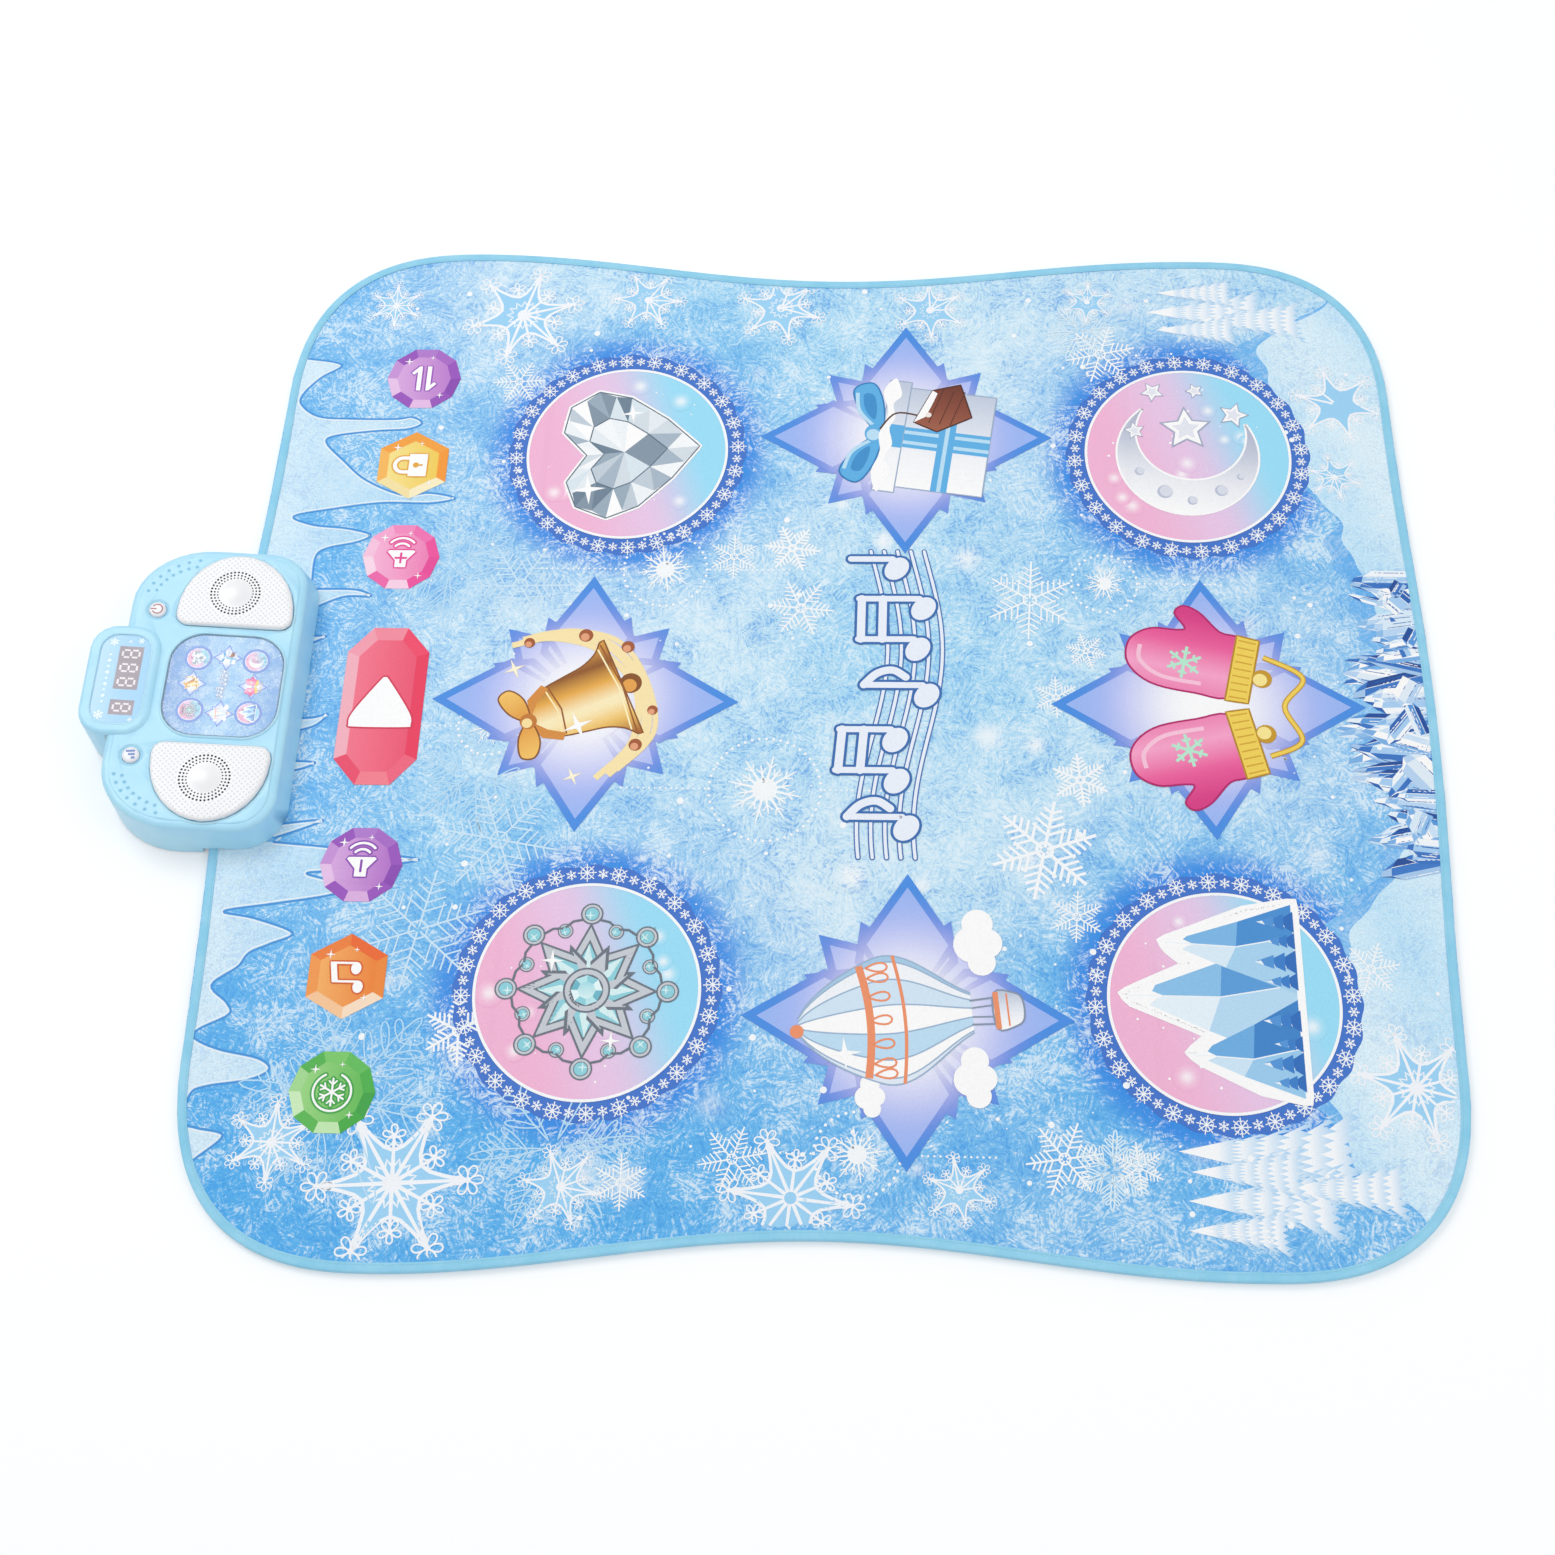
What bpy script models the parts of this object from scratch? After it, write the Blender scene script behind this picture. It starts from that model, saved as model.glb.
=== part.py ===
"""Electronic dance mat: a soft floor mat with fifteen touch zones and a talking control unit at one side.

X runs along the mat, away from the control unit. Y runs across it, and Z is up from the floor.
The origin is on the floor under the mat's middle. All sizes are in metres.
"""

import math

import bmesh
import bpy
from mathutils import Matrix, Vector

# Outline of the mat
MAT_LENGTH = 0.920
UNIT_LOBE_REACH = 0.4335  # from the middle line to the top of each lobe beside the control unit
FAR_LOBE_REACH = UNIT_LOBE_REACH - 0.008
LOBE_X = 0.326 * MAT_LENGTH  # distance of each lobe's top from the mat's middle
WAIST_DIP = 0.025
SIDE_BULGE = 0.008
CORNER_START_Y = 0.623 * UNIT_LOBE_REACH
CORNER_POWER = 2.6  # a superellipse, a little squarer than a circle

# Layers of the mat, from the floor up
AIR_GAP = 0.0003
BACKING_THICKNESS = 0.0006
FILM_THICKNESS = 0.0003
FOAM_THICKNESS = 0.0011
COVER_THICKNESS = 0.0006
BINDING_WIDTH = 0.0072
BINDING_THICKNESS = 0.0005
BINDING_FOLD = 0.0011  # how far the tape's folded edge is rounded

# Touch zones: eight steps for the feet round a free middle, and seven keys in a column
STEP_FIELD_X = 0.0663 * MAT_LENGTH  # the steps' common middle, past the mat's own
CORNER_STEP_X = 0.246 * MAT_LENGTH
CORNER_STEP_Y = 0.531 * UNIT_LOBE_REACH
CORNER_STEP_RADIUS = 0.070
SIDE_STEP_X = 0.2576 * MAT_LENGTH
SIDE_STEP_Y = 0.5675 * UNIT_LOBE_REACH
SIDE_STEP_RADIUS = 0.060
KEY_COLUMN_INSET = 0.120  # from the mat's edge at the control unit
KEY_PITCH = 0.1995 * UNIT_LOBE_REACH
KEY_FIRST_Y = 0.3057 * UNIT_LOBE_REACH
KEY_RADIUS = 0.024
START_KEY_WIDTH = 0.046
START_KEY_LENGTH = 0.108
PAD_TRAVEL = 0.0010
PAD_SIDE_GAP = 0.0010
STEP_SIDES = 16
KEY_SIDES = 12
START_KEY_CORNER = 0.012

# Control unit: its middle column is a little inside the mat's edge
UNIT_INSET = 0.005
UNIT_Y = -0.003
FACE_TILT = math.radians(6.0)
FACE_HEIGHT = 0.0356  # of the sloping face, over the unit's middle
CASE_RIGHT = 0.051
CASE_LEFT = 0.0795
CASE_REACH = 0.1183
CASE_CORNER = 0.030
CASE_SHOULDER_X = 0.058
CASE_SHOULDER_Y = 0.050
CASE_WALL = 0.0024
CASE_DRAFT = 0.0040
CASE_EDGE = 0.0035
CASE_PLAY = 0.0006  # between the two shells
BORDER_WIDTH = 0.0055
BORDER_STEP = 0.0006
SKIRT_CLEARANCE = 0.0008
HOOD_LEFT = 0.103
HOOD_RIGHT = 0.050
HOOD_REACH = 0.0460
HOOD_CORNER = 0.020
HOOD_RISE = 0.0022
HOOD_ROUNDING = 0.0030

# What sits in the control unit's face
FIT = 0.0003
GRILLE_HALF_WIDTH = 0.044
GRILLE_FLAT_Y = 0.0500
GRILLE_ROUND_Y = 0.1125
GRILLE_SHOULDER_Y = 0.0620
GRILLE_CORNER = 0.009
GRILLE_RISE = 0.0035
GRILLE_SKIN = 0.0018
GRILLE_SEAT_DEPTH = 0.0010
GRILLE_GROOVE = 0.0006
GRILLE_ROUNDING = 0.0020
SPEAKER_X = -0.0016
SPEAKER_Y = 0.0787
SOUND_HOLE_RADII = (0.00075, 0.00065, 0.00050)
SOUND_RING_RADII = (0.0184, 0.0158, 0.0134)
SOUND_RING_COUNTS = (40, 36, 32)
DUST_DOME_RADIUS = 0.0115
DUST_DOME_RISE = 0.0018
SPEAKER_RADIUS = 0.020
SPEAKER_DEPTH = 0.0125
MAGNET_RADIUS = 0.011
MAGNET_THICKNESS = 0.005
PANEL_LENGTH = 0.0855
PANEL_WIDTH = 0.086
PANEL_CORNER = 0.025
PANEL_LIP = 0.0022
PANEL_LIP_RISE = 0.0009
LENS_THICKNESS = 0.0015
LENS_LEDGE = 0.003
WINDOW_LEFT = 0.095
WINDOW_RIGHT = 0.0575
WINDOW_REACH = 0.0375
WINDOW_CORNER = 0.013
WINDOW_RECESS = 0.0006
DIGITS_X = -0.072
DIGIT_HEIGHT = 0.0180
THREE_DIGIT_Y = 0.0095
THREE_DIGIT_LENGTH = 0.0365
ONE_DIGIT_Y = -0.0240
ONE_DIGIT_LENGTH = 0.0125
BUTTON_X = -0.059
BUTTON_Y = 0.062
BUTTON_RADIUS = 0.0065
BUTTON_WELL_RADIUS = 0.0088
BUTTON_WELL_DEPTH = 0.0010
BUTTON_RISE = 0.0014
BUTTON_FLANGE = 0.0012
BUTTON_TRAVEL = 0.0006
DIMPLE_RADIUS = 0.0015
DIMPLE_DEPTH = 0.0006

# Circuit board under the face
BOARD_DEPTH = 0.0079
BOARD_THICKNESS = 0.0016
BOARD_ARM_HALF_WIDTH = 0.011
BOARD_MARGIN = 0.0035
POST_RADIUS = 0.0020
LIGHT_WELL_RADIUS = 0.0085
LIGHT_PITCH = 0.0255
LED_RADIUS = 0.0025
LED_HEIGHT = 0.0040
CHIP_BLOB_RADIUS = 0.006
BOARD_PART_HEIGHT = 0.0025
LEAD_RADIUS = 0.0008
TAIL_SOCKET_X = 0.034
TAIL_SOCKET_HALF_WIDTH = 0.002
TAIL_HALF_WIDTH = 0.014

# Bottom shell and battery box
FLOOR_THICKNESS = 0.0020
RIM_HEIGHT = 0.0036
RIM_WIDTH = 0.0024
TONGUE_RIGHT = 0.038
TONGUE_REACH = 0.104
TONGUE_CORNER = 0.012
TONGUE_SHOULDER = 0.003  # from the mat's edge to the shell's own edge
TONGUE_ROOT = 0.030  # how far the tongue runs back into the shell
CLAMP_WIDTH = 0.010
CLAMP_BAR_THICKNESS = 0.003
BAY_X = -0.010
CELL_RADIUS = 0.0071
CELL_LENGTH = 0.0495
CELL_NUB = 0.0010
CELL_PITCH = 0.0152
BAY_END_ROOM = 0.0057
BAY_WALL = 0.0024
BAY_LEDGE = 0.0012
DOOR_THICKNESS = 0.0016
DOOR_FLOOR_GAP = 0.0003
DOOR_PLAY = 0.00035
DOOR_TAB_WIDTH = 0.008
DOOR_EAR_RADIUS = 0.0055
SCREW_INSET = 0.016
SCREW_END_INSET = 0.0295
BOSS_RADIUS = 0.0037
SCREW_RADIUS = 0.0013
SCREW_HEAD_RADIUS = 0.0027
SCREW_HEAD_HEIGHT = 0.0018
SCREW_LENGTH = 0.0105

# Heights in the stack, worked out from the layers
FILM_Z = BACKING_THICKNESS + AIR_GAP
FOAM_Z = FILM_Z + FILM_THICKNESS + AIR_GAP
PAD_Z = FILM_Z + FILM_THICKNESS + AIR_GAP + PAD_TRAVEL
UPPER_FILM_Z = PAD_Z + FOAM_THICKNESS + AIR_GAP
COVER_Z = UPPER_FILM_Z + FILM_THICKNESS + AIR_GAP
MAT_TOP = COVER_Z + COVER_THICKNESS
BINDING_TOP = MAT_TOP + AIR_GAP + BINDING_THICKNESS

UNIT_X = UNIT_INSET - MAT_LENGTH / 2
MAT_EDGE_IN_UNIT = -UNIT_INSET  # where the mat's edge passes under the unit, on the unit's own X
BOARD_BOTTOM = -BOARD_DEPTH - BOARD_THICKNESS
BAY_HALF_WIDTH = 1.5 * CELL_PITCH + FIT
BAY_HALF_LENGTH = CELL_LENGTH / 2 + CELL_NUB / 2 + BAY_END_ROOM
DOOR_TOP = DOOR_FLOOR_GAP + DOOR_THICKNESS
LEDGE_Z = DOOR_TOP + FIT
CELL_Z = LEDGE_Z + FIT + CELL_RADIUS
BAY_ROOF = CELL_Z + CELL_RADIUS + 2 * FIT
DOOR_HALF_WIDTH = BAY_HALF_WIDTH + BAY_LEDGE - DOOR_PLAY
DOOR_HALF_LENGTH = BAY_HALF_LENGTH + BAY_LEDGE - DOOR_PLAY
DOOR_SCREW_X = BAY_X + DOOR_HALF_WIDTH + DOOR_EAR_RADIUS
KEY_COLUMN_X = KEY_COLUMN_INSET - MAT_LENGTH / 2
CASE_SCREWS = ((TONGUE_RIGHT - SCREW_INSET, TONGUE_REACH - SCREW_INSET),
               (SCREW_INSET - CASE_LEFT, CASE_REACH - SCREW_END_INSET))
BOARD_RIGHT = PANEL_WIDTH / 2 + BOARD_MARGIN
BOARD_REACH = PANEL_LENGTH / 2 - BOARD_MARGIN
BOARD_LEFT = 2 * BOARD_MARGIN - HOOD_LEFT
BOARD_DISPLAY_REACH = HOOD_REACH - 3 * BOARD_MARGIN
BOARD_ARM_REACH = BUTTON_Y + BUTTON_WELL_RADIUS
OUTSIDE = 0.2  # longer than anything that is cut
HINGE_X = BAY_X - DOOR_HALF_WIDTH - DOOR_PLAY


# Scene set-up

def clear_scene():
    for old in list(bpy.data.objects):
        bpy.data.objects.remove(old, do_unlink=True)


def new_collection(name):
    collection = bpy.data.collections.new(name)
    bpy.context.scene.collection.children.link(collection)
    return collection


def empty(name, location=(0, 0, 0), parent=None, tilt=0.0):
    holder = bpy.data.objects.new(name, None)
    holder.location = location
    holder.rotation_euler = (0, tilt, 0)
    holder.parent = parent
    holder.empty_display_size = 0.02
    parts.objects.link(holder)
    return holder


def material(name, colour, roughness=0.45, metallic=0.0, alpha=1.0):
    made = bpy.data.materials.new(name)
    made.use_nodes = True
    shader = made.node_tree.nodes["Principled BSDF"]
    shader.inputs["Base Color"].default_value = (*colour, 1.0)
    shader.inputs["Roughness"].default_value = roughness
    shader.inputs["Metallic"].default_value = metallic
    shader.inputs["Alpha"].default_value = alpha
    made.diffuse_color = (*colour, alpha)
    return made


# Outlines, each a ring of (x, y) that runs counter-clockwise

def arc(centre, radius_x, radius_y, start, end, steps):
    points = []
    for step in range(steps + 1):
        turn = math.radians(start + (end - start) * step / steps)
        points.append((centre[0] + radius_x * math.cos(turn), centre[1] + radius_y * math.sin(turn)))
    return points


def ring(radius, sides, centre=(0.0, 0.0), turn=0.0):
    return arc(centre, radius, radius, turn, turn + 360, sides)[:-1]


def rounded_box(left, right, low, high, corner, steps=4):
    corner = max(corner, 0.0002)
    points = arc((right - corner, high - corner), corner, corner, 0, 90, steps)
    points += arc((left + corner, high - corner), corner, corner, 90, 180, steps)
    points += arc((left + corner, low + corner), corner, corner, 180, 270, steps)
    points += arc((right - corner, low + corner), corner, corner, 270, 360, steps)
    return points


def flipped(points):
    return [(x, -y) for x, y in reversed(points)]


def moved(points, dx, dy):
    return [(x + dx, y + dy) for x, y in points]


def lobe_height(x):
    # The edge swells to a lobe over each end and dips to a waist between them
    middle = (UNIT_LOBE_REACH + FAR_LOBE_REACH) / 2
    slope = (FAR_LOBE_REACH - UNIT_LOBE_REACH) / (2 * LOBE_X)
    return middle + slope * x


def mat_edge(inset=0.0):
    waist_steps, corner_steps, side_steps = 10, 7, 6
    points = []
    for quarter in range(4):
        sign_x = 1 if quarter in (0, 3) else -1
        sign_y = 1 if quarter < 2 else -1
        reach_x = MAT_LENGTH / 2 - SIDE_BULGE - LOBE_X
        reach_y = lobe_height(sign_x * LOBE_X) - CORNER_START_Y
        corner = []
        for step in range(corner_steps + 1):
            turn = math.pi / 2 * step / corner_steps
            along = reach_x * math.cos(turn) ** (2 / CORNER_POWER) if step < corner_steps else 0.0
            up = reach_y * math.sin(turn) ** (2 / CORNER_POWER)
            corner.append((sign_x * (LOBE_X + along), sign_y * (CORNER_START_Y + up)))
        if quarter in (1, 3):
            corner.reverse()
        points += corner
        if quarter in (0, 2):
            for step in range(1, waist_steps):
                x = sign_x * LOBE_X * (1 - 2 * step / waist_steps)
                dip = WAIST_DIP * math.cos(math.pi * x / (2 * LOBE_X)) ** 2
                points.append((x, sign_y * (lobe_height(x) - dip)))
        else:
            for step in range(1, side_steps):
                y = sign_y * CORNER_START_Y * (1 - 2 * step / side_steps)
                curve = SIDE_BULGE * math.sin(math.pi * y / (2 * CORNER_START_Y)) ** 2
                points.append((sign_x * (MAT_LENGTH / 2 - curve), y))
    return pulled_in(points, inset)


def pulled_in(points, inset):
    # Moves each point square to the edge through its two neighbours
    moved_in = []
    for index, (x, y) in enumerate(points):
        before = points[index - 1]
        after = points[(index + 1) % len(points)]
        run = Vector((after[0] - before[0], after[1] - before[1])).normalized()
        moved_in.append((x - run.y * inset, y + run.x * inset))
    return moved_in


def case_edge(inset=0.0):
    corner = CASE_CORNER - inset
    radius_x = CASE_SHOULDER_X - inset
    radius_y = CASE_SHOULDER_Y - inset
    near = (CASE_RIGHT - CASE_CORNER, CASE_REACH - CASE_CORNER)
    far = (CASE_SHOULDER_X - CASE_LEFT, CASE_REACH - CASE_SHOULDER_Y)
    upper = arc(near, corner, corner, 0, 90, 6) + arc(far, radius_x, radius_y, 90, 180, 9)
    return upper + flipped(upper)


def hood_edge(inset=0.0):
    return rounded_box(inset - HOOD_LEFT, -HOOD_RIGHT - inset, inset - HOOD_REACH,
                       HOOD_REACH - inset, HOOD_CORNER - inset, 5)


def window_edge(inset=0.0):
    return rounded_box(inset - WINDOW_LEFT, -WINDOW_RIGHT - inset, inset - WINDOW_REACH,
                       WINDOW_REACH - inset, WINDOW_CORNER - inset, 4)


def panel_edge(inset=0.0):
    half_width = PANEL_WIDTH / 2 - inset
    half_length = PANEL_LENGTH / 2 - inset
    return rounded_box(-half_width, half_width, -half_length, half_length, PANEL_CORNER - inset, 6)


def grille_edge(side, inset=0.0):
    # A D whose flat side faces the panel and whose round side follows the end of the case
    half = GRILLE_HALF_WIDTH - inset
    corner = GRILLE_CORNER - inset
    low = GRILLE_FLAT_Y + inset
    points = arc((0, GRILLE_SHOULDER_Y), half, GRILLE_ROUND_Y - GRILLE_SHOULDER_Y - inset, 0, 180, 16)
    points += arc((corner - half, low + corner), corner, corner, 180, 270, 3)
    points += arc((half - corner, low + corner), corner, corner, 270, 360, 3)
    return points if side > 0 else flipped(points)


def board_edge():
    # A board with an arm to each button
    arm_left = BUTTON_X - BOARD_ARM_HALF_WIDTH
    arm_right = BUTTON_X + BOARD_ARM_HALF_WIDTH
    upper = [(BOARD_RIGHT, BOARD_REACH), (arm_right, BOARD_REACH), (arm_right, BOARD_ARM_REACH),
             (arm_left, BOARD_ARM_REACH), (arm_left, BOARD_DISPLAY_REACH), (BOARD_LEFT, BOARD_DISPLAY_REACH)]
    return upper + flipped(upper)


# Solids

def add_prism(mesh, bottom, low, top=None, high=None, rim=0.0, rim_steps=3):
    """Extrudes one outline into another of as many points. low and high are heights, or give one for (x, y)."""
    low_at = low if callable(low) else lambda x, y: low
    high_at = high if callable(high) else lambda x, y: high
    top = top or bottom
    base = mesh.faces.new([mesh.verts.new((x, y, low_at(x, y))) for x, y in bottom])
    lower = list(base.verts)
    lid = bmesh.ops.extrude_face_region(mesh, geom=[base])["geom"]
    corners = [item for item in lid if isinstance(item, bmesh.types.BMVert)]
    pairs = dict(zip(((round(v.co.x, 7), round(v.co.y, 7)) for v in lower), top))
    for vert in corners:
        x, y = pairs[(round(vert.co.x, 7), round(vert.co.y, 7))]
        vert.co = (x, y, high_at(x, y))
    if rim:
        faces = [item for item in lid if isinstance(item, bmesh.types.BMFace)]
        edges = list({edge for face in faces for edge in face.edges})
        bmesh.ops.bevel(mesh, geom=edges, offset=rim, segments=rim_steps, profile=0.5, affect="EDGES",
                        clamp_overlap=True)


def finish_mesh(mesh, name):
    bmesh.ops.recalc_face_normals(mesh, faces=mesh.faces)
    data = bpy.data.meshes.new(name)
    mesh.to_mesh(data)
    mesh.free()
    return data


def place(name, data, look, parent=None, location=(0, 0, 0), rotation=(0, 0, 0), smooth=True):
    made = bpy.data.objects.new(name, data)
    parts.objects.link(made)
    made.parent = parent
    made.location = location
    made.rotation_euler = rotation
    if look:
        data.materials.append(look)
    if smooth and made.type == "MESH":
        data.shade_smooth()
        data.set_sharp_from_angle(angle=math.radians(35))
    return made


def prism(name, look, bottom, low, top=None, high=None, rim=0.0, rim_steps=3, **placing):
    mesh = bmesh.new()
    add_prism(mesh, bottom, low, top, high, rim, rim_steps)
    return place(name, finish_mesh(mesh, name), look, **placing)


def prisms(name, outlines, low, high, **placing):
    mesh = bmesh.new()
    for outline in outlines:
        add_prism(mesh, outline, low, outline, high)
    return place(name, finish_mesh(mesh, name), None, **placing)


def turned(name, look, profile, steps, **placing):
    """Turns (radius, height) points about Z. The list runs down the outer side."""
    data = bpy.data.meshes.new(name)
    closed = profile[0][0] > 0 or profile[-1][0] > 0
    count = len(profile)
    edges = [(i, (i + 1) % count) for i in range(count if closed else count - 1)]
    data.from_pydata([(r, 0, z) for r, z in profile], edges, [])
    made = place(name, data, look, smooth=False, **placing)
    spin = made.modifiers.new("turn", "SCREW")
    spin.steps = steps
    spin.render_steps = steps
    spin.use_merge_vertices = True
    spin.merge_threshold = 0.00001
    spin.use_smooth_shade = True
    return made


def as_cutter(made):
    for holder in list(made.users_collection):
        holder.objects.unlink(made)
    cutters.objects.link(made)
    made.hide_render = True
    made.display_type = "WIRE"
    return made


def cut(target, cutter):
    target.data.shade_flat()
    change = target.modifiers.new("cut_" + cutter.name, "BOOLEAN")
    change.operation = "DIFFERENCE"
    change.solver = "EXACT"
    change.object = as_cutter(cutter)


def join(target, other):
    target.data.shade_flat()
    change = target.modifiers.new("join_" + other.name, "BOOLEAN")
    change.operation = "UNION"
    change.solver = "EXACT"
    change.object = as_cutter(other)


def tube(name, look, points, radius, parent=None, sides=6):
    curve = bpy.data.curves.new(name, "CURVE")
    curve.dimensions = "3D"
    curve.bevel_depth = radius
    curve.bevel_resolution = (sides - 4) // 2
    curve.use_fill_caps = True
    line = curve.splines.new("POLY")
    line.points.add(len(points) - 1)
    for point, place_at in zip(line.points, points):
        point.co = (*place_at, 1.0)
    return place(name, curve, look, parent=parent)


def curve_to_mesh(made):
    bpy.context.view_layer.update()
    graph = bpy.context.evaluated_depsgraph_get()
    data = bpy.data.meshes.new_from_object(made.evaluated_get(graph))
    mesh = bmesh.new()
    mesh.from_mesh(data)
    bmesh.ops.remove_doubles(mesh, verts=mesh.verts, dist=0.000001)
    bmesh.ops.recalc_face_normals(mesh, faces=mesh.faces)
    mesh.to_mesh(data)
    mesh.free()
    name, parent, matrix = made.name, made.parent, made.matrix_world.copy()
    bpy.data.objects.remove(made)
    solid = place(name, data, None, parent=parent)
    solid.matrix_world = matrix
    return solid


# Touch zones

def step_zones():
    """Name, place and radius of the eight steps."""
    zones = []
    for row, side_y in (("top", 1), ("bottom", -1)):
        for column, side_x in (("left", -1), ("right", 1)):
            place_at = (STEP_FIELD_X + side_x * CORNER_STEP_X, side_y * CORNER_STEP_Y)
            zones.append((f"step_pad_{row}_{column}", place_at, CORNER_STEP_RADIUS))
        zones.append((f"step_pad_{row}", (STEP_FIELD_X, side_y * SIDE_STEP_Y), SIDE_STEP_RADIUS))
    for column, side_x in (("left", -1), ("right", 1)):
        zones.append((f"step_pad_{column}", (STEP_FIELD_X + side_x * SIDE_STEP_X, 0.0), SIDE_STEP_RADIUS))
    return zones


def key_zones():
    """Name and place of the six round keys above and below the start key."""
    names = {3: "key_pad_play", 2: "key_pad_lock", 1: "key_pad_volume_up",
             -1: "key_pad_volume_down", -2: "key_pad_game", -3: "key_pad_music"}
    zones = []
    for row, name in names.items():
        y = math.copysign(KEY_FIRST_Y + (abs(row) - 1) * KEY_PITCH, row)
        zones.append((name, (KEY_COLUMN_X, UNIT_Y + y)))
    return zones


def zone_outlines(extra):
    """Every touch zone's outline on the mat, widened by extra."""
    outlines = [ring(radius + extra, STEP_SIDES, centre) for _, centre, radius in step_zones()]
    outlines += [ring(KEY_RADIUS + extra, KEY_SIDES, centre) for _, centre in key_zones()]
    outlines.append(moved(start_key_edge(extra), KEY_COLUMN_X, UNIT_Y))
    return outlines


def start_key_edge(extra=0.0):
    half_width = START_KEY_WIDTH / 2 + extra
    half_length = START_KEY_LENGTH / 2 + extra
    return rounded_box(-half_width, half_width, -half_length, half_length, START_KEY_CORNER + extra, 2)


def make_pads():
    high = FOAM_THICKNESS
    for name, centre, radius in step_zones():
        prism(name, pad_foam, ring(radius, STEP_SIDES), 0.0, high=high, location=(*centre, PAD_Z))
    for name, centre in key_zones():
        prism(name, pad_foam, ring(KEY_RADIUS, KEY_SIDES), 0.0, high=high, location=(*centre, PAD_Z))
    prism("key_pad_start", pad_foam, start_key_edge(), 0.0, high=high,
          location=(KEY_COLUMN_X, UNIT_Y, PAD_Z))


# Mat layers

def tongue_edge(left, inset):
    """The part of the bottom shell that the mat lies round, from left on the unit's own X."""
    return rounded_box(left, TONGUE_RIGHT - inset, inset - TONGUE_REACH, TONGUE_REACH - inset,
                       TONGUE_CORNER - inset, 3)


def unit_notch(name, inset):
    """The space in the mat's edge that the bottom shell's tongue takes."""
    return prism(name, None, tongue_edge(-CASE_LEFT, inset), -0.01, high=0.02, parent=unit)


def make_mat():
    margin = BINDING_THICKNESS + AIR_GAP
    backing = prism("anti_slip_backing", dotted_cloth, mat_edge(BINDING_WIDTH + AIR_GAP), 0.0,
                    high=BACKING_THICKNESS)
    lower = prism("lower_circuit_film", circuit_film, mat_edge(margin), FILM_Z, high=FILM_Z + FILM_THICKNESS)
    foam = prism("spacer_foam", white_foam, mat_edge(margin), FOAM_Z, high=FOAM_Z + FOAM_THICKNESS)
    upper = prism("upper_circuit_film", circuit_film, mat_edge(margin), UPPER_FILM_Z,
                  high=UPPER_FILM_Z + FILM_THICKNESS)
    cover = prism("printed_cover", printed_cloth, mat_edge(margin), COVER_Z, high=MAT_TOP)
    cut(foam, prisms("zone_holes", zone_outlines(PAD_SIDE_GAP), FOAM_Z - 0.01, FOAM_Z + 0.01))
    for layer in (backing, lower, foam):
        cut(layer, unit_notch(layer.name + "_notch", -FIT))
    for layer in (upper, cover):
        cut(layer, unit_notch(layer.name + "_notch", CLAMP_WIDTH))
    make_binding()


def make_binding():
    middle = BINDING_TOP / 2
    binding = prism("edge_binding", binding_tape, mat_edge(), middle, high=BINDING_TOP, rim=BINDING_FOLD,
                    rim_steps=1)
    join(binding, prism("binding_lower_half", None, mat_edge(), middle, high=0.0, rim=BINDING_FOLD, rim_steps=1))
    cut(binding, prism("binding_inside", None, mat_edge(BINDING_WIDTH), -0.01, high=0.02))
    cut(binding, prism("binding_channel", None, mat_edge(BINDING_THICKNESS), BINDING_THICKNESS,
                       high=BINDING_TOP - BINDING_THICKNESS))
    cut(binding, unit_notch("binding_notch", -2 * FIT))


# Case of the control unit

def face_z(x, offset=0.0):
    """Height of the sloping face over the floor, on the unit's own X."""
    return FACE_HEIGHT + offset / math.cos(FACE_TILT) - x * math.tan(FACE_TILT)


def face_block(name, look, edge, offset, rim):
    """A block with drafted walls and a top that follows the sloping face."""
    return prism(name, look, edge(-CASE_DRAFT), SKIRT_CLEARANCE, edge(0.0), lambda x, y: face_z(x, offset), rim,
                 parent=unit)


def dimple_points(side):
    """Two rows of dimples along the outer shoulder of one lobe."""
    points = []
    centre = (CASE_SHOULDER_X - CASE_LEFT, CASE_REACH - CASE_SHOULDER_Y)
    for inset, first, last in ((0.0095, 104, 166), (0.0150, 108, 162)):
        row = arc(centre, CASE_SHOULDER_X - inset, CASE_SHOULDER_Y - inset, first, last, 6)
        points += [(x, side * y) for x, y in row]
    return points


def make_dimples():
    mesh = bmesh.new()
    above = 0.0006
    widest = DIMPLE_RADIUS * (1 + above / DIMPLE_DEPTH)
    for side in (1, -1):
        for x, y in dimple_points(side):
            middle = Matrix.Translation((x, y, (above - DIMPLE_DEPTH) / 2))
            bmesh.ops.create_cone(mesh, cap_ends=True, segments=6, radius1=0.0, radius2=widest,
                                  depth=above + DIMPLE_DEPTH, matrix=middle)
    bmesh.ops.remove_doubles(mesh, verts=mesh.verts, dist=0.000001)
    return place("dimples", finish_mesh(mesh, "dimples"), None, parent=face)


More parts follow.
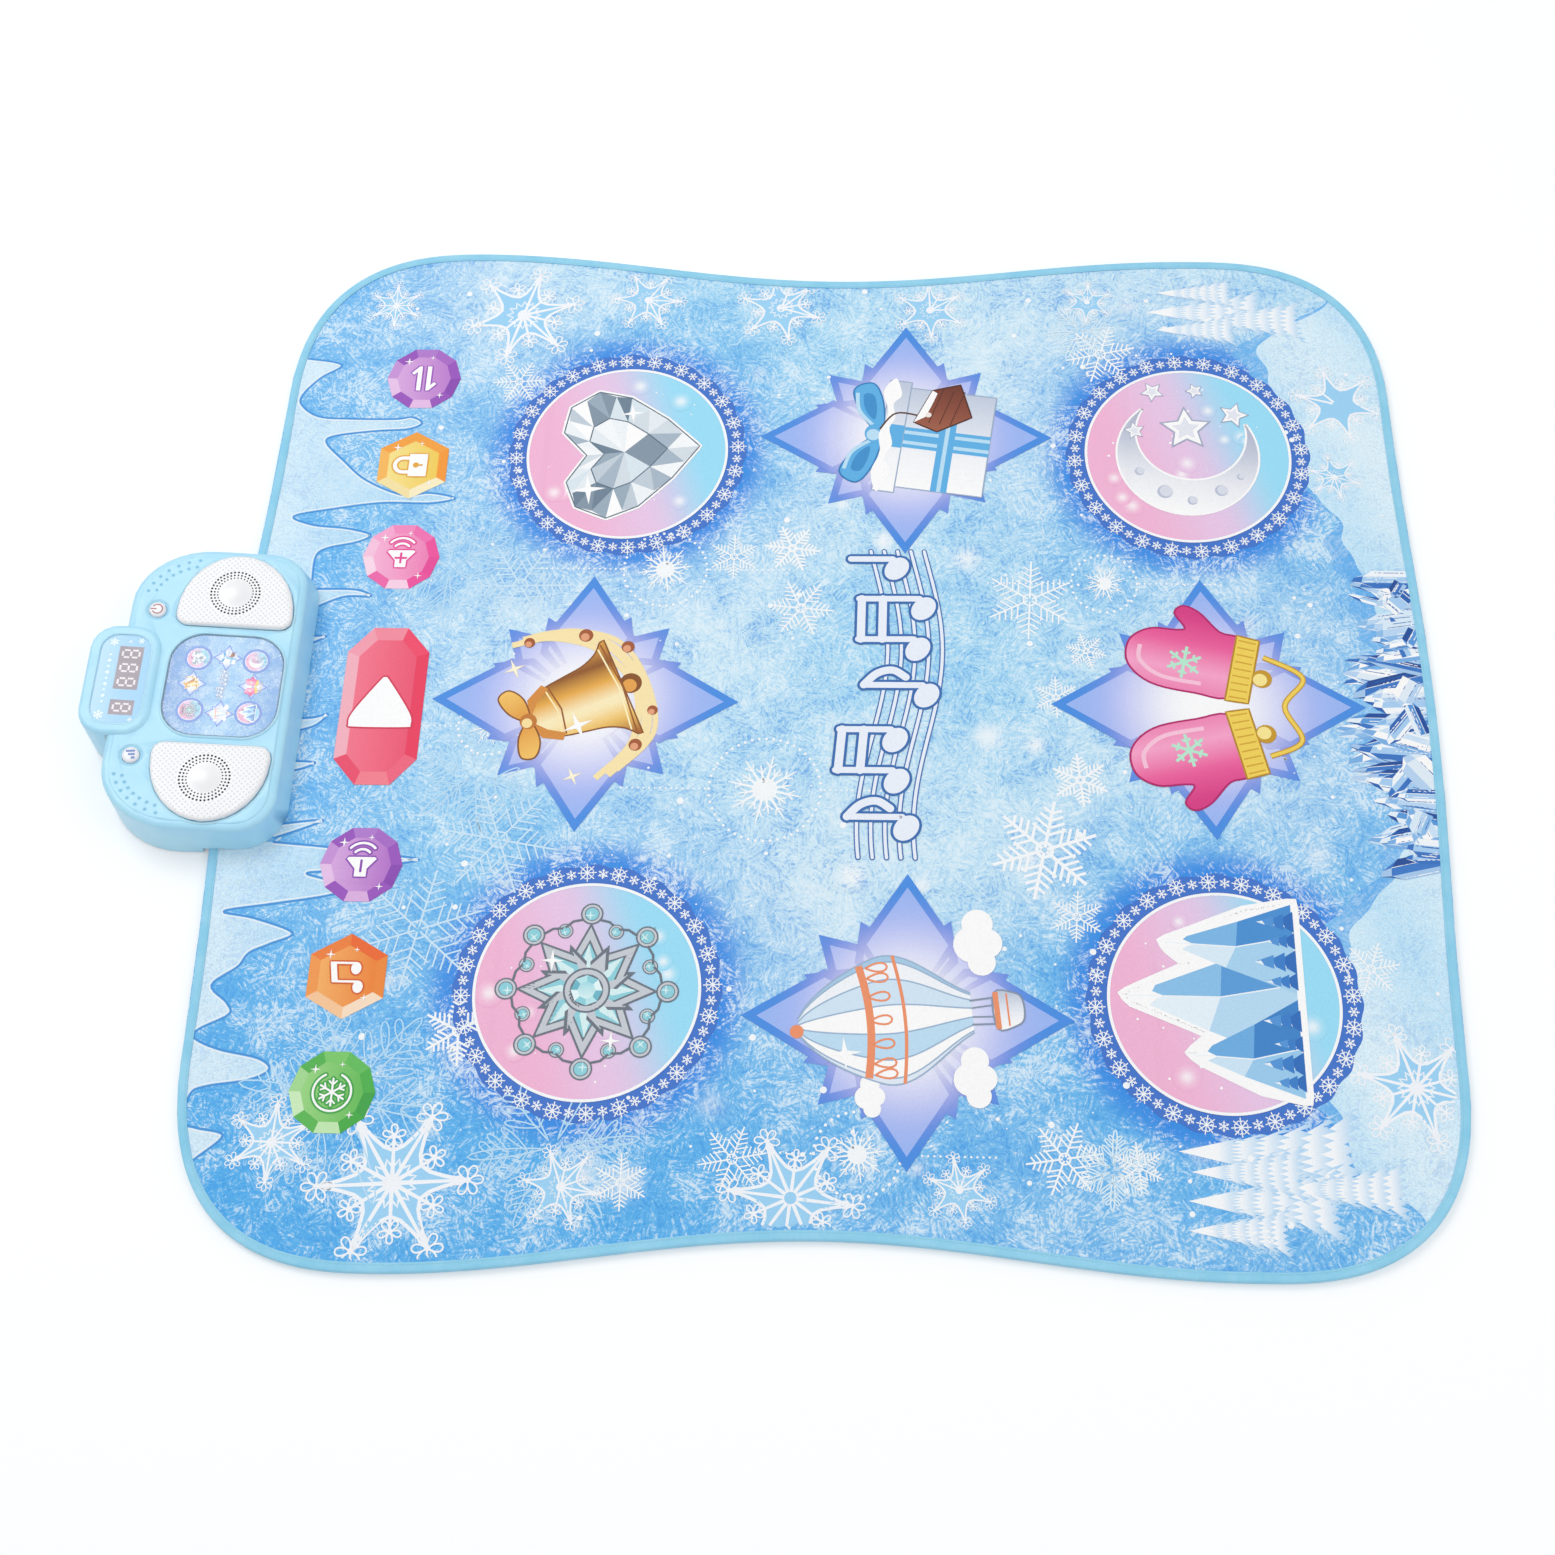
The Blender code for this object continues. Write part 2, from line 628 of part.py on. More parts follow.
def make_upper_case():
    case = face_block("upper_case", case_plastic, case_edge, -BORDER_STEP, CASE_EDGE)
    join(case, prism("case_field", None, case_edge(BORDER_WIDTH), FACE_HEIGHT / 4, case_edge(BORDER_WIDTH),
                     lambda x, y: face_z(x), BORDER_STEP * 0.8, 1, parent=unit))
    join(case, face_block("hood_block", None, hood_edge, HOOD_RISE, HOOD_ROUNDING))
    join(case, prism("panel_lip", None, panel_edge(-PANEL_LIP), -0.0015, panel_edge(-PANEL_LIP),
                     PANEL_LIP_RISE, PANEL_LIP_RISE * 0.7, 1, parent=face))
    low = -0.01
    inner_draft = CASE_DRAFT * (1 - low / FACE_HEIGHT)
    cut(case, prism("case_hollow", None, case_edge(CASE_WALL - inner_draft), low, case_edge(CASE_WALL),
                    lambda x, y: face_z(x, -CASE_WALL), parent=unit))
    cut(case, prism("hood_hollow", None, hood_edge(CASE_WALL - inner_draft), low, hood_edge(CASE_WALL),
                    lambda x, y: face_z(x, HOOD_RISE - CASE_WALL), parent=unit))
    open_face(case)
    add_bosses(case)
    # The wall ends higher where the mat and its binding pass under it
    edge = MAT_EDGE_IN_UNIT - 0.001
    cut(case, prism("mat_room", None, rounded_box(edge, OUTSIDE, -OUTSIDE, OUTSIDE, 0.001, 1), low,
                    high=MAT_TOP + AIR_GAP, parent=unit))
    cut(case, prism("binding_room", None,
                    rounded_box(edge, MAT_EDGE_IN_UNIT + BINDING_WIDTH + SIDE_BULGE, -OUTSIDE, OUTSIDE, 0.001, 1),
                    low, high=BINDING_TOP + AIR_GAP, parent=unit))
    return case


def open_face(case):
    """Seats and openings for all that shows in the face."""
    above = 0.02
    for side, place_name in ((1, "far"), (-1, "near")):
        cut(case, prism(f"grille_seat_{place_name}", None, grille_edge(side, -GRILLE_GROOVE), -GRILLE_SEAT_DEPTH,
                        high=above, parent=face))
        cut(case, prism(f"speaker_hole_{place_name}", None,
                        ring(SPEAKER_RADIUS - 0.0015, 20, (SPEAKER_X, side * SPEAKER_Y)),
                        -above, high=above, parent=face))
        cut(case, turned(f"button_hole_{place_name}", None,
                         [(0, above), (BUTTON_WELL_RADIUS + 0.0006, above),
                          (BUTTON_WELL_RADIUS + 0.0006, FIT), (BUTTON_WELL_RADIUS, -BUTTON_WELL_DEPTH),
                          (BUTTON_RADIUS + FIT, -BUTTON_WELL_DEPTH), (BUTTON_RADIUS + FIT, -above), (0, -above)],
                         20, parent=face, location=(BUTTON_X, side * BUTTON_Y, 0)))
    cut(case, prism("panel_seat", None, panel_edge(-FIT), -LENS_THICKNESS - FIT, high=above, parent=face))
    cut(case, prism("panel_opening", None, panel_edge(LENS_LEDGE), -above, high=above, parent=face))
    cut(case, prism("window_seat", None, window_edge(-FIT), window_bottom() - FIT, high=above, parent=face))
    cut(case, prism("window_opening", None, window_edge(LENS_LEDGE), -above, high=above, parent=face))
    cut(case, make_dimples())


def add_bosses(case):
    """Screw bosses down to the bottom shell, and short posts that hold the circuit board."""
    for index, (x, y) in enumerate(CASE_SCREWS):
        for side in (1, -1):
            name = f"boss_{index}_{'far' if side > 0 else 'near'}"
            roof = face_z(x, -CASE_WALL / 2)
            join(case, prism(name, None, ring(BOSS_RADIUS, 12, (x, side * y)), boss_joint() + FIT, high=roof,
                             parent=unit))
            cut(case, prism(name + "_hole", None, ring(SCREW_RADIUS + FIT, 8, (x, side * y)), 0.0,
                            high=boss_joint() + SCREW_LENGTH + 0.002, parent=unit))
    margin = POST_RADIUS + FIT
    corners = ((BOARD_RIGHT - margin, BOARD_REACH - margin),
               (BUTTON_X + BOARD_ARM_HALF_WIDTH - margin, BOARD_ARM_REACH - margin))
    for index, (x, y) in enumerate(corners):
        for side in (1, -1):
            join(case, prism(f"post_{index}_{'far' if side > 0 else 'near'}", None,
                             ring(POST_RADIUS, 8, (x, side * y)), FIT - BOARD_DEPTH, high=-CASE_WALL / 2,
                             parent=face))


def boss_joint():
    return RIM_HEIGHT + 0.002


def window_bottom():
    return HOOD_RISE - WINDOW_RECESS - LENS_THICKNESS


def make_lower_case():
    wall_fit = CASE_WALL - CASE_DRAFT + CASE_PLAY
    case = prism("lower_case", case_plastic_dark, case_edge(wall_fit), 0.0, high=RIM_HEIGHT, parent=unit)
    join(case, prism("lower_hood", None, hood_edge(wall_fit), 0.0, high=RIM_HEIGHT, parent=unit))
    # Only a tongue of the bottom shell goes on under the mat's cover
    split = MAT_EDGE_IN_UNIT - TONGUE_SHOULDER
    cut(case, prism("mat_side", None, rounded_box(split, OUTSIDE, -OUTSIDE, OUTSIDE, 0.001, 1), -0.01,
                    high=0.02, parent=unit))
    join(case, prism("tongue", None, tongue_edge(split - TONGUE_ROOT, 0.0), 0.0, high=RIM_HEIGHT, parent=unit))
    cut(case, prism("tongue_hollow", None, tongue_edge(split - TONGUE_ROOT - 2 * RIM_WIDTH, CLAMP_WIDTH),
                    FLOOR_THICKNESS, high=0.02, parent=unit))
    lobes = prism("lobe_hollow", None, case_edge(wall_fit + RIM_WIDTH), FLOOR_THICKNESS, high=0.02, parent=unit)
    cut(lobes, prism("lobe_hollow_end", None, rounded_box(split - RIM_WIDTH, OUTSIDE, -OUTSIDE, OUTSIDE, 0.001, 1),
                     -0.01, high=0.03, parent=unit))
    cut(case, lobes)
    cut(case, prism("hood_floor_hollow", None, hood_edge(wall_fit + RIM_WIDTH), FLOOR_THICKNESS, high=0.02,
                    parent=unit))
    add_battery_bay(case)
    add_screw_seats(case)
    return case


def add_battery_bay(case):
    wall_x = BAY_HALF_WIDTH + BAY_WALL
    wall_y = BAY_HALF_LENGTH + BAY_WALL
    roof = BAY_ROOF + BAY_WALL
    join(case, prism("bay_block", None, rounded_box(BAY_X - wall_x, BAY_X + wall_x, -wall_y, wall_y, 0.002, 2),
                     FLOOR_THICKNESS / 2, high=roof, parent=unit))
    join(case, prism("ear_cover", None, ring(DOOR_EAR_RADIUS + BAY_WALL, 16, (DOOR_SCREW_X, 0)),
                     FLOOR_THICKNESS / 2, high=RIM_HEIGHT, parent=unit))
    inner = rounded_box(BAY_X - BAY_HALF_WIDTH, BAY_X + BAY_HALF_WIDTH, -BAY_HALF_LENGTH, BAY_HALF_LENGTH,
                        0.001, 1)
    cut(case, prism("bay_hollow", None, inner, -0.01, high=BAY_ROOF, parent=unit))
    cut(case, prism("door_opening", None, door_edge(-DOOR_PLAY), -0.01, high=LEDGE_Z, parent=unit))
    # Boss over the door's screw, and a slot for each of the door's tabs
    boss_top = LEDGE_Z + 0.006
    join(case, prism("door_boss", None, ring(BOSS_RADIUS, 12, (DOOR_SCREW_X, 0)), LEDGE_Z + 0.0005,
                     high=boss_top, parent=unit))
    cut(case, prism("door_boss_hole", None, ring(SCREW_RADIUS + 0.0008, 10, (DOOR_SCREW_X, 0)), -0.01,
                    high=boss_top - 0.0008, parent=unit))
    for index, y in enumerate(door_tab_places()):
        slot = rounded_box(HINGE_X - BAY_WALL - 0.004, HINGE_X + BAY_WALL + 0.004, y - DOOR_TAB_WIDTH / 2 - 0.0006,
                           y + DOOR_TAB_WIDTH / 2 + 0.0006, 0.0003, 1)
        cut(case, prism(f"tab_slot_{index}", None, slot, FLOOR_THICKNESS + 0.0001, high=0.0068, parent=unit))


def add_screw_seats(case):
    """Sleeves that the case screws go up through, with sunk seats for their heads."""
    for index, (x, y) in enumerate(CASE_SCREWS):
        for side in (1, -1):
            name = f"sleeve_{index}_{'far' if side > 0 else 'near'}"
            centre = (x, side * y)
            join(case, prism(name, None, ring(BOSS_RADIUS + 0.0005, 16, centre), FLOOR_THICKNESS / 2,
                             high=boss_joint(), parent=unit))
            cut(case, turned(name + "_hole", None,
                             [(0, 0.02), (SCREW_RADIUS + FIT, 0.02), (SCREW_RADIUS + FIT, head_seat()),
                              (SCREW_HEAD_RADIUS + FIT, head_seat()), (SCREW_HEAD_RADIUS + FIT, -0.01), (0, -0.01)],
                             12, parent=unit, location=(*centre, 0)))


def head_seat():
    return SCREW_HEAD_HEIGHT + 0.0012


# Battery door and cells

def door_edge(extra_in):
    """The door with its round screw ear, drawn in by extra_in."""
    left = BAY_X - DOOR_HALF_WIDTH + extra_in
    right = BAY_X + DOOR_HALF_WIDTH - extra_in
    reach = DOOR_HALF_LENGTH - extra_in
    ear = DOOR_EAR_RADIUS - extra_in
    points = [(right, -ear)] + arc((DOOR_SCREW_X, 0), ear, ear, -75, 75, 6) + [(right, ear)]
    points += [(right, reach), (left, reach), (left, -reach), (right, -reach)]
    return points


def door_tab_places():
    return (-DOOR_HALF_LENGTH * 0.55, DOOR_HALF_LENGTH * 0.55)


def make_door():
    hinge = empty("battery_door_hinge", (HINGE_X, 0, hinge_z()), unit)
    shift = (-HINGE_X, 0, -hinge_z())
    door = prism("battery_door", case_plastic_dark, door_edge(0.0), DOOR_FLOOR_GAP, high=DOOR_TOP,
                 parent=hinge, location=shift)
    for index, y in enumerate(door_tab_places()):
        tab_top = DOOR_TOP + 0.0015
        root = rounded_box(HINGE_X + DOOR_PLAY, HINGE_X + 0.0035, y - DOOR_TAB_WIDTH / 2, y + DOOR_TAB_WIDTH / 2,
                           0.0003, 1)
        hook = rounded_box(HINGE_X - 0.0018, HINGE_X + 0.0030, y - DOOR_TAB_WIDTH / 2 + 0.0002,
                           y + DOOR_TAB_WIDTH / 2 - 0.0002, 0.0003, 1)
        join(door, prism(f"tab_root_{index}", None, root, DOOR_TOP - 0.0005, high=tab_top, parent=hinge,
                         location=shift))
        join(door, prism(f"tab_hook_{index}", None, hook, DOOR_TOP + 0.0005, high=tab_top - 0.0002, parent=hinge,
                         location=shift))
    # Finger grip: three shallow grooves across the door near its screw
    for index in range(3):
        x = BAY_X + DOOR_HALF_WIDTH - 0.006 - index * 0.003
        groove = rounded_box(x - 0.0006, x + 0.0006, -0.012, 0.012, 0.0005, 2)
        cut(door, prism(f"grip_{index}", None, groove, -0.001, high=DOOR_FLOOR_GAP + 0.0005, parent=hinge,
                        location=shift))
    cut(door, turned("door_screw_hole", None,
                     [(0, 0.01), (SCREW_RADIUS + FIT, 0.01), (SCREW_RADIUS + FIT, DOOR_TOP - 0.0006),
                      (SCREW_HEAD_RADIUS + FIT, DOOR_FLOOR_GAP - 0.0001), (SCREW_HEAD_RADIUS + FIT, -0.01),
                      (0, -0.01)],
                     12, parent=hinge, location=(DOOR_SCREW_X - HINGE_X, 0, -hinge_z())))
    head = DOOR_TOP - 0.0006 - FIT
    turned("battery_door_screw", screw_steel,
           [(0, DOOR_TOP + 0.0045), (SCREW_RADIUS - 0.0002, DOOR_TOP + 0.0040), (SCREW_RADIUS - 0.0002, head),
            (SCREW_HEAD_RADIUS - 0.0002, DOOR_FLOOR_GAP), (0, DOOR_FLOOR_GAP)],
           12, parent=hinge, location=(DOOR_SCREW_X - HINGE_X, 0, -hinge_z()))
    return door


def hinge_z():
    return DOOR_FLOOR_GAP + 0.0001


def make_cells():
    """Three AA cells side by side, the middle one the other way round."""
    for index, name in enumerate(("left", "middle", "right")):
        way = 1 if index != 1 else -1
        x = BAY_X + (index - 1) * CELL_PITCH
        half = CELL_LENGTH / 2
        nub = half + CELL_NUB
        turned(f"battery_cell_{name}", cell_wrap,
               [(0, nub), (0.0026, nub), (0.0026, half), (CELL_RADIUS - 0.0004, half),
                (CELL_RADIUS, half - 0.0006), (CELL_RADIUS, 0.0006 - half), (CELL_RADIUS - 0.0004, -half),
                (0, -half)],
               16, parent=unit, location=(x, -way * CELL_NUB / 2, CELL_Z), rotation=(-way * math.pi / 2, 0, 0))


def contact_plate(name, x_left, x_right, end):
    """A stamped plate that stands at one end of the bay, end being 1 or -1."""
    outer = end * (BAY_HALF_LENGTH - FIT)
    inner = end * (BAY_HALF_LENGTH - FIT - 0.0004)
    low, high = sorted((outer, inner))
    return prism(name, contact_metal, rounded_box(x_left, x_right, low, high, 0.0001, 1), CELL_Z - 0.0055,
                 high=CELL_Z + 0.0055, parent=unit)


def add_bump(plate, x, end):
    base = BAY_HALF_LENGTH - FIT - 0.0002
    tip = CELL_LENGTH / 2 + CELL_NUB / 2 + FIT
    join(plate, turned(f"{plate.name}_bump", None, [(0, -tip), (0.0012, -tip), (0.0032, -base), (0, -base)], 10,
                       parent=unit, location=(x, 0, CELL_Z), rotation=(end * math.pi / 2, 0, 0)))


def add_coil(plate, x, end):
    """A conical spring of three turns, from the plate to the flat end of a cell."""
    wire = 0.00035
    base = BAY_HALF_LENGTH - FIT - 0.0002
    tip = CELL_LENGTH / 2 + CELL_NUB / 2 + FIT + wire
    turns, per_turn = 3, 8
    count = turns * per_turn
    points = []
    for step in range(count + 1):
        share = step / count
        radius = 0.0046 - 0.0016 * share
        turn = 2 * math.pi * step / per_turn
        points.append((x + radius * math.cos(turn), end * (base + (tip - base) * share),
                       CELL_Z + radius * math.sin(turn)))
    coil = tube(f"{plate.name}_coil", None, points, wire, parent=unit, sides=4)
    join(plate, curve_to_mesh(coil))


def make_contacts():
    half = 0.0055
    left, middle, right = (BAY_X + step * CELL_PITCH for step in (-1, 0, 1))
    positive = contact_plate("battery_contact_positive", left - half, left + half, 1)
    add_bump(positive, left, 1)
    first_link = contact_plate("battery_contact_first_link", left - half, middle + half, -1)
    add_coil(first_link, left, -1)
    add_bump(first_link, middle, -1)
    second_link = contact_plate("battery_contact_second_link", middle - half, right + half, 1)
    add_coil(second_link, middle, 1)
    add_bump(second_link, right, 1)
    negative = contact_plate("battery_contact_negative", right - half, right + half, -1)
    add_coil(negative, right, -1)


# What shows in the face

def make_grille(side, place_name):
    grille = prism(f"speaker_grille_{place_name}", grille_plastic, grille_edge(side), FIT - GRILLE_SEAT_DEPTH,
                   high=GRILLE_RISE, rim=GRILLE_ROUNDING, rim_steps=2, parent=face)
    cut(grille, prism(f"grille_hollow_{place_name}", None, grille_edge(side, GRILLE_SKIN), -0.01,
                      high=GRILLE_RISE - GRILLE_SKIN, parent=face))
    centre = (SPEAKER_X, side * SPEAKER_Y)
    sphere = (DUST_DOME_RADIUS ** 2 + DUST_DOME_RISE ** 2) / (2 * DUST_DOME_RISE)
    profile = [(0, GRILLE_RISE + DUST_DOME_RISE)]
    for step in (1, 2, 3):
        radius = DUST_DOME_RADIUS * step / 3
        profile.append((radius, GRILLE_RISE + DUST_DOME_RISE - sphere + math.sqrt(sphere ** 2 - radius ** 2)))
    profile += [(DUST_DOME_RADIUS, GRILLE_RISE - 0.0008), (0, GRILLE_RISE - 0.0008)]
    join(grille, turned(f"dust_dome_{place_name}", None, profile, 16, parent=face, location=(*centre, 0)))
    holes = []
    for hole, radius, count in zip(SOUND_HOLE_RADII, SOUND_RING_RADII, SOUND_RING_COUNTS):
        for turn in range(count):
            angle = 2 * math.pi * turn / count
            at = (centre[0] + radius * math.cos(angle), centre[1] + radius * math.sin(angle))
            holes.append(ring(hole, 5, at, math.degrees(angle)))
    cut(grille, prisms(f"sound_holes_{place_name}", holes, 0.0, GRILLE_RISE + 0.002, parent=face))
    return grille


def make_speaker(side, place_name):
    """A small cone speaker that hangs under the grille: pressed basket, paper cone and magnet."""
    placing = {"parent": face, "location": (SPEAKER_X, side * SPEAKER_Y, -CASE_WALL - FIT)}
    rim = SPEAKER_RADIUS
    deep = SPEAKER_DEPTH
    turned(f"speaker_basket_{place_name}", basket_steel,
           [(rim, 0), (rim, -0.0008), (rim * 0.88, -0.0016), (MAGNET_RADIUS, -deep), (0.0045, -deep),
            (0.0045, -deep + 0.0008), (MAGNET_RADIUS - 0.0006, -deep + 0.0008), (rim * 0.83, -0.0016),
            (rim * 0.86, 0)],
           16, **placing)
    turned(f"speaker_cone_{place_name}", cone_paper,
           [(0, -0.0058), (0.004, -0.0064), (rim * 0.72, -0.0006), (rim * 0.82, -0.0006), (rim * 0.82, -0.0011),
            (rim * 0.72, -0.0011), (0.0040, -0.0072), (0.0040, -deep + 0.0002), (0, -deep + 0.0002)],
           16, **placing)
    turned(f"speaker_magnet_{place_name}", magnet_ferrite,
           [(0, -deep - FIT), (MAGNET_RADIUS, -deep - FIT), (MAGNET_RADIUS, -deep - FIT - MAGNET_THICKNESS),
            (0, -deep - FIT - MAGNET_THICKNESS)],
           16, **placing)


def make_button(side, name):
    """A round cap with a flange that holds it in, and a stem down to its switch."""
    holder = empty(name + "_slide", (BUTTON_X, side * BUTTON_Y, 0), face)
    flange_top = -CASE_WALL - FIT
    flange = BUTTON_RADIUS + BUTTON_FLANGE
    stem_end = flange_top - 0.0020
    turned(name, button_plastic,
           [(0, BUTTON_RISE), (BUTTON_RADIUS * 0.6, BUTTON_RISE - 0.0001), (BUTTON_RADIUS - 0.0007, BUTTON_RISE - 0.0004),
            (BUTTON_RADIUS, BUTTON_RISE - 0.0012), (BUTTON_RADIUS, flange_top), (flange, flange_top),
            (flange, flange_top - 0.0009), (0.0022, flange_top - 0.0009), (0.0018, stem_end), (0, stem_end)],
           16, parent=holder)
    body_top = stem_end - BUTTON_TRAVEL - FIT
    edge = rounded_box(BUTTON_X - 0.003, BUTTON_X + 0.003, side * BUTTON_Y - 0.003, side * BUTTON_Y + 0.003,
                       0.0003, 1)
    switch = prism(name.replace("button", "switch"), switch_black, edge, FIT - BOARD_DEPTH, high=body_top - 0.0006,
                   parent=face)
    join(switch, prism(name + "_plunger", None, ring(0.0017, 10, (BUTTON_X, side * BUTTON_Y)), -BOARD_DEPTH + 0.001,
                       high=body_top, parent=face))


def make_window_and_digits():
    prism("display_window", clear_blue, window_edge(), window_bottom(), high=HOOD_RISE - WINDOW_RECESS,
          rim=0.0004, rim_steps=1, parent=face)
    top = window_bottom() - 0.0012
    left = DIGITS_X - DIGIT_HEIGHT / 2
    right = DIGITS_X + DIGIT_HEIGHT / 2
    for name, middle, length in (("display_three_digit", THREE_DIGIT_Y, THREE_DIGIT_LENGTH),
                                 ("display_one_digit", ONE_DIGIT_Y, ONE_DIGIT_LENGTH)):
        prism(name, digit_block, rounded_box(left, right, middle - length / 2, middle + length / 2, 0.0004, 1),
              FIT - BOARD_DEPTH, high=top, parent=face)


def light_places():
    """Eight lights under the panel, in a square ring round a free middle."""
    return [(x * LIGHT_PITCH, y * LIGHT_PITCH) for x in (-1, 0, 1) for y in (-1, 0, 1) if x or y]


def make_panel():
    prism("panel_lens", clear_blue, panel_edge(), -LENS_THICKNESS, high=0.0, rim=0.0003, rim_steps=1, parent=face)
    frame = prism("panel_light_frame", white_plastic, panel_edge(LENS_LEDGE + 0.001), FIT - BOARD_DEPTH,
                  high=-LENS_THICKNESS - FIT, parent=face)
    cut(frame, prisms("light_wells", [ring(LIGHT_WELL_RADIUS, 10, place_at) for place_at in light_places()],
                      -0.02, 0.01, parent=face))


def make_board():
    board = prism("main_circuit_board", board_green, board_edge(), BOARD_BOTTOM, high=-BOARD_DEPTH, parent=face)
    join(board, prisms("led_domes", [ring(LED_RADIUS, 8, place_at) for place_at in light_places()],
                       -BOARD_DEPTH - 0.0005, -BOARD_DEPTH + LED_HEIGHT, parent=face))
    # Sound chip under its round blob, and the socket for the mat's tail
    blob = ring(CHIP_BLOB_RADIUS, 12, (-LIGHT_PITCH, LIGHT_PITCH * 0.7))
    socket_reach = TAIL_HALF_WIDTH + TAIL_SOCKET_HALF_WIDTH
    socket = rounded_box(TAIL_SOCKET_X - TAIL_SOCKET_HALF_WIDTH, TAIL_SOCKET_X + TAIL_SOCKET_HALF_WIDTH,
                         -socket_reach, socket_reach, 0.0004, 1)
    join(board, prisms("board_parts", [blob, socket], BOARD_BOTTOM - BOARD_PART_HEIGHT, BOARD_BOTTOM + 0.0005,
                       parent=face))


# Leads inside the case, and the mat's tail

def make_tail():
    """The films' printed tail, which climbs from the mat to its socket on the board."""
    start_x = TONGUE_RIGHT - CLAMP_WIDTH - FIT
    start_z = UPPER_FILM_Z
    end_x = TAIL_SOCKET_X - TAIL_SOCKET_HALF_WIDTH
    end_z = face_z(end_x, BOARD_BOTTOM - BOARD_PART_HEIGHT) - FIT
    path = []
    for step in range(9):
        share = step / 8
        ease = share * share * (3 - 2 * share)
        x = start_x + (end_x - start_x) * ease - 0.004 * math.sin(math.pi * share)
        path.append((x, start_z + (end_z - start_z) * share))
    mesh = bmesh.new()
    rows = [[mesh.verts.new((x, y, z)) for x, z in path] for y in (-TAIL_HALF_WIDTH, TAIL_HALF_WIDTH)]
    for step in range(8):
        mesh.faces.new((rows[0][step], rows[0][step + 1], rows[1][step + 1], rows[1][step]))
    tail = place("circuit_tail", finish_mesh(mesh, "circuit_tail"), circuit_film, parent=unit)
    wall = tail.modifiers.new("film", "SOLIDIFY")
    wall.thickness = FILM_THICKNESS
    wall.offset = 1.0


def make_clamp_bar():
    """The bar that presses the mat's tongue onto the bottom shell's ledge."""
    left = TONGUE_RIGHT - CLAMP_WIDTH + 0.0015
    reach = CASE_SCREWS[0][1] - 0.006
    prism("tail_clamp_bar", white_plastic, rounded_box(left, TONGUE_RIGHT - 0.001, -reach, reach, 0.003, 3),
          MAT_TOP + AIR_GAP, high=MAT_TOP + AIR_GAP + CLAMP_BAR_THICKNESS, parent=unit)


def lead(name, look, start, bend, end):
    """A thin pair of wires that curves between two places, towards a third. All are on the unit's own axes."""
    steps = 8
    points = []
    for step in range(steps + 1):
        share = step / steps
        first = Vector(start).lerp(Vector(bend), share)
        second = Vector(bend).lerp(Vector(end), share)
        points.append(first.lerp(second, share))
    tube(name, look, points, LEAD_RADIUS, parent=unit)


def face_point(x, y, w):
    """A point on the face's own axes, in the unit's space."""
    return (x * math.cos(FACE_TILT) + w * math.sin(FACE_TILT), y,
            FACE_HEIGHT - x * math.sin(FACE_TILT) + w * math.cos(FACE_TILT))


def make_leads():
    board_under = BOARD_BOTTOM - FIT - LEAD_RADIUS
    bay_end = BAY_HALF_LENGTH + BAY_WALL + FIT + LEAD_RADIUS
    cell_x = BAY_X - CELL_PITCH
    lead("battery_leads", lead_red, (cell_x, bay_end, CELL_Z), (cell_x, bay_end + BAY_WALL, BAY_ROOF + BAY_WALL),
         face_point(cell_x, BOARD_REACH - CELL_RADIUS, board_under))
    magnet_w = -CASE_WALL - SPEAKER_DEPTH - MAGNET_THICKNESS / 2
    terminal_x = SPEAKER_X - MAGNET_RADIUS - FIT - LEAD_RADIUS
    for side, place_name in ((1, "far"), (-1, "near")):
        lead(f"speaker_leads_{place_name}", lead_black,
             face_point(terminal_x, side * SPEAKER_Y, magnet_w),
             face_point(2 * terminal_x, side * (SPEAKER_Y - SPEAKER_RADIUS), magnet_w - MAGNET_THICKNESS),
             face_point(3 * terminal_x, side * (BOARD_REACH - SPEAKER_RADIUS / 3), board_under))


def make_case_screws():
    low = head_seat() - FIT - SCREW_HEAD_HEIGHT
    high = head_seat() - FIT
    for index, (x, y) in enumerate(CASE_SCREWS):
        for side, place_name in ((1, "far"), (-1, "near")):
            column = "mat_side" if index == 0 else "display_side"
            turned(f"case_screw_{column}_{place_name}", screw_steel,
                   [(0, high + SCREW_LENGTH), (SCREW_RADIUS - 0.0002, high + SCREW_LENGTH - 0.001),
                    (SCREW_RADIUS - 0.0002, high), (SCREW_HEAD_RADIUS, high), (SCREW_HEAD_RADIUS, low + 0.0006),
                    (SCREW_HEAD_RADIUS - 0.0006, low), (0, low)],
                   10, parent=unit, location=(x, side * y, 0))


clear_scene()
parts = new_collection("electronic_dance_mat")
cutters = new_collection("cutters")

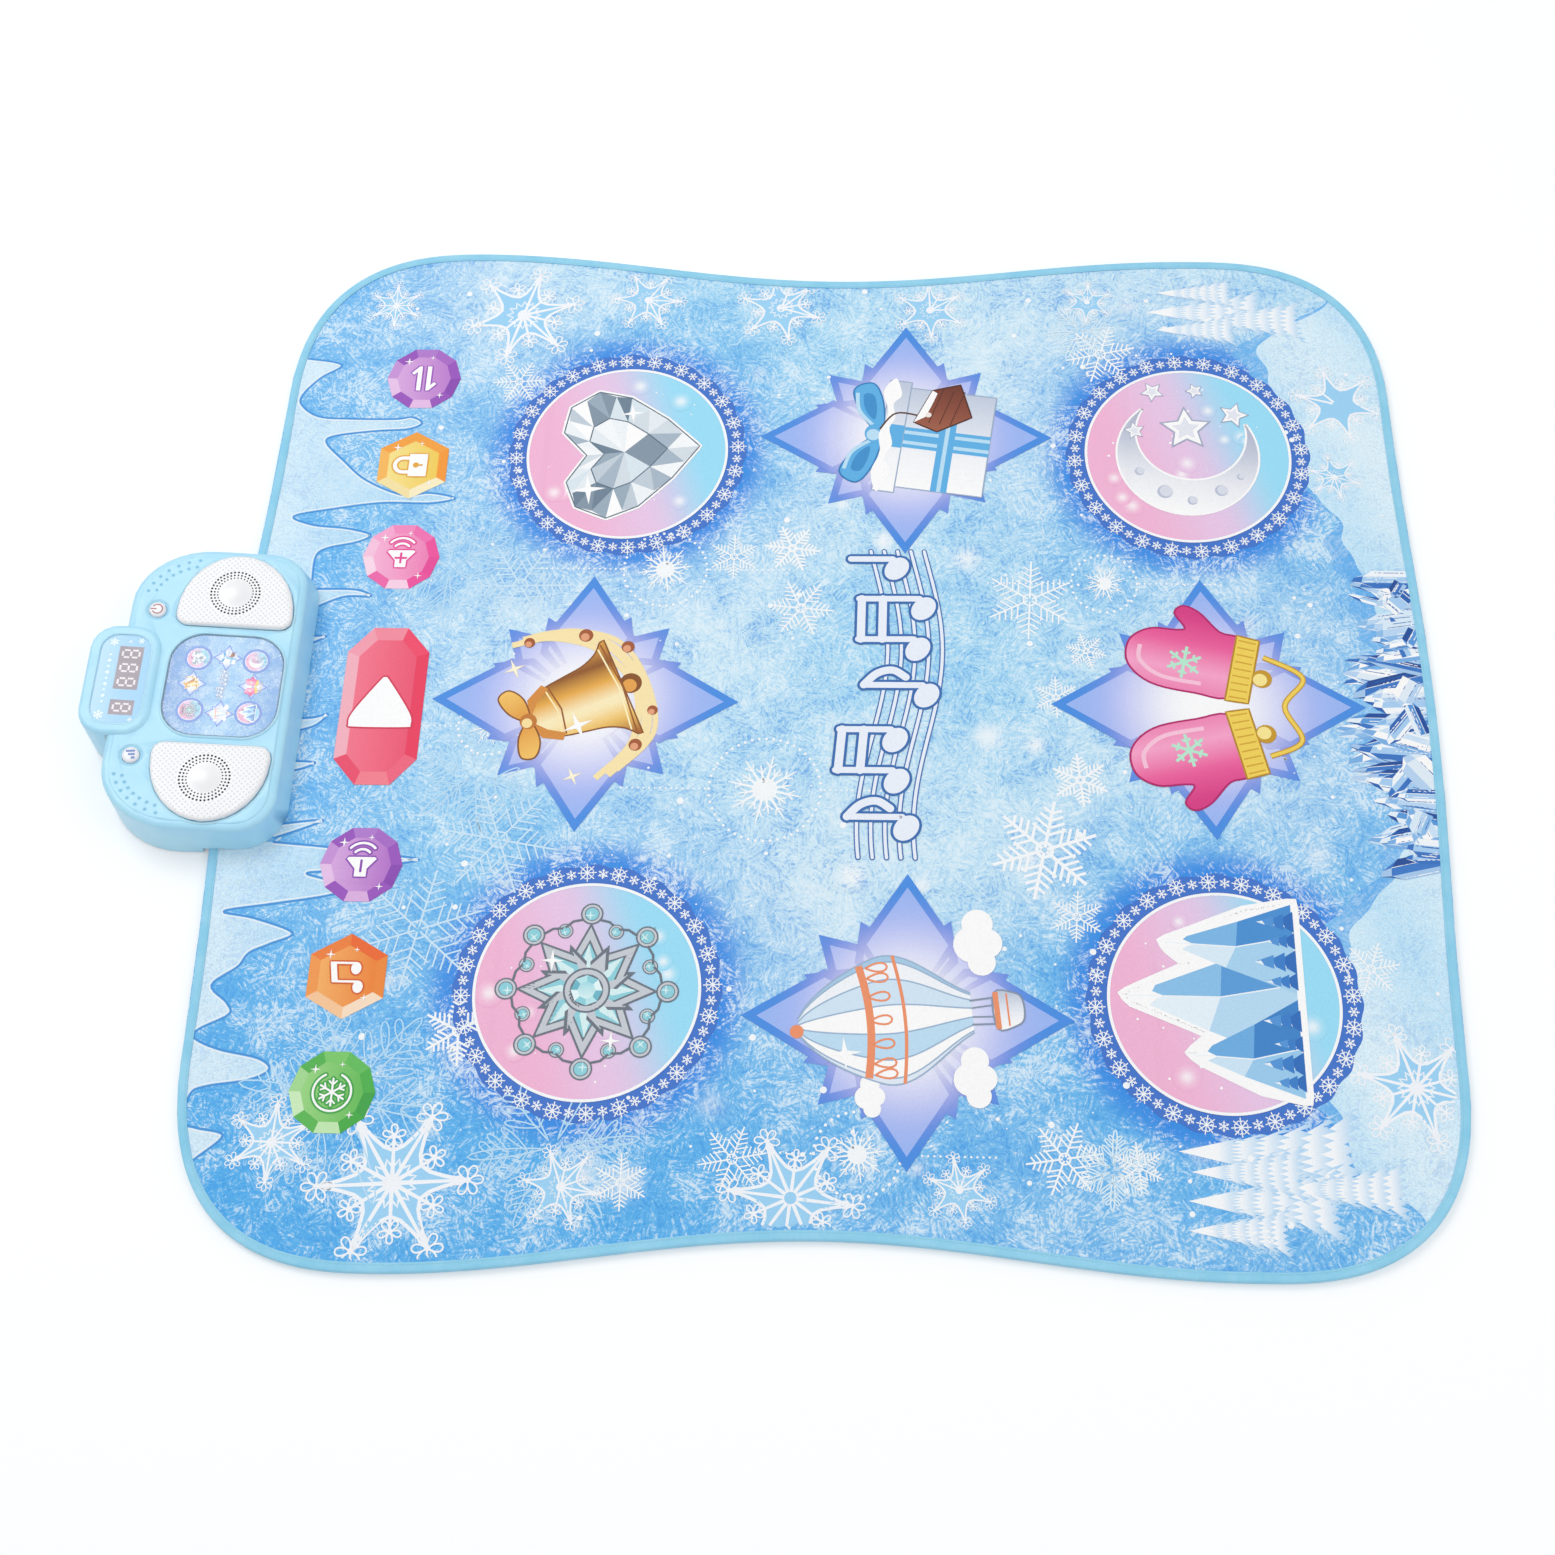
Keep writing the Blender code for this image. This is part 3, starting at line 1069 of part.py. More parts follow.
printed_cloth = material("printed polyester cover", (0.42, 0.72, 0.95), 0.55)
binding_tape = material("aqua binding tape", (0.28, 0.66, 0.80), 0.7)
dotted_cloth = material("dotted anti slip cloth", (0.75, 0.78, 0.80), 0.9)
circuit_film = material("printed circuit film", (0.62, 0.64, 0.66), 0.4)
white_foam = material("white spacer foam", (0.86, 0.86, 0.84), 0.9)
pad_foam = material("carbon faced contact foam", (0.10, 0.10, 0.11), 0.8)
case_plastic = material("pale blue ABS", (0.52, 0.82, 0.96), 0.35)
case_plastic_dark = material("blue ABS bottom", (0.36, 0.66, 0.86), 0.45)
grille_plastic = material("pearl white ABS", (0.86, 0.86, 0.88), 0.3)
button_plastic = material("white button ABS", (0.88, 0.88, 0.92), 0.3)
white_plastic = material("white inner ABS", (0.85, 0.86, 0.87), 0.5)
clear_blue = material("clear blue acrylic", (0.55, 0.80, 0.98), 0.08, alpha=0.45)
digit_block = material("seven segment block", (0.20, 0.20, 0.22), 0.3)
board_green = material("green circuit board", (0.05, 0.28, 0.12), 0.4)
switch_black = material("black switch", (0.04, 0.04, 0.04), 0.4)
contact_metal = material("nickel plated steel", (0.70, 0.69, 0.66), 0.25, metallic=1.0)
screw_steel = material("zinc plated steel", (0.66, 0.66, 0.64), 0.35, metallic=1.0)
basket_steel = material("black pressed steel", (0.06, 0.06, 0.07), 0.4, metallic=0.6)
cone_paper = material("black paper cone", (0.05, 0.05, 0.05), 0.85)
magnet_ferrite = material("grey ferrite", (0.16, 0.16, 0.17), 0.6)
cell_wrap = material("plain battery wrap", (0.18, 0.30, 0.45), 0.3)
lead_red = material("red lead", (0.60, 0.04, 0.03), 0.5)
lead_black = material("black lead", (0.03, 0.03, 0.03), 0.5)

unit = empty("control_unit", (UNIT_X, UNIT_Y, 0))
face = empty("control_face", (0, 0, FACE_HEIGHT), unit, FACE_TILT)

make_mat()
make_pads()
make_upper_case()
make_lower_case()
make_door()
make_cells()
make_contacts()
for grille_side, grille_place in ((1, "far"), (-1, "near")):
    make_grille(grille_side, grille_place)
    make_speaker(grille_side, grille_place)
make_button(1, "power_button")
make_button(-1, "mode_button")
make_window_and_digits()
make_panel()
make_board()
make_tail()
make_clamp_bar()
make_leads()
make_case_screws()
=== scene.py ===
# Looks of an electronic dance mat: printed cloth with a bound edge, and a talking control unit.
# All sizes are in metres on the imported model's axes: X runs away from the control unit, Z is up.
import math

import bmesh
import bpy
import numpy as np
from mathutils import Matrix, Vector
from mathutils.geometry import delaunay_2d_cdt


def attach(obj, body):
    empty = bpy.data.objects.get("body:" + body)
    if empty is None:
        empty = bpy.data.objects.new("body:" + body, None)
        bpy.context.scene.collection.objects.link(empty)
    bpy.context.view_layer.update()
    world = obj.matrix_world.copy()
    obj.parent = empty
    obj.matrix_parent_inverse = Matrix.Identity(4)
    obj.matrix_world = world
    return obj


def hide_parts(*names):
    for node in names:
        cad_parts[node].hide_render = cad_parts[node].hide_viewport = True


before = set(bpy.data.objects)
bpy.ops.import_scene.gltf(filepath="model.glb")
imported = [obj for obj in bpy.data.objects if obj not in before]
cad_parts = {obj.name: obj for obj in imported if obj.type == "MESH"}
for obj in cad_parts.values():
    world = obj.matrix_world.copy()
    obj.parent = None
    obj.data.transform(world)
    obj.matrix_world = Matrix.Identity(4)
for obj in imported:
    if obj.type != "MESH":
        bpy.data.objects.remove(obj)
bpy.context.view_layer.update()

root = "base"  # the body that carries everything that doesn't move


# Small helpers

def linearColour(hexText):
    # sRGB hex to linear light: a straight line near black, a 2.4 power above it
    values = [int(hexText[i:i + 2], 16) / 255 for i in (1, 3, 5)]
    return tuple(v / 12.92 if v <= 0.04045 else ((v + 0.055) / 1.055) ** 2.4 for v in values) + (1.0,)


def ink(hexText):
    # A hex colour as red, green and blue in linear light
    return np.array(linearColour(hexText)[:3])


def setInputs(tree, node, links):
    # Sets inputs, by socket number or name, to numbers, hex colours, sockets or other nodes
    for key, value in (links.items() if isinstance(links, dict) else enumerate(links)):
        if isinstance(value, bpy.types.Node):
            value = next(out for out in value.outputs if out.enabled)
        if isinstance(value, bpy.types.NodeSocket):
            tree.links.new(value, node.inputs[key])
        else:
            node.inputs[key].default_value = linearColour(value) if isinstance(value, str) else value


def addNode(tree, kind, links=(), **settings):
    # One shader node with its own settings and inputs
    node = tree.nodes.new("ShaderNode" + kind)
    for name, value in settings.items():
        setattr(node, name, value)
    setInputs(tree, node, links)
    return node


def newMaterial(name, settings):
    # A Principled material. Settings are the shader's own sockets, the same all over the surface.
    made = bpy.data.materials.new(name)
    made.use_nodes = True
    shader = made.node_tree.nodes["Principled BSDF"]
    setInputs(made.node_tree, shader, settings)
    return made, made.node_tree, shader


def addPiece(name, mesh, body=None):
    # Links a mesh into the scene as an object. With a body, the object rides on it.
    piece = bpy.data.objects.new(name, mesh)
    bpy.context.scene.collection.objects.link(piece)
    if body:
        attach(piece, body)
    return piece


def direction(angle):
    # A unit vector at an angle, or a row of them for a row of angles
    return np.stack([np.cos(angle), np.sin(angle)], -1)


def leftOf(run):
    # Vectors turned a quarter turn counterclockwise
    return np.stack([-run[..., 1], run[..., 0]], -1)


def unitLength(run):
    # Each vector divided by its own length
    return run / np.maximum(np.linalg.norm(run, axis=-1, keepdims=True), 1e-9)


def lengthAlong(points):
    # The way from the first point to each of the others, along the line through them
    return np.concatenate([[0], np.cumsum(np.linalg.norm(np.diff(points, axis=0), axis=1))])


def smoothStep(low, high, value):
    # 0 below low, 1 above high, and an even S between them
    share = np.clip((value - low) / (high - low), 0.0, 1.0)
    return share * share * (3 - 2 * share)


def gridTriangles(rows, columns, closed=False):
    # Two triangles for each cell of a grid of points, row by row. Closed joins the last column to the first.
    row, column = np.meshgrid(np.arange(rows - 1), np.arange(columns - (not closed)), indexing="ij")
    nextColumn = (column + 1) % columns
    a, b = row * columns + column, row * columns + nextColumn
    c, d = b + columns, a + columns
    return np.concatenate([np.stack([a, b, c], -1), np.stack([a, c, d], -1)]).reshape(-1, 3)


def ringedTriangles(rings, count):
    # A middle point and rings round it: a fan to the first ring, and a grid from there to the last
    inner = np.arange(count)
    hub = np.stack([np.zeros(count, int), 1 + inner, 1 + (inner + 1) % count], 1)
    return np.concatenate([hub, 1 + gridTriangles(rings, count, closed=True)])


def makePiece(name, points, triangles, material, body=root, colours=None, uv=None):
    # A mesh object from whole arrays of points and triangles, with its ink or UV map if it has one
    mesh = bpy.data.meshes.new(name)
    mesh.vertices.add(len(points))
    mesh.vertices.foreach_set("co", np.ascontiguousarray(points, dtype=np.float32).ravel())
    mesh.loops.add(triangles.size)
    mesh.loops.foreach_set("vertex_index", triangles.astype(np.int32).ravel())
    mesh.polygons.add(len(triangles))
    mesh.polygons.foreach_set("loop_start", np.arange(0, triangles.size, 3, dtype=np.int32))
    mesh.polygons.foreach_set("use_smooth", np.ones(len(triangles), bool))
    mesh.update(calc_edges=True)
    if colours is not None:
        layer = mesh.color_attributes.new("ink", "FLOAT_COLOR", "POINT")
        full = np.concatenate([colours, np.ones((len(colours), 1))], 1)
        layer.data.foreach_set("color", full.astype(np.float32).ravel())
    if uv is not None:
        layer = mesh.uv_layers.new(name="UVMap")
        layer.uv.foreach_set("vector", uv[triangles.ravel()].astype(np.float32).ravel())
    mesh.materials.append(material)
    return addPiece(name, mesh, body)


# Shape of the cloth

matShape = {
    "length": 0.920,
    "unitReach": 0.4335,     # middle line to the top of each lobe beside the control unit
    "farReach": 0.4255,
    "lobeX": 0.300,
    "waistDip": 0.025,
    "sideBulge": 0.008,
    "cornerStart": 0.270,
    "cornerPower": 2.6,
    "top": 0.0051,           # top of the cover cloth where it lies flat
    "bindingTop": 0.0059,
    "waveHeight": 0.0011,    # how far the loose cloth rises between the seams
    "foldHeight": 0.0005,    # fold lines left by the pack are relief in the cloth's material, not in its mesh
    "foldWidth": 0.0045,
    "folds": (-0.235, 0.003, 0.236),
    "crossFolds": (-0.146, 0.148),
}
unitPlace = {"x": -0.455, "y": -0.003, "faceHeight": 0.0356, "tilt": math.radians(6.0),
             "left": 0.0795, "right": 0.051, "reach": 0.1183}
print("mat shape set")


def lobeHeight(x):
    # A straight line from the lobes beside the control unit to the lower ones at the far end
    middle = (matShape["unitReach"] + matShape["farReach"]) / 2
    slope = (matShape["farReach"] - matShape["unitReach"]) / (2 * matShape["lobeX"])
    return middle + slope * x


def matOutline(cornerSteps=28, waistSteps=60, sideSteps=40):
    # Counterclockwise from the far side: side bow, superellipse corner, cosine waist, and so round
    s = matShape
    turn = np.linspace(0, math.pi / 2, cornerSteps, endpoint=False)
    side = np.linspace(-1, 1, sideSteps, endpoint=False)
    waist = np.linspace(1, -1, waistSteps, endpoint=False)
    reachX = s["length"] / 2 - s["sideBulge"] - s["lobeX"]
    runs = []
    for signX, signY in ((1, 1), (-1, 1), (-1, -1), (1, -1)):
        reachY = lobeHeight(signX * s["lobeX"]) - s["cornerStart"]
        x = s["lobeX"] + reachX * np.cos(turn) ** (2 / s["cornerPower"])
        y = s["cornerStart"] + reachY * np.sin(turn) ** (2 / s["cornerPower"])
        corner = np.stack([signX * x, signY * y], 1)
        peak = np.array([[signX * s["lobeX"], signY * (s["cornerStart"] + reachY)]])
        if signX == signY:
            waistX = s["lobeX"] * signX * waist
            dip = s["waistDip"] * np.cos(math.pi * waistX / (2 * s["lobeX"])) ** 2
            runs += [corner, np.stack([waistX, signY * (lobeHeight(waistX) - dip)], 1)]
        else:
            bow = s["sideBulge"] * np.sin(math.pi * side / 2) ** 2
            back = np.concatenate([peak, corner[:0:-1]])
            sideRun = np.stack([signX * (s["length"] / 2 - bow), signX * side * s["cornerStart"]], 1)
            runs += [back, sideRun]
    return np.concatenate(runs)


outlinePoints = matOutline()


def outlineNormals(points):
    # Unit vectors square to the edge, pointing out
    return -leftOf(unitLength(np.roll(points, -1, 0) - np.roll(points, 1, 0)))


def outlineSide(sign):
    # The far side (1) or the control unit's side (-1) of the outline, as a function that gives x at each y
    side = outlinePoints[outlinePoints[:, 0] * sign > 0.28]
    side = side[np.argsort(side[:, 1])]
    return lambda y: np.interp(y, side[:, 1], side[:, 0])


def edgeDistance(x, y):
    # Distance from each place to the nearest outline point
    flat = np.stack([np.ravel(x), np.ravel(y)], 1)
    nearest = np.full(len(flat), 9.0)
    for start in range(0, len(outlinePoints), 32):
        gap = flat[:, None, :] - outlinePoints[None, start:start + 32, :]
        nearest = np.minimum(nearest, np.sqrt((gap ** 2).sum(2)).min(1))
    return nearest.reshape(np.shape(x))


def clothHeight(x, y):
    # Long soft waves, faded out at the seam and under the control unit
    s = matShape
    wave = (np.sin(17 * x + 9 * y + 0.6) + np.sin(-11 * x + 23 * y + 2.1) + 0.7 * np.sin(41 * x - 19 * y)
            + 0.5 * np.sin(29 * x + 53 * y + 1.0)) / 3.2
    height = s["waveHeight"] * (0.5 + 0.5 * wave)
    fade = smoothStep(0.008, 0.035, edgeDistance(x, y))
    awayX = x - (unitPlace["x"] + unitPlace["right"])
    awayY = np.abs(y - unitPlace["y"]) - unitPlace["reach"]
    fade = fade * smoothStep(0.004, 0.03, np.maximum(awayX, awayY))
    return s["top"] + height * fade


# Colours of the print, worked out for every point of the cloth

padPlaces = {
    "middleX": 0.061,
    "discX": 0.2263, "discY": 0.2301, "discRadius": 0.0823, "haloRadius": 0.0976,
    "starLeft": (-0.1836, 0.003), "starRight": (0.290, 0.004), "starTop": (0.061, 0.246),
    "starBottom": (0.064, -0.2465),
    "keyX": -0.340, "keyMiddle": -0.003, "keyRows": (0.1325, 0.2195, 0.3055),
}
starNames = ("starLeft", "starRight", "starTop", "starBottom")
discCentres = [(padPlaces["middleX"] + i * padPlaces["discX"], j * padPlaces["discY"])
               for j in (1, -1) for i in (-1, 1)]
groundInks = {"pale": "#D3EDFB", "middle": "#A3D9F7", "deep": "#4FB2F1", "halo": "#2F88E8", "glow": "#FFFFFF"}
chance = np.random.default_rng(11)
glints = np.stack([chance.uniform(-0.33, 0.40, 34), chance.uniform(-0.38, 0.38, 34),
                   chance.uniform(0.004, 0.010, 34)], 1)


def groundInk(x, y):
    # Pale middle, deeper towards the control unit and the near corner, a deep halo round each disc,
    # and soft white glints where the snow catches light
    pale, middle, deep, halo, glow = (ink(tone) for tone in groundInks.values())
    cloud = 0.5 + 0.25 * (np.sin(13 * x + 7 * y) + np.sin(-9 * x + 17 * y + 1.3)
                          + 0.6 * np.sin(31 * x + 5 * y + 0.4) * np.sin(27 * y - 8 * x))
    share = np.clip(cloud, 0, 1)[:, None]
    colour = pale * (1 - share) + middle * share
    toUnit = smoothStep(-0.22, -0.42, x) * 0.8
    toNear = smoothStep(-0.12, -0.36, y) * (0.74 + 0.16 * smoothStep(0.2, -0.3, x))
    toFar = smoothStep(0.30, 0.42, x) * smoothStep(0.12, -0.06, np.abs(y) - 0.14) * 0.7
    for amount in (toUnit, toNear, toFar):
        colour = colour + (deep - colour) * amount[:, None]
    for glintX, glintY, reach in glints:
        away = np.hypot(x - glintX, y - glintY)
        colour = colour + (glow - colour) * (0.85 * np.exp(-(away / reach) ** 2))[:, None]
    for centreX, centreY in discCentres:
        away = np.hypot(x - centreX, y - centreY)[:, None]
        colour = colour + (deep - colour) * smoothStep(0.190, 0.110, away) * 0.45
        colour = colour + (halo - colour) * smoothStep(0.124, 0.098, away) * 0.95
    return colour


def printedCloth(name, look):
    # Dye printed polyester satin: flat dye colours, a faint silky sheen and a fine weave.
    # Threads are 0.25 mm apart on the real cloth and are drawn at 0.9 mm so that they show.
    made, tree, shader = newMaterial(name, {"Roughness": 0.52, "Sheen Weight": 0.1, "Sheen Roughness": 0.4,
                                            "Specular IOR Level": 0.3})
    place = addNode(tree, "TexCoord").outputs["Object"]
    dye = addNode(tree, "Attribute", attribute_name="ink").outputs["Color"]
    grain = addNode(tree, "TexNoise", {"Vector": place, "Scale": 700.0, "Detail": 2.0})
    spread = look["speckle"]
    light = addNode(tree, "MapRange", [grain, 0.3, 0.7, 1 - spread, 1 + spread])
    colour = addNode(tree, "VectorMath", {0: dye, 3: light}, operation="SCALE")
    if look["frost"]:
        colour = addFrost(tree, place, colour, look["frost"])
    setInputs(tree, shader, {"Base Color": colour})
    warp = addNode(tree, "TexWave", {"Vector": place, "Scale": 1100.0 / 6.283}, bands_direction="X")
    weft = addNode(tree, "TexWave", {"Vector": place, "Scale": 1100.0 / 6.283}, bands_direction="Y")
    weave = addNode(tree, "Math", [warp, weft], operation="MULTIPLY")
    slub = addNode(tree, "TexNoise", {"Vector": place, "Scale": 60.0, "Detail": 4.0})
    relief = addNode(tree, "Math", [slub, 2.0, weave], operation="MULTIPLY_ADD")
    creases = addNode(tree, "Bump", {"Distance": matShape["foldHeight"], "Height": foldRelief(tree, place)})
    bump = addNode(tree, "Bump", {"Strength": 0.12, "Distance": 0.0004, "Height": relief, "Normal": creases})
    setInputs(tree, shader, {"Normal": bump})
    return made


def foldRelief(tree, place):
    # One soft ridge for each fold line: 1 on the line, and down to 0 at 1.6 fold widths from it
    parts = addNode(tree, "SeparateXYZ", [place])
    total = 0.0
    for axis, lines in ((0, matShape["folds"]), (1, matShape["crossFolds"])):
        for line in lines:
            away = addNode(tree, "Math", [parts.outputs[axis], line], operation="SUBTRACT")
            away = addNode(tree, "Math", [away], operation="ABSOLUTE")
            ridge = addNode(tree, "MapRange", [away, 0.0, matShape["foldWidth"] * 1.6, 1.0, 0.0],
                            interpolation_type="SMOOTHSTEP")
            total = addNode(tree, "Math", [ridge, total], operation="ADD")
    return total


def crystalGrain(tree, place, cellMm, lengthMm, widthMm, shift):
    # Ice needles: a Voronoi grid of grains, and in each a finer grid stretched along its own random
    # direction. Gives one random number for each needle.
    moved = addNode(tree, "Mapping", {"Vector": place, "Location": (shift, shift * 0.7, 0.0)})
    bent = addNode(tree, "TexNoise", {"Vector": moved, "Scale": 45.0, "Detail": 1.0})
    bent = addNode(tree, "VectorMath", {0: bent.outputs["Color"], 3: 0.004}, operation="SCALE")
    moved = addNode(tree, "VectorMath", [moved, bent], operation="ADD")
    grain = addNode(tree, "TexVoronoi", {"Vector": moved, "Scale": 1000 / cellMm}, voronoi_dimensions="2D")
    angle = addNode(tree, "Math", [grain.outputs["Color"], 12.57], operation="MULTIPLY")
    turned = addNode(tree, "VectorRotate", {"Vector": moved, "Angle": angle}, rotation_type="Z_AXIS")
    drawn = addNode(tree, "Mapping", {"Vector": turned, "Scale": (1000 / lengthMm, 1000 / widthMm, 1.0)})
    needle = addNode(tree, "TexVoronoi", {"Vector": drawn, "Scale": 1.0}, voronoi_dimensions="2D")
    return addNode(tree, "SeparateColor", [needle.outputs["Color"]]).outputs[1]


def addFrost(tree, place, dye, strength):
    # Ground of ice crystals: pale needles where the frost is thick, deep blue ones where it is thin
    broad = crystalGrain(tree, place, 13, 9.0, 1.3, 0.11)
    fine = crystalGrain(tree, place, 7, 3.6, 0.8, 0.37)
    patch = addNode(tree, "TexNoise", {"Vector": place, "Scale": 22.0, "Detail": 5.0, "Roughness": 0.62})
    cloud = addNode(tree, "MapRange", [patch, 0.30, 0.70, -0.38, 0.38])
    grit = addNode(tree, "TexNoise", {"Vector": place, "Scale": 420.0, "Detail": 2.0})
    grit = addNode(tree, "MapRange", [grit, 0.3, 0.7, -0.16, 0.16])
    cloud = addNode(tree, "Math", [cloud, grit], operation="ADD")
    both = addNode(tree, "Math", [broad, fine], operation="ADD")
    both = addNode(tree, "Math", [both, 0.5, cloud], operation="MULTIPLY_ADD")
    thick = addNode(tree, "MapRange", [both, 0.48, 0.98, 0.0, 0.78 * strength])
    thin = addNode(tree, "MapRange", [both, 0.40, -0.15, 0.0, 0.70 * strength])
    deeper = addNode(tree, "Mix", {0: thin, 6: dye, 7: "#3898E8"}, data_type="RGBA")
    return addNode(tree, "Mix", {0: thick, 6: deeper, 7: "#E8F7FF"}, data_type="RGBA")


def printedFilm(name, frost=0.0):
    # Screen printed polyester film under a hard clear coat: bright flat inks and a sharp reflection.
    # Its frost is drawn at a fifth of the cloth's size.
    made, tree, shader = newMaterial(name, {"Roughness": 0.3, "Coat Weight": 0.8, "Coat Roughness": 0.06})
    place = addNode(tree, "TexCoord").outputs["Object"]
    dye = addNode(tree, "Attribute", attribute_name="ink").outputs["Color"]
    grain = addNode(tree, "TexNoise", {"Vector": place, "Scale": 900.0, "Detail": 2.0})
    light = addNode(tree, "MapRange", [grain, 0.3, 0.7, 0.95, 1.05])
    colour = addNode(tree, "VectorMath", {0: dye, 3: light}, operation="SCALE")
    if frost:
        smaller = addNode(tree, "Mapping", {"Vector": place, "Scale": (5.0, 5.0, 5.0)})
        colour = addFrost(tree, smaller, colour, frost)
    setInputs(tree, shader, {"Base Color": colour})
    return made


frostCloth = printedCloth("frost_printed_polyester_satin", {"speckle": 0.06, "frost": 1.0})
iceCloth = printedCloth("ice_printed_polyester_satin", {"speckle": 0.10, "frost": 0.40})
inkCloth = printedCloth("dye_printed_polyester_satin", {"speckle": 0.03, "frost": 0.0})

coverShape = {"margin": 0.0012, "thickness": 0.0005, "columns": 231, "rows": 217,
              # the cloth ends where the tail goes up into the unit
              "notchX": unitPlace["x"] + 0.028, "notchReach": 0.092}


def makeCover():
    # Columns across the mat: y runs from edge to edge of the outline at each x
    s = coverShape
    half = matShape["length"] / 2 - s["margin"]
    share = np.linspace(-1, 1, s["columns"])
    x = half * np.sin(share * math.pi / 2) * 0.35 + half * share * 0.65
    upper = outlinePoints[outlinePoints[:, 1] >= 0]
    upper = upper[np.argsort(upper[:, 0])]
    reach = np.interp(x, upper[:, 0], upper[:, 1]) - s["margin"]
    gridY = np.linspace(-1, 1, s["rows"])[:, None] * reach[None, :]
    flatX, flatY = np.broadcast_to(x, gridY.shape).ravel(), gridY.ravel()
    points = np.stack([flatX, flatY, clothHeight(flatX, flatY)], 1)
    triangles = gridTriangles(*gridY.shape)
    middle = points[triangles].mean(1)
    inNotch = (middle[:, 0] < s["notchX"]) & (np.abs(middle[:, 1] - unitPlace["y"]) < s["notchReach"])
    used, remapped = np.unique(triangles[~inNotch], return_inverse=True)
    points = points[used]
    cover = makePiece("printed_cover_cloth", points, remapped.reshape(-1, 3), frostCloth,
                      colours=groundInk(points[:, 0], points[:, 1]))
    wall = cover.modifiers.new("cloth", "SOLIDIFY")
    wall.thickness = s["thickness"]
    wall.offset = -1.0
    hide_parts("printed_cover")


makeCover()
print("cover made")


# Binding round the edge

bindingShape = {"width": 0.0072, "thickness": 0.0005, "pucker": 0.00012, "puckerPitch": 0.0068,
                "stitchPitch": 0.0034, "stitchLength": 0.0025, "stitchWidth": 0.00045, "seamInset": 0.0056}


def bindingMaterial():
    # Woven polyester tape, folded over the edge: dull, with fine ribs across it every 0.8 mm
    made, tree, shader = newMaterial("woven_aqua_binding_tape", {"Roughness": 0.62, "Sheen Weight": 0.2,
                                                                 "Specular IOR Level": 0.3})
    along = addNode(tree, "TexCoord").outputs["UV"]
    ribs = addNode(tree, "TexWave", {"Vector": along, "Scale": 1000 / 0.8 / 6.283 * 2}, bands_direction="X")
    place = addNode(tree, "TexCoord").outputs["Object"]
    wear = addNode(tree, "TexNoise", {"Vector": place, "Scale": 45.0, "Detail": 5.0, "Roughness": 0.65})
    tone = addNode(tree, "Math", [ribs, 0.25, wear], operation="MULTIPLY_ADD")
    share = addNode(tree, "MapRange", [tone, 0.35, 0.85, 0.0, 1.0])
    colour = addNode(tree, "Mix", {0: share, 6: "#84CFEF", 7: "#A2DDF7"}, data_type="RGBA")
    bump = addNode(tree, "Bump", {"Strength": 0.35, "Distance": 0.00025, "Height": ribs})
    setInputs(tree, shader, {"Base Color": colour, "Normal": bump})
    return made


def threadMaterial():
    # Spun polyester thread, lightly waxed: a soft shine and a tight twist
    made, tree, shader = newMaterial("pale_aqua_sewing_thread", {"Roughness": 0.45, "Sheen Weight": 0.3})
    place = addNode(tree, "TexCoord").outputs["Object"]
    twist = addNode(tree, "TexNoise", {"Vector": place, "Scale": 1500.0})
    colour = addNode(tree, "Mix", {0: twist, 6: "#6FC0DC", 7: "#A9E1F2"}, data_type="RGBA")
    setInputs(tree, shader, {"Base Color": colour})
    return made


def bindingPath():
    # The outline at even steps, from one side of the control unit round to the other
    closed = np.concatenate([outlinePoints, outlinePoints[:1]])
    along = lengthAlong(closed)
    even = np.linspace(0, along[-1], 1501)[:-1]
    path = np.stack([np.interp(even, along, closed[:, k]) for k in (0, 1)], 1)
    normal = outlineNormals(path)
    hidden = (path[:, 0] < -0.3) & (np.abs(path[:, 1] - unitPlace["y"]) < 0.1052)
    first = int(np.flatnonzero(hidden)[-1]) + 1
    keep = np.roll(~hidden, -first)
    return np.roll(path, -first, 0)[keep], np.roll(normal, -first, 0)[keep]


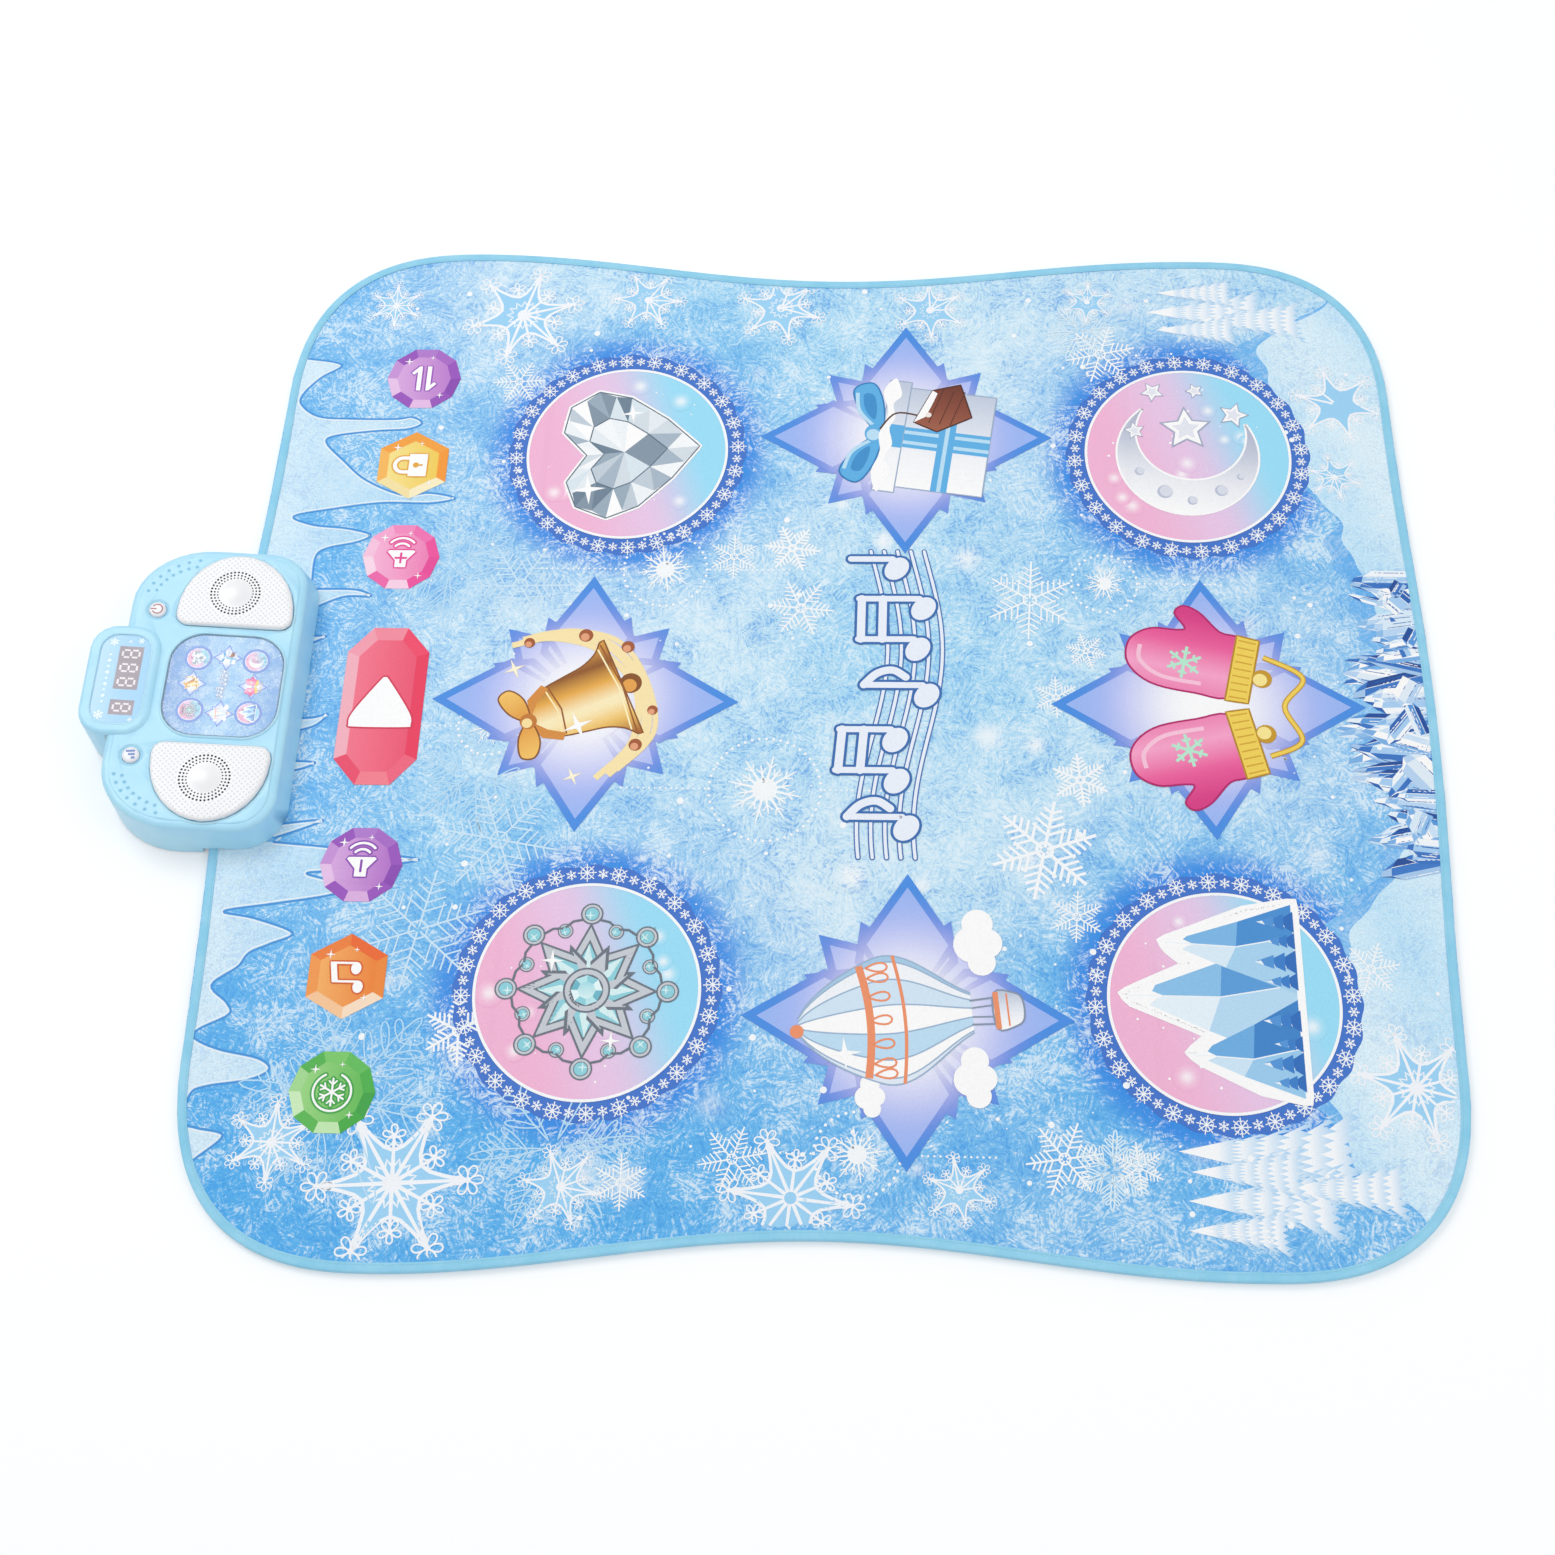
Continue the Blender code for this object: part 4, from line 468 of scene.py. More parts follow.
def makeBinding():
    # A folded C section carried along the outline: outer fold, top flap, inside, and bottom flap.
    # The stitches pull its top down in small puckers, as a sine along the tape.
    s = bindingShape
    path, normal = bindingPath()
    top, width, thick = matShape["bindingTop"], s["width"], s["thickness"]
    fold = np.linspace(-90, 90, 9) * math.pi / 180
    section = [(0.0011 - 0.0011 * math.cos(a), top / 2 + (top / 2) * math.sin(a)) for a in fold]
    section += [(0.003, top), (s["seamInset"], top - 0.00008), (width - 0.0002, top), (width, top - 0.0002),
                (width, top - thick), (thick * 1.6, top - thick), (thick, top / 2), (thick * 1.6, thick),
                (width, thick), (width, 0.0002), (width - 0.0002, 0.0), (0.003, 0.0)]
    section = np.array(section)
    inward, level = section[:, 0], section[:, 1]
    along = lengthAlong(path)[:, None]
    ripple = s["pucker"] * np.sin(along * 2 * math.pi / s["puckerPitch"]) * (1 + 0.5 * np.sin(along * 31))
    height = level - np.where((level > top * 0.7) & (inward > 0.002), np.abs(ripple), 0.0)
    flat = path[:, None, :] - normal[:, None, :] * inward[None, :, None]
    points = np.concatenate([flat, height[:, :, None]], 2).reshape(-1, 3)
    count = len(section)
    capStart = np.stack([np.zeros(count - 2, int), np.arange(1, count - 1), np.arange(2, count)], 1)
    capEnd = (capStart + (len(path) - 1) * count)[:, ::-1]
    triangles = np.concatenate([gridTriangles(len(path), count, closed=True), capStart, capEnd])
    uv = np.stack(np.broadcast_arrays(along, lengthAlong(section)), -1).reshape(-1, 2)
    tape = makePiece("edge_binding_tape", points, triangles, bindingMaterial(), uv=uv)
    fixNormals(tape)
    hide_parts("edge_binding")


def fixNormals(piece):
    # Turns the faces of a closed surface outwards
    work = bmesh.new()
    work.from_mesh(piece.data)
    bmesh.ops.recalc_face_normals(work, faces=work.faces)
    work.to_mesh(piece.data)
    work.free()


def makeStitches():
    # Lock stitches along the tape's top: each is a short ridge of thread, two slopes wide and three
    # steps long
    s = bindingShape
    path, normal = bindingPath()
    along = lengthAlong(path)
    middle = np.arange(s["stitchPitch"], along[-1] - s["stitchPitch"], s["stitchPitch"])
    at = middle[:, None] + np.array([-0.5, -0.3, 0.3, 0.5]) * s["stitchLength"]
    line = np.stack([np.interp(at, along, path[:, k] - normal[:, k] * s["seamInset"]) for k in (0, 1)], -1)
    side = np.stack([np.interp(at, along, normal[:, k]) for k in (0, 1)], -1)
    rise = np.array([0.0, 0.00022, 0.00022, 0.0])
    rows = []
    for across, lift in ((-0.5, 0.0), (0.0, 1.0), (0.5, 0.0)):
        flat = line + side * across * s["stitchWidth"]
        height = np.broadcast_to(matShape["bindingTop"] - 0.00009 + rise * lift, at.shape)
        rows.append(np.concatenate([flat, height[..., None]], -1))
    points = np.stack(rows, 1).reshape(-1, 3)
    triangles = (gridTriangles(3, 4)[None] + 12 * np.arange(len(middle))[:, None, None]).reshape(-1, 3)
    makePiece("binding_stitches", points, triangles, threadMaterial())


makeBinding()
makeStitches()
print("binding made")


# Printed shapes that lie on the cloth. A patch is its points, its triangles and an ink for each point.
# A colour is given as hex, as an ink, or as a function of places.

def mm(*pairs):
    # Corners given in millimetres, turned to metres
    return np.array(pairs, float) / 1000


def ringPoints(centre, radius, count, first=0.0, stretch=1.0):
    # A circle or an ellipse, counterclockwise
    turn = first + np.linspace(0, 2 * math.pi, count, endpoint=False)
    return np.stack([centre[0] + radius * np.cos(turn), centre[1] + radius * stretch * np.sin(turn)], 1)


def arc(x, y, radius, first, last, count=14):
    # Part of a circle, from one angle to another in degrees
    return (x, y) + radius * direction(np.radians(np.linspace(first, last, count)))


def starOutline(centre, far, near, tips, first=0.0):
    # Tips at the far radius, and a corner at the near one between each two
    index = np.arange(2 * tips)
    reach = np.where(index % 2 == 0, far, near)[:, None]
    return np.asarray(centre) + reach * direction(first + index * math.pi / tips)


def evenly(points, step, closed=True):
    # Puts extra points along each straight edge so that none is longer than step, and keeps the corners
    points = np.asarray(points, float)
    ends = np.roll(points, -1, 0) if closed else points[1:]
    starts = points if closed else points[:-1]
    runs = []
    for start, end in zip(starts, ends):
        count = max(1, int(math.ceil(np.linalg.norm(end - start) / step)))
        runs.append(start + (end - start) * (np.arange(count) / count)[:, None])
    if not closed:
        runs.append(points[-1:])
    return np.concatenate(runs)


def curved(points, steps=6, closed=True):
    # A smooth line through points: a Catmull-Rom cubic from each to the next
    points = np.asarray(points, float)
    if closed:
        a, b, c, d = (np.roll(points, shift, 0)[:, None] for shift in (1, 0, -1, -2))
    else:
        wide = np.concatenate([points[:1], points, points[-1:]])
        a, b, c, d = (wide[i:len(wide) - 3 + i][:, None] for i in range(4))
    t = (np.arange(steps) / steps)[None, :, None]
    line = 0.5 * (2 * b + (c - a) * t + (2 * a - 5 * b + 4 * c - d) * t ** 2
                  + (3 * b - a - 3 * c + d) * t ** 3)
    line = line.reshape(-1, 2)
    return line if closed else np.concatenate([line, points[-1:]])


def openCurve(*points, steps=6):
    # A smooth line with two ends, through corners in millimetres
    return curved(mm(*points), steps, closed=False)


def triangleArea(points, triangles):
    # Twice the area of each triangle, above 0 where its corners run counterclockwise
    a, b, c = (points[triangles[:, i]] for i in range(3))
    return (b[:, 0] - a[:, 0]) * (c[:, 1] - a[:, 1]) - (b[:, 1] - a[:, 1]) * (c[:, 0] - a[:, 0])


def inked(points, triangles, colour):
    # One patch of print, with every triangle turned to face up
    area = triangleArea(points, triangles)
    triangles = triangles[np.abs(area) > 1e-12]
    area = area[np.abs(area) > 1e-12]
    triangles = np.where(area[:, None] < 0, triangles[:, ::-1], triangles)
    colour = ink(colour) if isinstance(colour, str) else colour
    colours = colour(points[:, 0], points[:, 1]) if callable(colour) else np.repeat([colour], len(points), 0)
    return points, triangles, colours


def fan(outline, colour, centre=None, step=0.004):
    # Fills an outline with rings drawn in towards its centre
    outline = evenly(outline, step)
    centre = outline.mean(0) if centre is None else np.asarray(centre, float)
    rings = max(1, int(math.ceil(np.linalg.norm(outline - centre, axis=1).max() / step)))
    points = centre + (np.arange(1, rings + 1) / rings)[:, None, None] * (outline - centre)
    points = np.concatenate([centre[None, :], points.reshape(-1, 2)])
    return inked(points, ringedTriangles(rings, len(outline)), colour)


def band(inner, outer, colour, rows=2, closed=True):
    # Fills the strip between two lines of as many points
    share = np.linspace(0, 1, rows)[:, None, None]
    points = (inner[None] * (1 - share) + outer[None] * share).reshape(-1, 2)
    return inked(points, gridTriangles(rows, len(inner), closed), colour)


def stroke(path, width, colour, closed=False, step=0.004):
    # A ribbon along a path. Width is one number or one for each point.
    corners = lengthAlong(path)
    path = evenly(path, step, closed)
    if np.ndim(width):
        width = np.interp(lengthAlong(path), corners, width)[:, None]
    run = np.roll(path, -1, 0) - np.roll(path, 1, 0) if closed else np.gradient(path, axis=0)
    side = leftOf(unitLength(run)) * width / 2
    return band(path - side, path + side, colour, 2, closed)


def filled(outline, colour, step=0.005):
    # Fills an outline of any shape: a grid of points inside it, joined to the outline by a Delaunay net
    outline = evenly(outline, step)
    low, high = outline.min(0) + step * 0.37, outline.max(0)
    grid = np.meshgrid(np.arange(low[0], high[0], step), np.arange(low[1], high[1], step))
    points = [Vector(place) for place in np.concatenate([outline, np.stack(grid, -1).reshape(-1, 2)])]
    net = delaunay_2d_cdt(points, [], [list(range(len(outline)))], 1, 1e-7)
    triangles = np.array([face for face in net[2] if len(face) == 3])
    used, triangles = np.unique(triangles, return_inverse=True)
    places = np.array([net[0][i] for i in used])
    return inked(places, triangles.reshape(-1, 3), colour)


def edged(outline, colour, width, line):
    # A filled outline with a line drawn on its edge
    return [filled(outline, colour), stroke(outline, width, line, closed=True)]


def dot(x, y, radius, colour, count=20, step=0.005):
    # A filled circle with count corners
    return fan(ringPoints((x, y), radius, count), colour, (x, y), step)


def rod(points, width, colour):
    # A stroke with round ends
    points = np.asarray(points, float)
    patches = [stroke(points, width, colour)]
    if width > 0.0006:
        patches += [dot(*points[end], width / 2, colour, 12) for end in (0, -1)]
    return patches


def sparkle(x, y, reach, colour="#FFFFFF"):
    # A four pointed glint with bowed sides
    return fan(starOutline((x, y), reach, reach * 0.22, 4), colour, (x, y))


def loopPath(centre, angle, length, width, count=14):
    # A closed petal: a teardrop that leaves its centre along angle
    t = np.linspace(0, 2 * math.pi, count, endpoint=False)
    along = length * (1 - np.cos(t)) / 2
    side = width * np.sin(t) * np.sqrt((1 - np.cos(t)) / 2)
    out = direction(angle)
    return np.asarray(centre) + along[:, None] * out + side[:, None] * leftOf(out)


def blended(first, second, amount):
    # A function of places that goes from one ink to another as amount, a function too, goes from 0 to 1
    first, second = ink(first), ink(second)
    return lambda x, y: first + (second - first) * np.clip(amount(x, y), 0, 1)[:, None]


def across(low, high, *inks):
    # Ink that changes from left to right through a row of tones
    tones = np.array([ink(tone) for tone in inks])

    def colour(x, y):
        share = np.clip((x - low) / (high - low), 0, 1) * (len(tones) - 1)
        return np.stack([np.interp(share, np.arange(len(tones)), channel) for channel in tones.T], 1)
    return colour


def placed(patches, centre, turn=0.0, scale=1.0):
    # Moves patches from their own middle to a place on the mat, turned and scaled
    spin = np.array([[math.cos(turn), math.sin(turn)], [-math.sin(turn), math.cos(turn)]])
    return [(points @ spin * scale + centre, triangles, colours) for points, triangles, colours in patches]


def joined(patches):
    # Many patches as one
    starts = np.cumsum([0] + [len(points) for points, _, _ in patches[:-1]])
    points = np.concatenate([p for p, _, _ in patches])
    triangles = np.concatenate([t + start for (_, t, _), start in zip(patches, starts)])
    return points, triangles, np.concatenate([c for _, _, c in patches])


def printOnCloth(name, patches, layer, material=inkCloth, stack=16):
    # Lays patches on the waves of the cloth. Each layer of ink lies 0.15 mm over the last, and the
    # patches of one layer rise by even steps of a few thousandths, so that no two lie in the same
    # plane and a later one covers an earlier one. After stack patches the count starts again.
    points, triangles, colours = joined(patches)
    order = np.repeat(np.arange(len(patches)) % stack, [len(p[0]) for p in patches])
    height = clothHeight(points[:, 0], points[:, 1]) + 0.00015 * layer + 0.00012 * order / stack
    makePiece(name, np.concatenate([points, height[:, None]], 1), triangles, material, colours=colours)


# Winter ornament on the ground of the print

iceEdges = (
    # The line of the ice border in mm, above and below the control unit
    ((-441, 323), (-411, 316), (-427, 303), (-440, 287), (-440, 276), (-424, 264), (-398, 262), (-360, 262),
     (-346, 264), (-337, 258), (-348, 252), (-374, 250), (-407, 245), (-414, 238), (-397, 220), (-377, 202),
     (-346, 188), (-323, 190), (-302, 185), (-322, 180), (-362, 180), (-402, 174), (-432, 167), (-415, 159),
     (-388, 156), (-367, 150), (-377, 143), (-401, 137), (-409, 129), (-409, 108)),
    ((-409, -118), (-364, -122), (-325, -127), (-297, -131), (-330, -137), (-364, -141), (-380, -143),
     (-367, -147), (-340, -153), (-364, -161), (-405, -168), (-438, -174), (-414, -179), (-384, -190),
     (-400, -199), (-414, -206), (-421, -217), (-438, -231), (-425, -244), (-422, -253), (-442, -264),
     (-444, -271), (-425, -279), (-396, -285), (-387, -293), (-401, -301), (-430, -306), (-441, -312),
     (-442, -332), (-433, -336), (-413, -341), (-428, -356), (-438, -364)),
)
drips = (
    # Icicles that come out from under the control unit, in mm
    ((-409, 100), (-373, 99), (-360, 93), (-383, 92), (-409, 80)),
    ((-409, 57), (-391, 57), (-409, 48)),
    ((-409, -15), (-392, -14), (-381, -11), (-390, -21), (-409, -27)),
    ((-409, -51), (-386, -52), (-394, -57), (-409, -61)),
    ((-409, -104), (-388, -101), (-373, -100), (-388, -107), (-409, -115)),
)


def makeIcicles():
    # A pale border of ice along the control unit's side with pointed drips, a deep line round it and a
    # pale one inside
    sideX = outlineSide(-1)
    colour = blended("#D6EEFC", "#A6D8F7",
                     lambda x, y: smoothStep(-0.450, -0.33, x) * 0.8 + 0.15 * np.sin(19 * y + 35 * x))
    areas, lines = [], []
    for corners in iceEdges:
        line = openCurve(*corners)
        line[:, 0] = np.maximum(line[:, 0], sideX(line[:, 1]) + 0.0048)
        backY = np.linspace(line[-1, 1], line[0, 1], 60)
        back = np.stack([sideX(backY) + 0.004, backY], 1)
        areas.append(filled(np.concatenate([line, back]), colour, 0.004))
        lines.append(line)
    for corners in drips:
        lines.append(openCurve(*corners))
        areas.append(filled(lines[-1], colour, 0.004))
    printOnCloth("ice_border", areas, 0.2, iceCloth)
    rims = [stroke(line, 0.0017, "#4596DE", step=0.002) for line in lines]
    for line in lines:
        inside = line - 0.0018 * leftOf(unitLength(np.gradient(line, axis=0)))
        rims.append(stroke(inside, 0.0011, "#EAF6FE", step=0.002))
    printOnCloth("ice_border_line", rims, 0.4)


def makeDrift():
    # Banks of snow along the far side: two wavy edges over a soft shade, with sums of sines for their
    # outlines
    y = np.linspace(-0.392, 0.392, 700)
    edge = outlineSide(1)(y) - 0.004
    corner = smoothStep(0.09, 0.24, np.abs(y))
    waves = (np.sin(23 * y + 0.5) + 0.8 * np.sin(47 * y + 2) + 0.5 * np.sin(101 * y)
             + 0.3 * np.sin(211 * y + 1))
    for name, depth, rough, first, second, layer in (("back", 0.040, 0.012, "#84C4F5", "#6AB4F1", 0.2),
                                                     ("front", 0.026, 0.006, "#DDF3FE", "#C2E7FC", 0.4)):
        reach = (depth + 0.062 * corner + rough * waves) * smoothStep(0.392, 0.335, np.abs(y))
        inner = np.stack([edge - np.maximum(reach, 0.0), y], 1)
        colour = blended(first, second, lambda x, y: 0.5 + 0.5 * np.sin(43 * x + 21 * y))
        bank = band(inner, np.stack([edge, y], 1), colour, 16, closed=False)
        printOnCloth("snow_bank_" + name, [bank], layer, iceCloth)


shardInks = (
    # Tones of the three long facets of one crystal, from its left side to its right
    ("#F4FAFF", "#A9D0F4", "#3A76C6"), ("#CFE6FA", "#FFFFFF", "#7DB2E8"), ("#1F4F9E", "#5A9BDE", "#E9F4FE"),
    ("#DCEEFC", "#BCDAF7", "#8FC0EE"), ("#2C66B6", "#A9D0F4", "#F8FCFF"), ("#FFFFFF", "#E3F0FB", "#B9D6F4"),
    ("#234F98", "#3F7CCB", "#A9CBEF"),
)


def crystal(length, width, tones, chooser):
    # A prism seen from the side: three long facets, three short ones at its slanted end, and thin streaks
    cuts = width * np.array([-1, -0.35, 0.40, 1])
    ends = length * np.array([chooser.uniform(0.72, 0.9), 0.95, 1.0, chooser.uniform(0.75, 0.95)])
    bases, shoulders = np.stack([ends * 0, cuts], 1), np.stack([ends * 0.84, cuts], 1)
    tips = np.stack([ends, cuts * 0.6], 1)
    facets = []
    for k in range(3):
        facets.append(fan([bases[k], shoulders[k], shoulders[k + 1], bases[k + 1]], tones[k]))
        facets.append(fan([shoulders[k], tips[k], tips[k + 1], shoulders[k + 1]], tones[(k + 1) % 3]))
    streaks = []
    for k in range(4):
        start, reach = length * chooser.uniform(0, 0.25), length * chooser.uniform(0.45, 0.8)
        place = width * chooser.uniform(-0.85, 0.85)
        streaks.append(stroke([(start, place), (reach, place)], 0.0006, ("#2F6BBB", "#FFFFFF")[k % 2]))
    streaks.append(stroke([bases[1], shoulders[1]], 0.0005, "#F7FBFF"))
    return [joined(facets), joined(streaks)]


def makeShards():
    # A bed of cut ice crystals along the far edge: long ones lie behind, and short broad ones over them
    chooser = np.random.default_rng(5)
    sideX = outlineSide(1)
    bed = []
    for index in range(58):
        place = 0.116 - 0.238 * ((index * 0.618) % 1)
        length = (0.034 + 0.040 * chooser.random()) * (1.10 - 3.2 * abs(place + 0.01))
        width = 0.0038 + 0.0048 * chooser.random()
        lean = 180 + chooser.uniform(-20, 20)
        start = float(sideX(place)) - 0.004
        if index % 5 == 4:
            length, width, lean = length * 0.55, width * 1.35, lean + 55 * (-1) ** index
            start -= 0.014 * chooser.random()
        blade = crystal(length, width, shardInks[index % 7], chooser)
        bed.append((length, placed(blade, (start, place), math.radians(lean))))
    patches = []
    for length, blade in sorted(bed, key=lambda one: -one[0]):
        for points, triangles, colours in blade:
            points[:, 0] = np.minimum(points[:, 0], sideX(points[:, 1]) - 0.0045)
            patches.append((points, triangles[triangleArea(points, triangles) > 1e-9], colours))
    printOnCloth("ice_shards", patches, 0.7, stack=len(patches))


def laceFlake(radius):
    # Six pointed lace star: bowed sides between long points, spokes, and loops of petals on every tip
    white = "#F6FAFF"
    angles = math.pi / 3 * (np.arange(6)[:, None] + np.array([0, 0.10, 0.25, 0.5, 0.75, 0.90]))
    reach = radius * np.array([0.80, 0.56, 0.42, 0.36, 0.42, 0.56])
    star = (direction(angles) * reach[:, None]).reshape(-1, 2)
    patches = [fan(star, "#9ED5F8", (0, 0)), stroke(star, 0.042 * radius, white, closed=True)]
    for arm in range(12):
        angle = arm * math.pi / 6
        reach, petals, length = (0.82, 6, 0.17) if arm % 2 == 0 else (0.52, 5, 0.13)
        tip = direction(angle) * radius * reach
        patches.append(stroke([tip * 0.08 / reach, tip], [0.050 * radius, 0.030 * radius], white))
        for petal in range(petals):
            turn = angle + 2 * math.pi * petal / petals
            loop = loopPath(tip, turn, radius * length, radius * length * 0.34)
            patches.append(stroke(loop, 0.020 * radius, white, closed=True))
        patches.append(dot(*tip, radius * 0.035, white, 10))
    zigzag = starOutline((0, 0), radius * 0.17, radius * 0.27, 12)
    return patches + [stroke(zigzag, 0.022 * radius, white, closed=True),
                      dot(0, 0, radius * 0.10, white, 16, 0.004)]


def leafFlake(radius, colour):
    # Six arms of long outlined leaves with pairs of side leaves, as fern frost grows
    patches = []
    for arm in range(6):
        angle = arm * math.pi / 3
        out = direction(angle) * radius
        petal = loopPath(out * 0.1, angle, radius * 0.9, radius * 0.07)
        patches.append(stroke(petal, 0.0011, colour, closed=True))
        for start, length in ((0.30, 0.42), (0.52, 0.34), (0.70, 0.22)):
            for sign in (-1, 1):
                loop = loopPath(out * start, angle + sign * 0.80, radius * length, radius * 0.05)
                patches.append(stroke(loop, 0.0010, colour, closed=True))
    return patches


def twigFlake(radius, colour, width, rows=4):
    # Six arms with twigs at 60 degrees that get shorter towards the tip
    patches = []
    for arm in range(6):
        out = direction(arm * math.pi / 3)
        patches.append(stroke([out * 0.05 * radius, out * radius], width, colour))
        for row in range(rows):
            start = out * radius * (0.30 + 0.60 * row / rows)
            length = radius * (0.36 - 0.22 * row / rows)
            for sign in (-1, 1):
                tip = start + (out * 0.5 + leftOf(out) * sign * 0.866) * length
                patches.append(stroke([start, tip], width * 0.85, colour))
    patches.append(stroke(ringPoints((0, 0), radius * 0.16, 6), width, colour, closed=True))
    return patches


def smallFlake(radius, arms, width, colour):
    # Arms from the middle, each with one pair of side twigs, and a dot in the middle
    patches = [dot(0, 0, radius * 0.22, colour, 8, radius)]
    for arm in range(arms):
        out = direction(2 * math.pi * arm / arms)
        patches.append(stroke([out * radius * 0.15, out * radius], width, colour, step=radius))
        twig = out * radius * 0.55
        for sign in (1, -1):
            tip = twig + (out * 0.5 + leftOf(out) * sign * 0.87) * radius * 0.28
            patches.append(stroke([twig, tip], width * 0.8, colour, step=radius))
    return patches


def starBurst(radius, colour, rays=16):
    # A bright middle with rays of two lengths, as a glint on frost
    patches = [dot(0, 0, radius * 0.34, colour, 20, 0.004)]
    for ray in range(rays):
        out = direction(2 * math.pi * ray / rays)
        reach = radius * (1.0 if ray % 2 == 0 else 0.72)
        patches.append(stroke([out * 0.2 * radius, out * reach], [radius * 0.09, radius * 0.035], colour))
        start = out * reach * 0.62
        for sign in (-1, 1):
            tip = start + (out * 0.7 + leftOf(out) * sign * 0.5) * radius * 0.26
            patches.append(stroke([start, tip], radius * 0.04, colour))
    return patches


def frostedFir(height):
    # A snow laden fir: tiers of drooping branches with ragged lower edges, pale blue below and white above
    patches = []
    tiers = 6
    share = np.linspace(-1, 1, 19)
    teeth = np.where(np.arange(19) % 2 == 0, -0.045, 0.035) * height
    for tier in range(tiers):
        low = height * 0.84 * tier / tiers
        wide = height * 0.30 * (1 - 0.80 * tier / tiers)
        ragged = teeth * chance.uniform(0.6, 1.2, 19)
        edge = np.stack([wide * share, low + ragged - 0.05 * height * share ** 2], 1)
        shade = blended("#A9D6F8", "#FBFDFF", lambda x, y: (y - low) / (height * 0.16) + 0.35)
        patches.append(filled(np.concatenate([edge, [(0, low + height * 0.34)]]), shade, 0.0035))
    return patches


flakePlaces = {
    # place and radius
    "lace": ((-0.290, -0.372, 0.064), (-0.015, -0.376, 0.052), (0.415, -0.290, 0.048),
             (-0.378, -0.345, 0.035),
             (-0.262, 0.368, 0.053), (-0.157, 0.384, 0.034), (-0.044, 0.376, 0.040), (0.081, 0.374, 0.034),
             (0.410, 0.280, 0.040), (-0.372, 0.378, 0.026), (0.402, 0.210, 0.024), (-0.173, -0.372, 0.032),
             (0.100, -0.368, 0.027), (0.212, 0.382, 0.024)),
    "twig": ((0.158, 0.095, 0.035), (0.221, 0.329, 0.029), (-0.020, 0.086, 0.026), (-0.239, -0.114, 0.045),
             (-0.292, -0.186, 0.048), (-0.242, 0.104, 0.040), (0.172, -0.345, 0.027), (0.392, -0.204, 0.021),
             (-0.132, -0.368, 0.020), (0.176, 0.010, 0.018), (-0.074, 0.132, 0.020), (0.186, -0.168, 0.020),
             (-0.056, -0.350, 0.024), (0.222, -0.350, 0.018), (-0.260, 0.300, 0.022), (0.200, 0.050, 0.016)),
    "crystal": ((0.164, -0.116, 0.040), (0.192, -0.059, 0.022), (-0.255, -0.262, 0.026),
                (-0.028, 0.140, 0.022)),
    "leaf": ((-0.330, -0.314, 0.078), (-0.180, -0.345, 0.060), (-0.300, 0.120, 0.055),
             (-0.262, -0.060, 0.050)),
    "fern": ((0.205, 0.352, 0.030), (0.205, -0.352, 0.028)),
    "burst": ((-0.043, -0.070, 0.028), (-0.128, 0.120, 0.022), (0.216, 0.110, 0.017), (0.030, -0.345, 0.020),
              (-0.255, -0.020, 0.016)),
    # foot of each fir and its height; their tops point to the control unit
    "fir": ((0.352, -0.372, 0.094), (0.366, -0.338, 0.112), (0.330, -0.352, 0.070), (0.318, -0.392, 0.062),
            (0.398, -0.362, 0.076), (0.330, 0.392, 0.058), (0.352, 0.372, 0.088), (0.330, 0.354, 0.060),
            (0.384, 0.364, 0.078)),
}


def spread(kind, draw, perX=9, perY=1):
    # Every flake of a kind, each turned by its own place so that no two lie alike
    patches = []
    for x, y, size in flakePlaces[kind]:
        patches += placed(draw(size), (x, y), perX * x + perY * y)
    return patches


def makeFlakes():
    # Each kind of flake at its places in flakePlaces
    white = "#F8FCFF"
    leaves = spread("leaf", lambda size: leafFlake(size, "#BCE2FB"))
    leaves += spread("fern", lambda size: leafFlake(size, "#DDF2FE"))
    printOnCloth("frost_leaves", keptInside(leaves), 0.5)
    twigs = spread("twig", lambda size: twigFlake(size, "#CFEAFC" if size > 0.038 else white,
                                                  0.0014 if size > 0.024 else 0.0011))
    twigs += spread("crystal", lambda size: twigFlake(size, white, 0.0026 if size > 0.03 else 0.0018))
    printOnCloth("twig_snowflakes", keptInside(twigs), 0.6)
    firs = []
    for x, y, height in sorted(flakePlaces["fir"], key=lambda one: -one[2]):
        firs += placed(frostedFir(height), (x, y), math.pi / 2)
    printOnCloth("frosted_firs", keptInside(firs), 0.55, stack=len(firs))
    bursts = []
    for x, y, radius in flakePlaces["burst"]:
        bursts += placed(starBurst(radius, white), (x, y), 5 * x)
        ring = ringPoints((x, y), radius * 1.5, int(2 * math.pi * radius * 1.5 / 0.0054))
        bursts += [dot(*place, 0.0012, white, 8) for place in ring]
        for sign in (-1, 1):
            row = np.arange(16) * 0.0042 + radius * 1.6
            bursts += [dot(x + sign * far, y, 0.0009, white, 6) for far in row]
    printOnCloth("frost_bursts", keptInside(bursts), 0.7)
    printOnCloth("lace_snowflakes", keptInside(spread("lace", laceFlake, 7, 0)), 0.8, stack=80)
    specks = np.stack([chance.uniform(-0.36, 0.44, 420), chance.uniform(-0.40, 0.40, 420),
                       0.0006 + 0.0022 * chance.random(420) ** 3], 1)
    printOnCloth("snow_specks", keptInside([dot(*speck, white, 8) for speck in specks]), 0.75)


